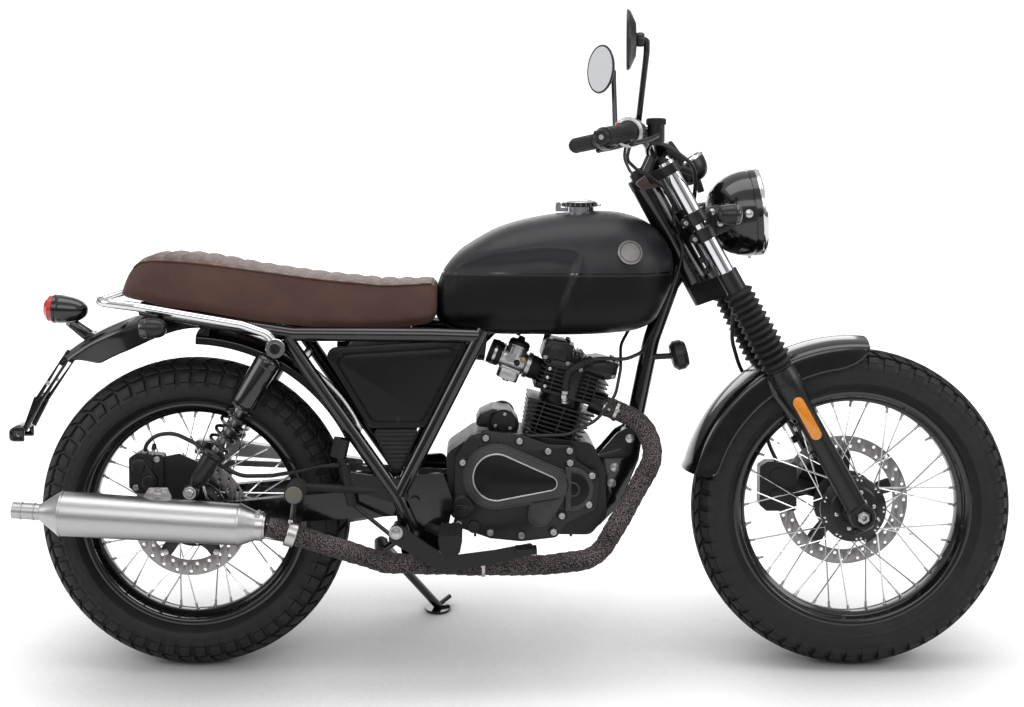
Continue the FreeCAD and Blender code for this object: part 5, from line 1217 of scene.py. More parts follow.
def make_fork_reflectors():
    """Amber reflectors on both sliders."""
    form = Form()
    for side in (-1, 1):
        place = frame_along(fork_point(225, FORK_OFFSET - 3, side * (FORK_HALF_W + 20)), (0, side, 0),
                            FORK_UP)
        for length, width, low, high, edge, look in ((98, 27, 0, 5, 1.0, 1), (93, 22, 4.8, 8.2, 1.4, 0),
                                                     (30, 14, -12, 0.5, 0.5, 1)):
            slab(form, [stadium(length, width)], place, low, high, edge, look)
    make_piece("fork_reflectors", form, "steering", ["amber", "plastic"], 35.0)


def make_gaiters():
    """Rubber boots with twelve deep pleats and a collar at each end."""
    form = Form()
    pleats = 12
    length = GAITER_TOP - SLIDER_TOP - 8
    pitch = length / pleats
    profile = [(16.2, 0), (24, 0), (27, 2), (27, 5)]
    for k in range(pleats):
        peak = 33.5 - 3.5 * k / pleats
        root = 25.5 - 2.0 * k / pleats
        start = 6 + k * pitch
        profile += [(root, start), (root + 1.5, start + pitch * 0.16), (peak - 0.8, start + pitch * 0.46),
                    (peak, start + pitch * 0.54), (peak - 0.8, start + pitch * 0.62),
                    (root + 1.5, start + pitch * 0.92)]
    profile += [(22, 6 + length), (22, 8 + length - 0.5), (16.2, 8 + length - 0.5)]
    for side in (-1, 1):
        base = fork_point(SLIDER_TOP + 1, FORK_OFFSET, side * FORK_HALF_W)
        lathe(form, profile, base, FORK_UP, 56)
    piece = make_piece("fork_gaiter_boots", form, "steering", ["rubber"], 50.0)
    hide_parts("fork_gaiters")


def make_lamp():
    """Headlamp: deep gloss bowl with a seam, bright rim, reflector, bulb, glass and ears on split clamps."""
    form = Form()
    bowl = [(0, -80), (16, -79.4), (32, -76.5), (47, -71), (59, -63), (69, -53), (77, -40), (82.5, -26),
            (86, -11),
            (87, 0), (87, 3.5), (85.6, 4.2), (85.6, 6.2), (87.4, 7), (88, 12), (88, 19), (84, 19), (84, 4),
            (80, 0),
            (0, 0)]
    rim = [(84, 18), (88.6, 18.5), (90, 21), (90, 24), (88, 27.5), (84, 29), (80.5, 28), (80, 25), (83, 22)]
    dish = [(80.5, 25), (77, 17), (66, 6), (48, -6), (28, -14), (13, -18), (13, -22), (0, -22)]
    bulb = [(0, 12), (5, 11), (7, 6), (7, -14), (9, -16), (9, -20), (0, -20)]
    turned(form, LAMP_CENTRE, LAMP_WAY, ((bowl, 96, 0), (rim, 96, 1, True), (dish, 72, 2), (bulb, 24, 1)))
    bolt(form, LAMP_CENTRE + LAMP_WAY * 8 + Vector((0, 0, -88)), (0, 0, -1), 4.0, 3.0, 1, "socket")
    tall = 26
    clamp = [(15.7, 0), (20, 0), (21, 1), (21, tall - 1), (20, tall), (15.7, tall)]
    ear_boss = [(0, -9), (8, -9), (9, -8), (9, 8), (8, 9), (0, 9)]
    ear_plate = [(994, 912), (1010, 862), (1040, 872), (1076, 890), (1112, 898), (1118, 914), (1108, 928),
                 (1070, 926), (1030, 930)]
    for side in (-1, 1):
        out = (0, side, 0)
        for up in (622, 658):
            lathe(form, clamp, fork_point(up, FORK_OFFSET, side * FORK_HALF_W), FORK_UP, 40, 3)
            ear = fork_point(up + tall / 2, FORK_OFFSET - 24, side * FORK_HALF_W)
            lathe(form, ear_boss, ear, (0, 1, 0), 20, 3)
            bolt(form, ear + Vector((0, side * 9, 0)), out, 4.5, 4.0, 4, "socket")
        side_plate(form, ear_plate, side * 85.0, side * 91.0, 7.0, 1.2, 3, [(1054, 905, 6.0)])
        side_plate(form, [(996, 910), (1010, 868), (1028, 876), (1020, 922)], side * 89.0, side * 106.0,
                   5.0, 1.5, 3)
        for x, z, radius, kind in ((1096, 912, 9.0, "dome"), (1040, 894, 5.0, "hex"),
                                   (1024, 916, 5.0, "hex")):
            wide = radius * 1.35
            lathe(form, [(0, 0), (wide, 0), (wide, 1.5), (0, 1.5)], (x, side * 91.0, z), out, 24, 3)
            bolt(form, (x, side * 92.0, z), out, radius, radius * 0.7, 4, kind)
    piece = make_piece("headlamp_bowl", form, "steering",
                       ["gloss_black", "chrome", "chrome", "satin_black", "steel"],
                       30.0)
    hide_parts("headlight_shell")
    glass = Form()
    lathe(glass, [(0, 38), (24, 37), (48, 33.6), (66, 29.5), (79.5, 25.5), (79.5, 23.5), (66, 27), (48, 31),
                  (24, 34.4), (0, 35.4)], LAMP_CENTRE, LAMP_WAY, 96)
    piece = make_piece("headlamp_glass", glass, "steering", ["glass"], 40.0)
    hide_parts("headlight_lens")


def make_speedo():
    """Speedometer cup with a plain dial, and the warning light box on its plate."""
    form = Form()
    back = Vector((1012, 18, 975))
    axis = Vector((-0.55, 0, 0.84)).normalized()
    cup = flowing_path([(0, 0, 0), (10, 0.5, 0), (20, 3, 0), (29, 11, 0), (34, 22, 0), (36.5, 34, 0),
                        (37, 44, 0)], 4)
    turned(form, back, axis, (
        ([(max(0.0, p.x), p.y) for p in cup], 64, 0),
        ([(37, 43), (38.5, 44), (38.5, 48), (37, 49.5), (34, 49.5), (33.5, 46)], 64, 1),
        ([(0, 44.5), (34, 44.5), (34, 46)], 48, 0)))
    place = frame_along(back + axis * 44.7, axis, (0, 0, 1))
    for k in range(21):
        angle = math.radians(225 - 270 * k / 20)
        inner, thick = (25.5, 0.45) if k % 2 else (23.0, 0.8)
        tube(form, [place @ Vector((*polar(reach, angle), 0.2)) for reach in (inner, 29.5)], thick, 5, 2)
    tube(form, [place @ Vector((0, 0, 0.6)), place @ Vector((-15, -15, 0.6))], [1.6, 0.5], 6, 3)
    lathe(form, [(0, 0.2), (3.5, 0.2), (3, 2.2), (0, 2.4)], place.translation, axis, 20, 0)
    side_plate(form, [(934, 1036), (944, 1058), (974, 1018), (966, 1002)], -76, -20, 4.0, 2.0, 0)
    side_plate(form, [(922, 1012), (932, 1024), (1002, 996), (994, 984)], -48, 42, 3.0, 0.8, 0)
    for y, look in ((-64, 5), (-48, 4), (-32, 5)):
        lathe(form, [(0, 0), (5.5, 0), (5.5, 2.0), (4.0, 3.4), (0, 3.8)], (950, y, 1046), (0.80, 0, 0.60),
              18, look)
    for y in (-10.0, 34.0):
        bolt(form, (962, y, 1008), (0.4, 0, 0.92), 5.0, 3.5, 1)
    rod(form, back + axis * 2, back - axis * 26 + Vector((-8, 0, 0)), 7, 20, 0, 1.0)
    piece = make_piece("speedometer_cup", form, "steering",
                       ["satin_black", "chrome", "dial_white", "red", "amber", "dial_white"],
                       35.0)
    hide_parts("speedometer")
    glass = Form()
    lathe(glass, [(0, 48.6), (20, 48.4), (33.6, 47.4), (33.6, 46.6), (20, 47.4), (0, 47.6)], back, axis, 48)
    make_piece("speedometer_glass", glass, "steering", ["glass"], 40.0)


def grip_places(side):
    """Outer end, inner end and inward direction of one grip."""
    outer = Vector((BAR_END.x, side * BAR_END.y, BAR_END.z))
    elbow = Vector((BAR_ELBOW.x, side * BAR_ELBOW.y, BAR_ELBOW.z))
    inward = (elbow - outer).normalized()
    return outer, outer + inward * GRIP_LENGTH, inward


def make_grips():
    """Grips with rings of ridges, a flange and bar-end caps."""
    form = Form()
    ridges = 16
    pitch = 86.0 / ridges
    profile = [(11.5, 1), (16.5, 1), (17.2, 3), (17.2, 8)]
    for k in range(ridges):
        start = 11 + k * pitch
        profile += [(15.4, start), (16.9, start + pitch * 0.22), (16.9, start + pitch * 0.68),
                    (15.4, start + pitch * 0.9)]
    profile += [(15.6, 100), (16.2, 110), (19.5, 114), (21, 117), (20.5, 121), (11.5, 121.5)]
    for side in (-1, 1):
        outer, _, inward = grip_places(side)
        lathe(form, profile, outer, inward, 48, 0)
        place = frame_along(outer, inward)
        for k in range(24):
            x, y = polar(16.3, 2 * math.pi * k / 24)
            tube(form, [place @ Vector((x, y, 12)), place @ Vector((x, y, 96))], 0.9, 4, 0)
        turned(form, outer, inward, (
            ([(0, -7), (11, -7), (14, -5), (15, -2), (15, 0.6), (0, 0.6)], 40, 1),
            ([(0, -7.6), (4.6, -7.6), (5.2, -6.5), (0, -6.5)], 20, 2)))
    piece = make_piece("grip_rubbers", form, "steering", ["rubber", "satin_black", "steel"], 32.0)
    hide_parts("grips")


def lever_blade(form, points, widths):
    """A flattened lever swept along points."""
    path = flowing_path(points, 6)
    last = len(path) - 1
    steps = 14
    rings = []
    for i, here in enumerate(path):
        k = i / last * (len(widths) - 1)
        j = min(int(k), len(widths) - 2)
        wide = widths[j] + (widths[j + 1] - widths[j]) * (k - j)
        ahead = path[min(i + 1, last)] - path[max(i - 1, 0)]
        ahead.normalize()
        across = ahead.cross(Vector((0, 0, 1))).normalized()
        up = across.cross(ahead)
        for s in range(steps):
            angle = 2 * math.pi * s / steps
            rings.append(here + across * wide * 0.62 * math.cos(angle) + up * wide * math.sin(angle))
    form.add(rings, tube_faces(len(path), steps))


def make_controls():
    """Switch housings in two halves, perches with bolts, curved levers and the brake reservoir."""
    form = Form()
    housing = [(11, 1), (21, 1), (24, 3), (24.4, 14.6), (23.4, 15.2), (23.4, 16.2), (24.4, 16.8), (24, 28),
               (21.5, 31), (11, 31)]
    clamp = [(11, 32), (16, 32), (17.4, 34), (17.4, 54), (16, 56), (11, 56)]
    button = [(0, 0), (4.5, 0), (4.5, 3), (3.6, 4.2), (0, 4.4)]
    for side in (-1, 1):
        outer, inner, inward = grip_places(side)
        lathe(form, housing, inner, inward, 48, 0)
        back = inner + inward * 16 + Vector((-21, 0, 6))
        for k in range(3):
            spot = back + inward * (-8 + 8 * k) + Vector((0, 0, 8 - 8 * k))
            lathe(form, button, spot, (-0.95, 0, 0.3), 16, 3 if k == 0 and side < 0 else 1)
        lathe(form, clamp, inner, inward, 40, 0)
        for up in (-1, 1):
            spot = inner + inward * 45 + Vector((-10, 0, 13 * up))
            rod(form, spot + Vector((16, 0, 0)), spot, 5.5, 16, 0, 0.8)
            bolt(form, spot, (-1, 0, 0), 4.2, 3.5, 2, "socket")
        knuckle = inner + inward * 40 + Vector((30, 0, -6))
        rod(form, inner + inward * 44, knuckle, 9.5, 24, 0, 1.5)
        lathe(form, [(0, -8), (9.5, -8), (10.5, -7), (10.5, 7), (9.5, 8), (0, 8)], knuckle, (0, 0, 1), 28, 0)
        bolt(form, knuckle + Vector((0, 0, 8)), (0, 0, 1), 5.0, 3.5, 2)
        tip = outer + Vector((52, side * -6, -10))
        blade = [knuckle, knuckle + Vector((10, side * 26, -2)),
                 knuckle.lerp(tip, 0.55) + Vector((14, 0, -2)),
                 tip.lerp(knuckle, 0.12) + Vector((2, 0, -2)), tip]
        lever_blade(form, blade, [7.0, 6.4, 5.2, 4.6, 5.4])
        lathe(form, [(0, -7), (4, -6), (6.6, -2), (6.6, 2), (4, 6), (0, 7)], tip, (0, 1, 0), 20, 0)
        perch = Vector((864.0, side * 229.0, 1074.0))
        rod(form, perch + Vector((0, 0, -16)), perch + Vector((0, 0, 2)), 9, 24, 0, 1.0)
        hex_nut(form, perch, (0, 0, 1), 7.5, 2, 8, 0.6, 2)
    base = Vector((896.0, -246.0, 1046.0))
    lathe(form, [(0, -4), (13, -4), (15, -1), (16, 4), (16, 34), (0, 34)], base, (0, 0, 1), 48, 0)
    cap = [(0, 33.5), (17.5, 33.5)]
    for k in range(3):
        cap += [(17.5, 34.5 + 3 * k), (16.7, 35.6 + 3 * k), (17.5, 36.7 + 3 * k)]
    lathe(form, cap + [(17, 45), (15, 46), (0, 46)], base, (0, 0, 1), 56, 1)
    for k in range(28):
        spot = base + Vector((*polar(17.5, 2 * math.pi * k / 28), 34.5))
        tube(form, [spot, spot + Vector((0, 0, 9.5))], 1.1, 6, 1)
    rod(form, base + Vector((-14, 4, 14)), base + Vector((0, 0, 12)), 9.0, 20, 0, 1.0)
    piece = make_piece("bar_switchgear", form, "steering", ["satin_black", "plastic", "steel", "red"],
                       34.0)
    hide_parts("bar_controls")


def make_mirror_glass():
    """Silvered glass and a thin lip on both mirrors."""
    form = Form()
    for centre, facing in (((836.0, -372.0, 1225.0), (-1.0, 0.09, 0.0)),
                           ((844.0, 330.0, 1221.0), (-0.88, -0.46, 0.05))):
        lathe(form, [(0, 6.3), (49.5, 6.3), (49.5, 6.0), (0, 6.0)], centre, facing, 64, 0)
        lathe(form, [(49.3, 6.0), (49.8, 7.0), (51.5, 7.6), (53.4, 6.6), (53.9, 4.6), (53.2, 3.4)], centre,
              facing, 64, 1)
        back = Vector(centre) - Vector(facing).normalized() * 15
        lathe(form, [(0, -9), (10, -9), (12.5, -6), (13, 0), (12, 4), (0, 4)], back, facing, 28, 1)
    make_piece("mirror_glass", form, "steering", ["mirror", "plastic"], 30.0)


def make_blinkers():
    """Short round turn signals with smoked lenses, beside the headlamp and at the tail."""
    bowl = [(0, 0), (8, 0.6), (14, 4), (18, 12), (19.5, 22), (20, 30), (20, 33)]
    rim = [(20, 32), (20.8, 33), (20.8, 36), (19.6, 37), (18.4, 38)]
    boot = [(6, 0), (9, 0), (10, 3), (10, 8), (6.5, 12)]
    for name, body, centre, way, root, length in (
            ("front_indicators", "steering", (1022, 160, 912), (1, 0, 0), (1046, 92, 906), 50.0),
            ("rear_indicators", "frame", (-30, 150, 694), (-1, 0, 0), (-52, 96, 712), 54.0)):
        form = Form()
        lens = [(18.8, 36.5), (18.6, 42), (16, length - 4), (9, length - 1), (0, length)]
        turned(form, centre, way, ((bowl, 40, 0), (rim, 40, 0), (lens, 40, 1)))
        root = Vector(root)
        foot = Vector(centre) + Vector(way) * 24 + Vector((0, 0, -1))
        rod(form, root, foot, 6.0, 20, 0, 0.5)
        lathe(form, boot, root, foot - root, 24, 2)
        piece = make_piece(name + "_lamps", form.with_mirror(), body, ["satin_black", "smoke", "rubber"],
                           35.0)
        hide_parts(name)


def guard_section(t, half, crown, drop, flare=0.0):
    """(depth below the top, side) at a share t of the way across a mudguard: a rounded crown, then skirts."""
    bow = abs(t)
    turn = min(1.0, bow / GUARD_CROWN) * GUARD_TURN
    down = max(0.0, bow - GUARD_CROWN) / GUARD_SKIRT
    side = (half - flare) * math.sin(turn) / math.sin(GUARD_TURN) + flare * down
    return crown * (1 - math.cos(turn)) + (drop - crown) * down, side


def make_front_fender():
    """Deep front mudguard with rounded ends, a rolled edge and bolted stay plates."""
    form = Form()
    axle = WHEELS["front"]["axle"]
    start = 86.0
    end = 167.0
    radius = 346.0
    half = 64.0
    crown = 24.0
    flare = 1.5
    rows = 72
    columns = 40
    edges = {-1: [], 1: []}
    for wall in (0.0, GUARD_WALL):
        points = []
        for i in range(rows + 1):
            share = i / rows
            angle = math.radians(start + (end - start) * share)
            front_round = math.sqrt(max(0.0, 1 - (1 - min(1.0, share / 0.16)) ** 2))
            rear_round = math.sqrt(max(0.0, 1 - (1 - min(1.0, (1 - share) / 0.06)) ** 2))
            drop = 62.0 * (0.25 + 0.75 * front_round) * (0.72 + 0.28 * rear_round)
            out = 2.5 * eased(share, 0.97, 1.0)
            for j in range(columns + 1):
                t = 2.0 * j / columns - 1.0
                depth, y = guard_section(t, half, crown, drop, flare)
                x, z = polar(radius - depth + out - wall, angle)
                spot = axle + Vector((x, math.copysign(y * ((half - wall) / half), t), z))
                points.append(spot)
                if wall == 0.0 and j in (0, columns):
                    edges[-1 if j == 0 else 1].append(spot)
        form.add(points, grid_faces(rows + 1, columns + 1))
    stay = [(1136, 588), (1158, 606), (1180, 600), (1232, 520), (1222, 500), (1192, 496), (1150, 552)]
    for side in (-1, 1):
        tube(form, edges[side][1:-1], 2.6, 8)
    for side in (-1, 1):
        side_plate(form, stay, side * 62.0, side * 74.0, 12.0, 2.0, 0, [(1178, 556, 7.0)])
        side_bolts(form, ((1158, 586), (1212, 514), (1192, 540)), side * 74.0, 6.0, 4.5, 1)
    piece = make_piece("front_fender_shell", form, "steering", ["gloss_black", "steel"],
                       40.0)
    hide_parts("front_fender")


def box_outline(left, low, right, high):
    """A rectangle's corners."""
    return [(left, low), (right, low), (right, high), (left, high)]


# Engine

ENGINE_LEAN = math.radians(16.5)
CYLINDER_BASE = Vector((712.0, 0.0, 452.0))
ENGINE_UP = Vector((math.sin(ENGINE_LEAN), 0, math.cos(ENGINE_LEAN)))
ENGINE_AHEAD = Vector((math.cos(ENGINE_LEAN), 0, -math.sin(ENGINE_LEAN)))
ENGINE_PLACE = (Matrix.Translation(CYLINDER_BASE)
                @ Matrix((ENGINE_AHEAD, Vector((0, 1, 0)), ENGINE_UP)).transposed().to_4x4())


def engine_point(ahead, side, up):
    """A point in the cylinder's own leaned directions."""
    return ENGINE_PLACE @ Vector((ahead, side, up))


def two_circle_hull(ax, az, ar, bx, bz, br, steps=28):
    """A teardrop outline: two circles and their outer tangents."""
    gap = math.hypot(bx - ax, bz - az)
    heading = math.atan2(bz - az, bx - ax)
    wrap = math.acos((ar - br) / gap)
    points = []
    for k in range(steps + 1):
        angle = heading + wrap + (2 * math.pi - 2 * wrap) * k / steps
        points.append((ax + ar * math.cos(angle), az + ar * math.sin(angle)))
    for k in range(steps + 1):
        angle = heading - wrap + 2 * wrap * k / steps
        points.append((bx + br * math.cos(angle), bz + br * math.sin(angle)))
    return points


def make_cylinder():
    """Finned barrel: thin plates, shorter towards the base, with a base flange, studs and bolts."""
    form = Form()
    rod(form, engine_point(0, 0, -6), engine_point(0, 0, 100), 46.0, 56, 0)
    slab(form, [rounded(box_outline(-60, -64, 60, 64), 10)], ENGINE_PLACE, 0, 13, 1.2)
    count = 8
    for k in range(count):
        low = 16 + k * 9.0
        share = k / (count - 1)
        fin = rounded(box_outline(-61 - 9 * share, -75, 52 + 15 * share, 75), 13)
        slab(form, [fin], ENGINE_PLACE, low, low + 2.6, 0.7)
    for ahead in (-40, 0, 38):
        for y in (-73.5, 73.5):
            rod(form, engine_point(ahead, y, 14), engine_point(ahead + 4, y, 84), 1.4, 8, 0)
    for ahead in (-50, 50):
        for y in (-52, 52):
            bolt(form, engine_point(ahead, y, 13), ENGINE_UP, 6.0, 6.0, 1)
    piece = make_piece("cylinder_barrel", form, "frame", ["cast_black", "steel"], 30.0)
    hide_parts("engine_cylinder")


def make_head():
    """Cylinder head: finned block with a plug recess, two rocker boxes, bolts and ports."""
    form = Form()
    slab(form, [rounded(box_outline(-50, -56, 56, 56), 8)], ENGINE_PLACE, 98, 170, 2.0)
    for k in range(7):
        low = 104 + k * 8.4
        rear = -66 + 1.0 * k
        front = 76 if k < 6 else 66
        fin = [(rear, -72), (-8, -72), (-8, -52), (20, -52), (20, -72), (front, -70), (front, 70), (rear, 72)]
        slab(form, [rounded(fin, 7)], ENGINE_PLACE, low, low + 2.6, 0.7)
    for ahead in (-52, -34, 34, 52):
        rod(form, engine_point(ahead, -71.5, 106), engine_point(ahead, -71.5, 158), 1.5, 8, 0)
    turn = ENGINE_PLACE @ Matrix.Rotation(math.radians(90), 4, "X")
    front_box = [(8, 158), (14, 178), (46, 193), (72, 194), (84, 186), (86, 164), (70, 156)]
    rear_box = [(-68, 160), (-67, 188), (-56, 202), (-26, 205), (-12, 192), (-8, 162)]
    for outline, half in ((front_box, 58), (rear_box, 56)):
        slab(form, [rounded(outline, 6)], turn, -half, half, 3.0)
    for outline, share in ((front_box, 0.74), (rear_box, 0.70)):
        small = rounded(shrunk(outline, share), 5)
        for low, high in ((56, 61.5), (-61.5, -56)):
            slab(form, [small], turn, low, high, 1.6)
    slab(form, [rounded(box_outline(-58, -44, 62, 44), 10)], ENGINE_PLACE, 165, 186, 3.0)
    for k in range(5):
        slab(form, [rounded(box_outline(-20 + 8 * k, -50, -17 + 8 * k, 50), 1)], ENGINE_PLACE, 180, 193, 0.5)
    for side in (-48, 48):
        for ahead, up in ((-60, 203), (-18, 203), (14, 186), (78, 193)):
            top = engine_point(ahead, side, up)
            rod(form, engine_point(ahead, side, up - 30), top, 7.5, 18, 0, 1.0)
            bolt(form, top, ENGINE_UP, 5.2, 5.0, 1)
    for ahead, up in ((-60, 166), (-14, 166), (14, 162), (80, 166)):
        bolt(form, engine_point(ahead, -57.5, up), (0, -1, 0), 4.6, 4.0, 1, "socket")
    for up in (112, 130, 148):
        bolt(form, engine_point(-46, -72.0, up), (0, -1, 0), 4.0, 3.5, 1, "dome")
    port = engine_point(52, -40, 108)
    way = Vector((0.93, -0.12, -0.36))
    rod(form, port, port + way * 30, 24.0, 32, 0, 1.5)
    flange = frame_along(port + way * 28, way, (0, 0, 1))
    slab(form, [two_circle_hull(0, -26, 10, 0, 26, 9.8)], flange, 0, 7, 1.2, 1)
    for side in (-26, 26):
        bolt(form, flange @ Vector((0, side, 7)), way, 5.0, 7.0, 1)
    rod(form, engine_point(-52, 0, 130), (676, 0, 604), 23.0, 32, 2, 1.0)
    piece = make_piece("head_casting", form, "frame", ["cast_black", "steel", "rubber"], 30.0)
    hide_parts("engine_head")


def make_plug():
    """Spark plug with its cap in the head's recess."""
    form = Form()
    foot = Vector((738, -58, 538))
    way = Vector((0.08, -0.22, 1.0)).normalized()
    lathe(form, [(0, 0), (9, 0), (9, 4), (7, 5), (7, 9), (0, 9)], foot, way, 24, 1)
    hex_nut(form, foot, way, 9.5, 9, 19, 1.0, 1)
    turned(form, foot, way, (
        ([(6, 19), (6.5, 21), (5.4, 30), (0, 30)], 20, 3),
        ([(0, 26), (8.6, 26), (9.2, 29), (8.8, 38), (8.0, 40), (8.0, 56), (0, 56)], 24, 0)))
    path = flowing_path([foot + way * 46, foot + way * 62 + Vector((4, -2, 2)), (762, -80, 612),
                         (778, -82, 621)], 6)
    tube(form, path, [8.0] * 6 + [7.6] * (len(path) - 6), 16, 0)
    lathe(form, [(7.8, 0), (9.0, 1), (9.0, 4), (7.8, 5), (7.8, 8), (9.0, 9), (9.0, 12), (6.0, 16), (0, 17)],
          path[-1], (0.9, 0, 0.25), 20, 0)
    make_piece("spark_plug", form, "frame", ["rubber", "steel", "steel", "dial_white"], 35.0)


def make_cover():
    """Right engine cover: flange, teardrop shell with a bright line round a panel, lobe and clutch cap."""
    form = Form()
    right = (0, -1, 0)
    flange = [(520, 330), (524, 300), (592, 276), (653, 270), (722, 278), (742, 306), (800, 334), (806, 400),
              (758, 432), (760, 460), (706, 462), (650, 482), (583, 488), (552, 478), (524, 440)]
    side_plate(form, flange, -92.0, -106.0, 12.0, 2.0, 0)
    for x, z in ((583, 475), (649, 469), (705, 449), (747, 450), (748, 426), (791, 401), (785, 344),
                 (732, 322),
                 (716, 290), (653, 283), (592, 289), (530, 306), (538, 427)):
        turned(form, (x, 0, z), right, (
            ([(0, 88), (10, 88), (10, 107.5), (9, 108.5), (0, 108.5)], 24, 0),
            ([(0, 108), (6.6, 108), (6.6, 113), (5.6, 114.2), (3.4, 114.2), (3.2, 111), (0, 111)], 20, 2)))
    for grow, near, far in ((0.0, 102.0, 112.0), (-3.0, 110.0, 118.0), (-8.0, 116.0, 121.5)):
        round_plate(form, two_circle_hull(604, 398, 66 + grow, 716, 384, 34 + grow, 40), -near, -far, 2.0, 1)
    round_plate(form, two_circle_hull(688, 323, 24, 704, 364, 34), -102.0, -116.0, 4.0, 1)
    round_plate(form, two_circle_hull(688, 325, 19, 702, 360, 28), -112.0, -118.0, 2.0, 1)
    panel = two_circle_hull(604, 400, 44, 708, 388, 12.5, 40)
    round_plate(form, two_circle_hull(604, 400, 47, 708, 388, 15, 40), -119.0, -123.6, 0.8, 2, [panel])
    round_plate(form, panel, -119.0, -122.2, 0.3, 3)
    half_turn = [math.radians(a) for a in range(-90, 91, 6)]
    round_plate(form, sweep(750, 375, 44, half_turn) + [(738, 419), (738, 331)], -98.0, -114.0, 3.0, 1)
    round_plate(form, sweep(752, 375, 33, half_turn) + [(750, 408), (750, 342)], -112.0, -115.4, 0.8, 3)
    round_plate(form, circle(752, 375, 15, 32), -112.0, -117.5, 1.0, 1, [circle(752, 375, 11.5, 32)])
    side_plate(form, [(740, 336), (750, 336), (750, 414), (740, 414)], -112.0, -118.0, 2.0, 0.8, 1)
    lathe(form, [(0, 104), (22, 104), (22, 108), (20.5, 109), (20.5, 114), (18, 116), (15, 116), (15, 113.5),
                 (0, 113.5)], (538, 0, 341), right, 48, 0)
    side_plate(form, [(524, 337), (552, 337), (552, 345), (524, 345)], -112.0, -118.0, 3.0, 1.0, 0)
    for x, z, r in ((560, 300, 13), (575, 452, 8), (612, 462, 7)):
        lathe(form, [(0, 100), (r, 100), (r, 108), (r - 1.5, 110), (0, 110)], (x, 0, z), right, 28, 0)
    piece = make_piece("clutch_cover", form, "frame", ["cast_black", "cover_black", "steel", "panel_black"],
                       30.0)
    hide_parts("engine_cover")


def make_case_details():
    """Bolts, ribs, drain plug, left covers and the starter's end on the crankcase."""
    form = Form()
    cap = [(0, 56), (25, 56), (26, 58), (26, 66), (24, 69)]
    lathe(form, cap + [(14, 70), (14, 68), (0, 68)], (618, 0, 499), (0, -1, 0), 40, 0)
    lathe(form, cap + [(0, 69)], (618, 0, 499), (0, 1, 0), 40, 0)
    for spot in sweep(618, 499, 17, [math.radians(angle) for angle in (80, 200, 320)]):
        for y in (-69, 69):
            side_bolts(form, [spot], y, 3.6, 3.0, 1, "socket")
    side_plate(form, [(560, 490), (648, 478), (650, 496), (632, 520), (598, 524), (572, 512)], -52.0, 52.0,
               8.0, 2.0)
    for k in range(6):
        x = 560 + 38 * k
        side_plate(form, box_outline(x, 272, x + 5, 292), -70.0, 62.0, 1.0, 0.8)
    rod(form, (640, 0, 285), (640, 0, 268), 12, 28, 1, 1.5)
    hex_nut(form, (640, 0, 268), (0, 0, -1), 10, 0, 7, 1.0, 1)
    for radius, steps, near, far, edge, look in ((72, 72, 108.0, 116.0, 2.5, 2),
                                                 (58, 64, 114.0, 121.0, 2.5, 2),
                                                 (20, 40, 119.0, 124.0, 1.2, 3)):
        round_plate(form, circle(676, 368, radius, steps), near, far, edge, look)
    for x, z in sweep(676, 368, 78, [math.radians(360 * k / 7 + 14) for k in range(7)]):
        turned(form, (x, 0, z), (0, 1, 0), (
            ([(0, 100), (9, 100), (9, 113.5), (0, 113.5)], 22, 0),
            ([(0, 113), (6.2, 113), (6.2, 118), (5.2, 119), (3, 119), (3, 116), (0, 116)], 18, 1)))
    make_piece("crankcase_details", form, "frame", ["cast_black", "steel", "cover_black", "panel_black"],
               30.0)


def make_front_plates():
    """Black engine hanger plates with a rounded opening beside the header."""
    form = Form()
    outer = [(786, 428), (812, 430), (852, 441), (868, 464), (894, 470), (888, 420), (852, 330), (806, 281),
             (780, 284), (744, 300), (752, 322), (784, 318), (814, 334), (826, 362), (822, 384), (800, 402)]
    for side in (-1, 1):
        side_plate(form, outer, side * 26.0, side * 33.0, 9.0, 1.2)
        side_bolts(form, ((872, 462), (842, 404), (836, 372), (762, 306)), side * 33.0, 7.0, 5.5, 1)
    make_piece("engine_hanger_plates", form, "frame", ["gloss_black", "steel"], 30.0)


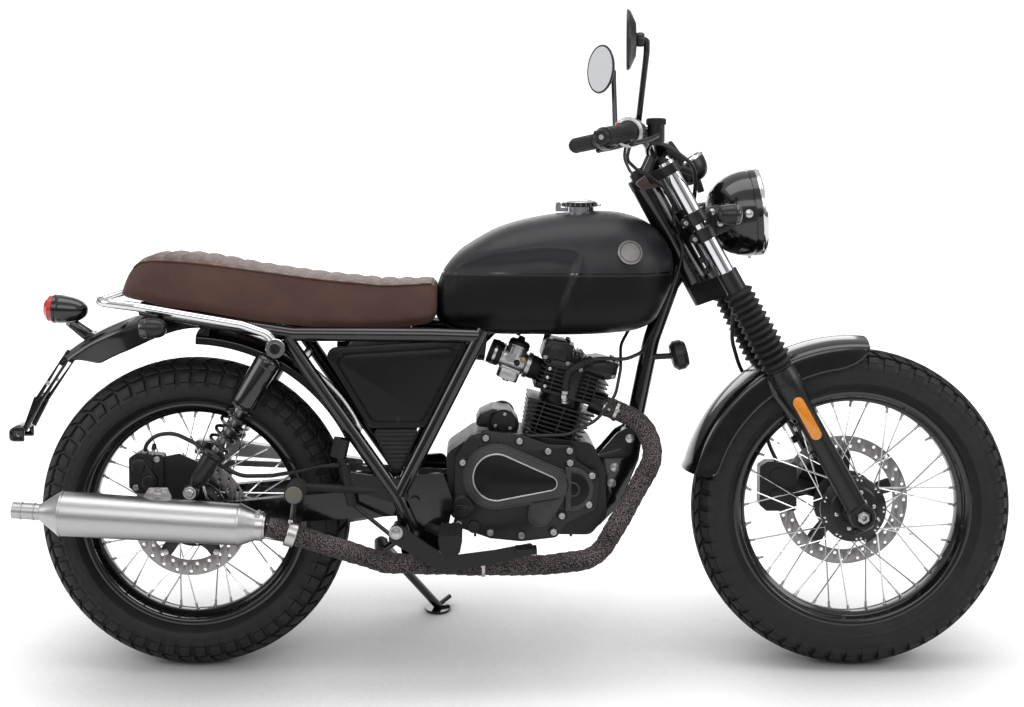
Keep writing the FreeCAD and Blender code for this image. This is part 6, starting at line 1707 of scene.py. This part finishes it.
def make_carburetor():
    """Slide carburettor: bright body, float bowl with screws, black cap, rubber boots and clamps."""
    form = Form()
    way = Vector((0.93, 0, -0.37)).normalized()
    up = Vector((0.37, 0, 0.93)).normalized()
    centre = Vector((640, 0, 617))
    turned(form, centre - way * 52, way, (
        ([(0, 0), (24, 0), (25, 3), (25, 22), (23, 25), (0, 25)], 40, 1),
        ([(24.8, 8), (26.4, 8.6), (26.4, 14), (24.8, 14.6)], 40, 2),
        ([(0, 22), (21, 22), (22, 26), (22, 74), (20, 78), (0, 78)], 40, 0),
        ([(0, 78), (27, 78), (27, 86), (0, 86)], 36, 0),
        ([(0, 84), (24, 84), (24, 98), (0, 98)], 36, 1)))
    turned(form, centre, up, (
        ([(0, -6), (21, -6), (21, 26), (22.5, 27), (22.5, 31), (0, 31)], 40, 0),
        ([(0, 31), (21.5, 31), (21.5, 37), (18, 41), (8, 43), (6, 50), (0, 50)], 40, 1)))
    place = frame_along(centre, -up, way)
    slab(form, [rounded(box_outline(-24, -22, 24, 22), 7)], place, 16, 21, 0.8, 0)
    slab(form, [rounded(box_outline(-22, -20, 22, 20), 9)], place, 20, 42, 3.0, 0)
    lathe(form, [(0, 41), (7, 41), (7, 46), (0, 46)], centre, -up, 20, 2)
    for a in (-19, 19):
        for b in (-17, 17):
            bolt(form, place @ Vector((a, b, 21)), -up, 3.0, 2.5, 2, "dome")
    for shift in (-12, 0, 12):
        rib = frame_along(centre + way * shift, up, way)
        slab(form, [rounded(box_outline(-14, -24, -11, 24), 1)], rib, -4, 24, 0.4, 0)
    knob = centre + Vector((6, -20, -4))
    rod(form, knob, knob + Vector((0, -14, 0)), 6.0, 20, 1, 1.0)
    lathe(form, [(0, 0), (9, 0), (9, 3), (0, 3)], centre + Vector((-8, -21, 6)), (0, -1, 0), 24, 2)
    jet = centre + way * 20 + Vector((0, -18, 10))
    rod(form, jet, jet + Vector((0, -8, 0)), 5, 18, 3, 0.8)
    piece = make_piece("carburetor_body", form, "frame", ["cast_alloy", "rubber", "steel", "brass"],
                       32.0)
    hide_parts("carburetor")


# Exhaust

HEADER_POINTS = [(818, -44, 530), (892, -56, 501), (920, -84, 440), (846, -116, 318), (800, -124, 240),
                 (700, -130, 230), (560, -136, 230), (390, -156, 240), (290, -176, 276), (166, -192, 319)]


def resampled(path, step):
    """Evenly spaced points along a path."""
    points = [path[0].copy()]
    spare = 0.0
    for a, b in zip(path, path[1:]):
        length = (b - a).length
        while spare + step <= length:
            spare += step
            points.append(a.lerp(b, spare / length))
        spare -= length
    points.append(path[-1].copy())
    return points


def make_header():
    """Exhaust header wound with overlapping heat wrap, with wire ties, a clamp and its hanger."""
    form = Form()
    step = 2.0
    path = resampled(bent_path(HEADER_POINTS, 70.0, 12), step)
    steps = 44
    pitch = 21.0
    radius = 18.8
    points = []
    for i, (here, side, other) in enumerate(frames_along(path)):
        for k in range(steps):
            angle = 2 * math.pi * k / steps
            turn = (i * step / pitch - k / steps + 0.06 * math.sin(i * 0.021)) % 1.0
            lap = 1.5 * turn - 1.1 * eased(turn, 0.90, 1.0)
            swell = 0.5 * math.sin(i * 0.13 + 2.0 * math.sin(i * 0.017))
            swell += 0.35 * math.sin(3 * angle + i * 0.05)
            points.append(here + (side * math.cos(angle) + other * math.sin(angle)) * (radius + lap + swell))
    form.add(points, tube_faces(len(path), steps))
    for index, width in ((14, 3), (300, 3), (len(path) - 26, 4)):
        here = path[index]
        tie = [(20.6, -width), (21.9, -width), (21.9, width), (20.6, width)]
        lathe(form, tie, here, (path[index + 1] - path[index - 1]).normalized(), 40, 1, True)
        bolt(form, here + Vector((0, -21, 4)), (0, -1, 0), 3.5, 3.0, 1)
    band = Vector((211, -187.5, 304))
    way = (Vector((166, -192, 319)) - Vector((222, -186, 300))).normalized()
    lathe(form, [(21, -9), (24.4, -9), (25, -8), (25, 8), (24.4, 9), (21, 9)], band, way, 48, 1, True)
    rod(form, band + Vector((0, -10, 24)), band + Vector((0, 12, 26)), 5.0, 18, 1, 1.0)
    tube(form, [(211, -185, 322), (214, -178, 350), (222, -166, 384)], 6.0, 16, 2)
    piece = make_piece("header_wrapped", form, "frame", ["wrap", "steel", "gloss_black"],
                       28.0)
    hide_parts("exhaust_header")


def make_muffler():
    """Brushed muffler: rolled seams, cones, a long drum, a ringed tail pipe and its bracket."""
    form = Form()
    front = Vector((163.0, -192.0, 319.0))
    axis = Vector((-317.0, -196.0, 351.0)) - front
    length = axis.length
    drum = [(0, 0), (21.5, 0), (23.6, 0.6), (24, 3), (24.4, 10), (39.0, 46.0), (40.2, 48.4), (40.6, 50.5),
            (39.6, 52.5), (39.5, 55)]
    drum += [(39.5 + 3.0 * k / 6, 55 + 54.5 * k) for k in range(1, 7)]
    drum += [(42.5, 384.5), (43.4, 386), (43.4, 388.5), (42.2, 390.4), (41.2, 391.5), (17.6, 425.5),
             (16.4, 428),
             (15.5, 429), (15.5, length - 1), (14.9, length), (13.0, length), (12.5, length - 1), (12.5, 404),
             (0, 402)]
    turned(form, front, axis, (
        (drum, 128, 0),
        ([(15.5, 438), (16.5, 438.8), (16.5, 440.2), (15.5, 441)], 64, 0),
        ([(15.5, 462), (16.5, 462.8), (16.5, 464.2), (15.5, 465)], 64, 0),
        ([(12.4, length - 0.5), (12.4, 403), (0, 402.5)], 48, 1),
        ([(24.2, 6), (27.0, 6.6), (27.0, 20), (28.6, 20)], 64, 0),
        ([(24.2, 4), (27.4, 4.4), (27.8, 6), (27.8, 20), (27.4, 21.6), (24.2, 22)], 64, 2, True)))
    strap = front + axis.normalized() * 13
    rod(form, strap + Vector((0, 12, 24)), strap + Vector((0, -14, 25)), 5.0, 18, 2, 1.0)
    bolt(form, strap + Vector((0, -14, 25)), (0, -1, 0), 5.0, 5.0, 2)
    side_plate(form, [(-72, 372), (-60, 392), (-24, 392), (-14, 370)], -186.0, -181.0, 4.0, 0.8, 2,
               [(-42, 384, 4.5)])
    side_bolts(form, [(-42, 384)], -186.0, 7.0, 5.0, 2)
    piece = make_piece("muffler_drum", form, "frame", ["muffler_metal", "cast_black", "steel"],
                       28.0)
    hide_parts("muffler")


# Rear suspension, covers and fittings

SHOCK_TOP = Vector((179, 140, 655))
SHOCK_FOOT = Vector((13, 140, 376))
DOWNTUBE_BEND = fork_point(490.0, -137.9, 0)
GRIP_INNER = Vector((841.4, -266.3, 1064.9))
GRIP_INWARD = Vector((0.4455, 0.891, 0.0891))
TAIL_LAMP_BASE = Vector((-228, 0, 716))
TAIL_LAMP_WAY = Vector((-1, 0, 0.06))


def coil(form, base, axis, radius, wire, start, pitch, turns):
    """A helical spring about an axis."""
    place = frame_along(base, axis)
    steps = 22
    path = []
    for k in range(turns * steps + 1):
        path.append(place @ Vector((*polar(radius, 2 * math.pi * k / steps), start + pitch * k / steps)))
    tube(form, path, wire, 8)


def make_shocks():
    """Twin shock absorbers: a gloss shroud, open coils round the damper, a spring seat and both eyes."""
    form = Form()
    axis = SHOCK_FOOT - SHOCK_TOP
    length = axis.length
    turned(form, SHOCK_TOP, axis, (
        ([(0, 8), (10, 8), (11, 20), (20, 23), (24, 27), (25, 31), (25, 122), (24.4, 126), (22, 128),
          (12, 128)], 48),
        ([(25, 40), (25.6, 40.6), (25.6, 43.4), (25, 44)], 48),
        ([(9.5, 100), (9.5, length - 80)], 24, 1)))
    coil(form, SHOCK_TOP, axis, 21.8, 3.3, 127.0, 21.0, 5)
    seat = length - 92
    lathe(form, [(10, seat), (23, seat), (25, seat + 2), (25, seat + 9), (22, seat + 12), (18.5, seat + 14),
                 (18.5, length - 30), (16, length - 22), (10, length - 10), (0, length - 10)], SHOCK_TOP,
          axis, 48, 2)
    for centre in (SHOCK_TOP, SHOCK_FOOT):
        rod(form, centre + Vector((0, -13, 0)), centre + Vector((0, 13, 0)), 15, 36, 2, 1.5)
        lathe(form, [(6, 12.5), (11, 12.5), (11, 14), (6, 14)], centre, (0, 1, 0), 32, 3)
    lathe(form, [(0, 16), (12, 16), (12.5, 16.6), (12.5, 18.4), (12, 19), (8, 19), (8, 24), (6.5, 25.5),
                 (0, 25.5)],
          SHOCK_FOOT, (0, 1, 0), 36, 4)
    piece = make_piece("shock_absorbers", form.with_mirror(), "frame",
                       ["gloss_black", "dark_steel", "satin_black", "rubber", "steel"], 35.0)
    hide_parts("shocks")


def make_rail_eyes():
    """Flattened chrome eyes of the grab rail round black socket bolts, over the shock mounts."""
    form = Form()
    lathe(form, [(15.4, -14), (18.2, -14), (19, -12.5), (19, 2.4), (18, 3.6), (9, 3.6)],
          SHOCK_TOP + Vector((0, 13, 0)),
          (0, 1, 0), 48, 0)
    bolt(form, SHOCK_TOP + Vector((0, 15, 0)), (0, 1, 0), 10.5, 8.0, 1, "socket")
    make_piece("rail_eyes", form.with_mirror(), "frame", ["chrome", "satin_black"], 35.0)


def shrunk(outline, share):
    """An outline scaled about its middle."""
    cx = sum(x for x, z in outline) / len(outline)
    cz = sum(z for x, z in outline) / len(outline)
    return [(cx + (x - cx) * share, cz + (z - cz) * share) for x, z in outline]


def make_side_covers():
    """Triangular side covers with a raised rim line, and the ribbed covers below them."""
    form = Form()
    outline = [(262, 652), (560, 670), (468, 496), (356, 496)]
    side_plate(form, outline, 106, 119, 18.0, 3.5)
    rim = shrunk(outline, 0.90)
    round_plate(form, rounded(rim, 18.0), 118.0, 122.5, 1.4, 0, [rounded(shrunk(rim, 0.955), 16.0)])
    side_plate(form, shrunk(rim, 0.90), 118.0, 121.0, 15.0, 2.0)
    side_bolts(form, ((300, 640), (530, 654), (412, 512)), 120.4, 5.0, 2.6, 1, "socket")
    piece = make_piece("side_covers", form.with_mirror(), "frame", ["panel_black", "satin_black"],
                       30.0)
    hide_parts("side_panels")
    ribbed = Form()
    side_plate(ribbed, [(360, 492), (456, 492), (421, 412), (396, 412)], 98, 105, 9.0, 2.0)
    for k in range(8):
        z = 421 + 8.5 * k
        share = (z - 412) / 80
        rib = [(399 - 36 * share, z), (418 + 34 * share, z), (419 + 34 * share, z + 4),
               (398 - 36 * share, z + 4)]
        side_plate(ribbed, rib, 104, 108.5, 1.8, 1.2)
    make_piece("ribbed_covers", ribbed.with_mirror(), "frame", ["plastic"], 30.0)


def make_rear_fittings():
    """Axle nuts, chain adjusters, caliper bolts, the pedal's pivot, and rings and ends on the pegs."""
    form = Form()
    side_plate(form, [(-40, 299), (-40, 323), (26, 325), (26, 301)], 105.6, 109, 5.0, 0.8)
    bolt(form, (0, 109, REAR_TYRE_R), (0, 1, 0), 13.0, 9.0)
    rod(form, (-58, 98, 311), (-34, 98, 311), 3.0, 12, 0, 0.6)
    bolt(form, (-46, 98, 311), (-1, 0, 0), 5.5, 4.0)
    both = form.with_mirror()
    side_bolts(both, ((-104, 374), (-62, 430)), -90, 6.0, 4.5, 0, "socket")
    pivot = (411, -184, 305)
    bolt(both, pivot, (0, -1, 0), 9.0, 5.0)
    lathe(both, [(9.5, -1), (13, -1), (13.6, 0), (13, 1.2), (9.5, 1.2)], pivot, (0, -1, 0), 32)
    make_piece("rear_fittings", both, "frame", ["steel"], 30.0)
    pegs = Form()
    end_disc = [(0, 0), (15.5, 0), (16.2, 0.6), (16.2, 1.6), (14.8, 2.6), (0, 2.6)]
    lathe(pegs, end_disc, (222, 235.6, 388), (0, 1, 0), 40, 0)
    for k in range(9):
        ring = [(17.6, 2), (19.2, 3), (19.2, 5.4), (17.6, 6.4)]
        lathe(pegs, ring, (222, 164 + 7.6 * k, 388), (0, 1, 0), 28, 1)
    for x in (500, 510, 520, 530):
        rod(pegs, (x, 180, 322), (x, 286, 322), 2.6, 10, 1, 0.6)
    make_piece("peg_details", pegs.with_mirror(), "frame", ["olive_metal", "rubber"], 35.0)


def make_tail_details():
    """Reflector and bolts on the plate carrier, and the lamp's rim."""
    form = Form()
    place = frame_along((-362, 0, 469), (-1, 0, 0), (0, 1, 0))
    slab(form, [rounded([(-36, -12), (36, -12), (36, 12), (-36, 12)], 4.0)], place, 0.0, 5.0, 1.0, 0)
    slab(form, [rounded([(-33, -9), (33, -9), (33, 9), (-33, 9)], 3.0)], place, 4.6, 7.4, 0.8, 1)
    for y in (-20, 20):
        bolt(form, (-345, y, 481.6), (0, 0, 1), 4.5, 3.2, 2, "hex")
    lathe(form, [(26.8, 50), (28.8, 50.5), (29.2, 52), (29.2, 55.5), (28, 57), (27, 57)], TAIL_LAMP_BASE,
          TAIL_LAMP_WAY, 48, 0)
    make_piece("tail_details", form, "frame", ["gloss_black", "red", "steel"], 35.0)


def make_front_details():
    """Horn rim on the downtube."""
    form = Form()
    base = DOWNTUBE_BEND + Vector((39, -16, -32))
    lathe(form, [(0, 29.6), (17, 29.8), (18, 31.4), (23, 31.6), (25, 30.2), (25.5, 28), (24.4, 27.4)], base,
          (0.97, 0, 0.24), 40, 0)
    lathe(form, [(0, 30.0), (6, 31.0), (10, 32.4), (14, 31.0), (16, 30.0)], base, (0.97, 0, 0.24), 40, 1)
    make_piece("horn_rim", form, "frame", ["satin_black", "steel"], 35.0)


def make_steering_details():
    """Ignition switch by the upper clamp, the throttle's pale ring and the clamps' bolts."""
    form = Form()
    side_plate(form, [(878, 972), (902, 990), (931, 966), (894, 957)], -58, -30, 5.0, 1.8, 0)
    lathe(form, [(17.5, 0), (26, 0), (28.5, 1.6), (28.5, 12.5), (26.5, 14.5), (17.5, 14.5)],
          GRIP_INNER + GRIP_INWARD * 2, GRIP_INWARD, 48, 1)
    for side in (-1, 1):
        for low in (566, 590):
            foot = fork_point(low, FORK_OFFSET - 26, side * (FORK_HALF_W - 24))
            bolt(form, foot, -FORK_AHEAD, 6.5, 5.0, 2, "socket")
    make_piece("steering_details", form, "steering", ["rust_brown", "cast_alloy", "satin_black"],
               35.0)


def make_stand_spring():
    """Return spring beside the side stand's leg."""
    joint = JOINTS["side_stand_fold"]
    inverse = BIKE.inverted()
    pivot = inverse @ Vector(joint["pos_m"])
    axis = (inverse.to_3x3() @ Vector(joint["axis"])).normalized()
    foot = Vector((482, 240, 52))
    way = (foot - pivot).normalized()
    form = Form()
    side = pivot + axis * 13
    coil(form, side + way * 26, way, 5.6, 1.3, 0.0, 3.4, 18)
    rod(form, side + way * 6, side + way * 28, 1.4, 8)
    rod(form, side + way * 86, side + way * 104, 1.4, 8)
    make_piece("stand_spring", form, "side_stand", ["steel"], 35.0)


def make_cap_lid():
    """Low polished filler lid with a dark notched skirt, a pull tab and its hinge strap."""
    form = Form()
    base = Vector((772, 0, 924))
    turned(form, base, (0, 0, 1), (
        ([(0, 0.6), (34.2, 0.6), (34.8, 1.2), (34.8, 7.4)], 72, 1),
        ([(34.2, 6.6), (36.6, 6.8), (37.4, 7.8), (37.4, 9.4), (36.2, 10.6), (30, 13.2), (20, 15.6),
          (10, 16.8),
          (0, 17.2)], 72, 0)))
    for k in range(20):
        out = Vector((*polar(1, 2 * math.pi * k / 20), 0))
        notch = base + out * 34.4
        rod(form, notch + Vector((0, 0, 1.4)), notch + Vector((0, 0, 6.6)), 1.9, 10, 0, 0.4)
    place = Matrix.Translation((772, 0, 0))
    slab(form, [rounded(box_outline(-44, -5.6, -30, 5.6), 2.0)], place, 927, 932, 0.6)
    rod(form, (729, -5.6, 929), (729, 5.6, 929), 5.4, 24, 0, 0.5)
    slab(form, [rounded(box_outline(32, -5, 43, 5), 2.4)], place, 925.4, 929.6, 0.6)
    piece = make_piece("fuel_cap_lid", form, "fuel_cap", ["chrome", "satin_black"], 35.0)
    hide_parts("fuel_cap")


def guard(form, radius, start, end, half_of, drop_of, crown):
    """A closed mudguard shell about the rear axle; its half width and depth change along it."""
    axle = WHEELS["rear"]["axle"]
    rows = 56
    columns = 32
    points = []
    for i in range(rows + 1):
        share = i / rows
        angle = math.radians(start + (end - start) * share)
        half = half_of(share)
        drop = max(crown + 0.5, drop_of(share))
        layers = []
        for shrink in (0.0, GUARD_WALL):
            layer = []
            for j in range(columns + 1):
                t = 2.0 * j / columns - 1.0
                depth, y = guard_section(t, half, crown, drop)
                x, z = polar(radius - depth - shrink, angle)
                layer.append(axle + Vector((x, math.copysign(y * ((half - shrink) / half), t), z)))
            layers.append(layer)
        points += layers[0] + layers[1][::-1]
    count = 2 * (columns + 1)
    faces = grid_faces(rows + 1, count, False, True)
    last = rows * count
    for j in range(columns):
        faces.append((j, j + 1, count - 2 - j, count - 1 - j))
        faces.append((last + count - 1 - j, last + count - 2 - j, last + j + 1, last + j))
    form.add(points, faces)


def make_rear_guards():
    """Leaf-shaped tail mudguard with a narrow tip, the inner guard ahead of it and the wall between."""
    form = Form()
    guard(form, 412.0, 84.0, 128.4, lambda s: 74.0 - 24.0 * eased(s, 0.55, 1.0),
          lambda s: 36.0 + 24.0 * eased(s, 0.05, 0.62) - 37.0 * eased(s, 0.80, 1.0), 21.0)
    guard(form, 372.0, 26.0, 88.0, lambda s: 74.0, lambda s: 28.0, 16.0)
    low = math.radians(84.0)
    high = math.radians(86.0)
    corners = sweep(0, REAR_TYRE_R, 350, (low, high)) + sweep(0, REAR_TYRE_R, 408, (high, low))
    side_plate(form, corners, -70.0, 70.0, 0.5, 0.4)
    piece = make_piece("tail_guards", form, "frame", ["gloss_black"], 42.0)
    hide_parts("rear_fender")


def make_tail_lamp():
    """Bullet-shaped lamp housing with a rolled rim on a pair of bent legs."""
    form = Form()
    lathe(form, [(0, -12), (6, -11.2), (12, -8), (17.5, -2), (22, 7), (25.4, 18), (27.4, 30), (28.4, 42),
                 (28.4, 49),
                 (27.6, 50.4), (27.6, 52), (0, 52)], TAIL_LAMP_BASE, TAIL_LAMP_WAY, 64, 0)
    for side in (-1, 1):
        side_plate(form, [(-262, 692), (-240, 694), (-203, 669), (-219, 656)], side * 12.0, side * 15.5,
                   3.0, 0.8)
        side_bolts(form, [(-252, 689)], side * 15.5, 3.6, 2.6, 1, "socket")
    side_plate(form, [(-224, 662), (-206, 674), (-196, 668), (-214, 656)], -20.0, 20.0, 2.0, 0.8)
    piece = make_piece("tail_lamp_bullet", form, "frame", ["gloss_black", "steel"], 36.0)
    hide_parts("tail_light")


def make_plate_carrier():
    """Open pressed-steel plate carrier: two pairs of thin struts, cross strips and the plate's channel."""
    form = Form()
    for side in (-1, 1):
        side_plates(form, side * 30.0, side * 33.5, (
            ([(-238, 634), (-250, 641), (-270, 612), (-256, 604)], 3.0, 0.6, 0, [(-256, 622, 3.0)]),
            ([(-262, 618), (-269, 613), (-317, 541), (-309, 538)], 1.0, 0.6),
            ([(-250, 614), (-257, 609), (-312, 534), (-305, 531)], 1.0, 0.6),
            ([(-302, 548), (-318, 545), (-342, 480), (-333, 476), (-306, 528)], 2.0, 0.6)))
        side_plate(form, [(-338, 456), (-338, 482), (-362, 482), (-362, 456)], side * 33.5, side * 37.0,
                   3.0, 0.6, 0,
                   [(-350, 469, 3.5)])
        side_bolts(form, [(-290, 573)], side * 33.5, 3.6, 3.0, 1)
    side_plates(form, -31.0, 31.0, (
        ([(-240, 635), (-249, 640), (-262, 620), (-253, 614)], 1.5, 0.5),
        ([(-302, 546), (-306, 548), (-318, 528), (-314, 526)], 0.6, 0.4)))
    side_plates(form, -37.0, 37.0, (
        ([(-333, 484), (-362, 484), (-362, 480.5), (-333, 480.5)], 0.6, 0.4),
        ([(-358.5, 457), (-362, 457), (-362, 482), (-358.5, 482)], 0.6, 0.4)))
    piece = make_piece("plate_carrier", form, "frame", ["gloss_black", "steel"], 32.0)
    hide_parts("plate_bracket")


def make_caliper_bosses():
    """Rounded cylinder bosses, bleed screw and cross bolts on the rear caliper's outer face."""
    form = Form()
    round_plate(form, two_circle_hull(-98, 416, 17, -78, 386, 17), -86.0, -96.0, 4.0, 0)
    for x, z in ((-98, 416), (-78, 386)):
        lathe(form, [(0, 94), (12.5, 94), (12.5, 98.5), (11, 100), (7.5, 100), (7.5, 98.6), (0, 98.6)],
              (x, 0, z),
              (0, -1, 0), 36, 0)
    rod(form, (-72, -88, 438), (-68, -88, 456), 3.4, 16, 1, 0.8)
    rod(form, (-70, -88, 448), (-67.5, -88, 460), 4.4, 16, 2, 1.2)
    lathe(form, [(0, -6), (7.5, -6), (7.5, 4), (5.5, 6), (0, 6)], (-88, -79, 442), (0, 0, 1), 24, 1)
    make_piece("caliper_bosses", form, "frame", ["cast_black", "steel", "rubber"], 34.0)


# Stage

WORLD_LIGHT = 0.36


def make_floor():
    """A wide pale floor that keeps the object's shadow, is darkened further near the bike by a painted
    contact shadow, and turns into a white background further out.
    """
    half = 40.0
    mesh = bpy.data.meshes.new("floor")
    mesh.from_pydata([(x, y, 0) for x, y in box_outline(-half, -half, half, half)], [], [(0, 1, 2, 3)])
    floor = placed("floor", mesh)
    material, tree, shader = new_material("floor_pale", (0.50, 0.50, 0.50), 0.95, specular=0.1)
    reach = node(tree, "ShaderNodeVectorMath", operation="LENGTH")
    tree.links.new(object_space(tree), reach.inputs[0])
    near = 1.3
    far = 3.2
    fade = mapped(tree, reach.outputs["Value"], (near, far), (0.80, 1.0), "SMOOTHSTEP")
    # Painted contact shadow: the floor's glow is cut where ambient occlusion finds the bike close by, under
    # the tyres and the engine.
    painted_contact_shadow = node(tree, "ShaderNodeAmbientOcclusion", Distance=0.42, samples=12)
    glow = reckon(tree, "MULTIPLY", fade, reckon(tree, "POWER", painted_contact_shadow.outputs["AO"], 3.3))
    set_glow(shader, (1.0, 1.0, 1.0), 1.0)
    tree.links.new(seen_directly(tree, glow), shader.inputs["Emission Strength"])
    mesh.materials.append(material)


def seen_directly(tree, value):
    """A value that counts only for what the camera sees, also in a mirror or through glass."""
    ray = tree.nodes.new("ShaderNodeLightPath").outputs
    seen = reckon(tree, "MAXIMUM", ray["Is Camera Ray"], ray["Is Glossy Ray"])
    seen = reckon(tree, "MAXIMUM", seen, ray["Is Transmission Ray"])
    return reckon(tree, "MULTIPLY", seen, value)


def make_world():
    """A pale surrounding: white to the camera, dimmer as a light, darker near the horizon in gloss."""
    world = bpy.data.worlds.new("studio")
    bpy.context.scene.world = world
    world.use_nodes = True
    tree = world.node_tree
    background = tree.nodes["Background"]
    background.inputs["Color"].default_value = (1.0, 1.0, 1.0, 1.0)
    ray = tree.nodes.new("ShaderNodeLightPath").outputs
    way = tree.nodes.new("ShaderNodeTexCoord").outputs["Generated"]
    rise = node(tree, "ShaderNodeSeparateXYZ", Vector=way).outputs["Z"]
    gloss = mapped(tree, rise, (0.02, 0.55), (0.16, 0.85), "SMOOTHSTEP")
    lit = mapped(tree, ray["Is Glossy Ray"], (0.0, 1.0), (WORLD_LIGHT, gloss))
    clear = reckon(tree, "MAXIMUM", ray["Is Camera Ray"], ray["Is Transmission Ray"])
    tree.links.new(mapped(tree, clear, (0.0, 1.0), (lit, 1.0)), background.inputs["Strength"])


def area_lamp(name, place, target, width, height, power):
    """A soft box aimed at a point, given in bike millimetres."""
    data = bpy.data.lights.new(name, "AREA")
    data.energy = power
    data.shape = "RECTANGLE"
    data.size = width
    data.size_y = height
    lamp = placed(name, data)
    lamp.location = BIKE @ Vector(place)
    way = (BIKE @ Vector(target)) - lamp.location
    lamp.rotation_euler = way.to_track_quat("-Z", "Y").to_euler()


def make_lights():
    """Large soft boxes above, in front, behind and at both ends."""
    area_lamp("top_box", (660, -300, 3300), (660, 0, 500), 3.4, 1.6, 48.0)
    area_lamp("front_box", (500, -3600, 2400), (660, 0, 600), 3.2, 1.6, 38.0)
    area_lamp("tail_box", (-2300, -1200, 1700), (300, 0, 500), 1.8, 1.4, 26.0)
    area_lamp("nose_box", (3600, -1200, 1900), (1100, 0, 600), 1.8, 1.4, 26.0)
    area_lamp("far_box", (660, 3400, 2300), (660, 0, 600), 3.2, 1.6, 40.0)


def make_camera():
    """The photograph's view: level along the bike's own axle direction, three degrees down."""
    focal_px = 1595.35
    picture_w = 1024.0
    eye = Vector((554.451, -3200.0, 979.471))
    pitch = math.radians(3.0)
    data = bpy.data.cameras.new("photo_camera")
    data.sensor_width = 36.0
    data.lens = data.sensor_width * focal_px / picture_w
    data.shift_x = 0.040
    data.shift_y = -0.0886
    data.clip_end = 200.0
    camera = placed("photo_camera", data)
    look = Matrix.Rotation(math.radians(90.0) - pitch, 4, "X")
    camera.matrix_world = Matrix.Translation(BIKE @ eye) @ (BIKE_TURN.to_4x4() @ look)
    bpy.context.scene.camera = camera


bpy.context.scene.view_settings.view_transform = "Standard"
dress_cad()
for which in ("front", "rear"):
    make_tyre(which)
    make_rim(which)
    make_spokes(which)
    make_hub(which)
    make_disc(which)
for make in (make_tank, make_badge, make_seat, make_sliders, make_fork_reflectors, make_gaiters, make_lamp,
             make_speedo, make_grips, make_controls, make_mirror_glass, make_blinkers,
             make_front_fender, make_cylinder, make_head, make_plug, make_cover, make_case_details,
             make_front_plates, make_carburetor, make_header, make_muffler, make_shocks, make_rail_eyes,
             make_side_covers, make_rear_fittings, make_tail_details, make_front_details,
             make_steering_details, make_stand_spring, make_cap_lid, make_rear_guards, make_tail_lamp,
             make_plate_carrier, make_caliper_bosses, make_floor, make_world, make_lights, make_camera):
    make()

bpy.context.view_layer.update()
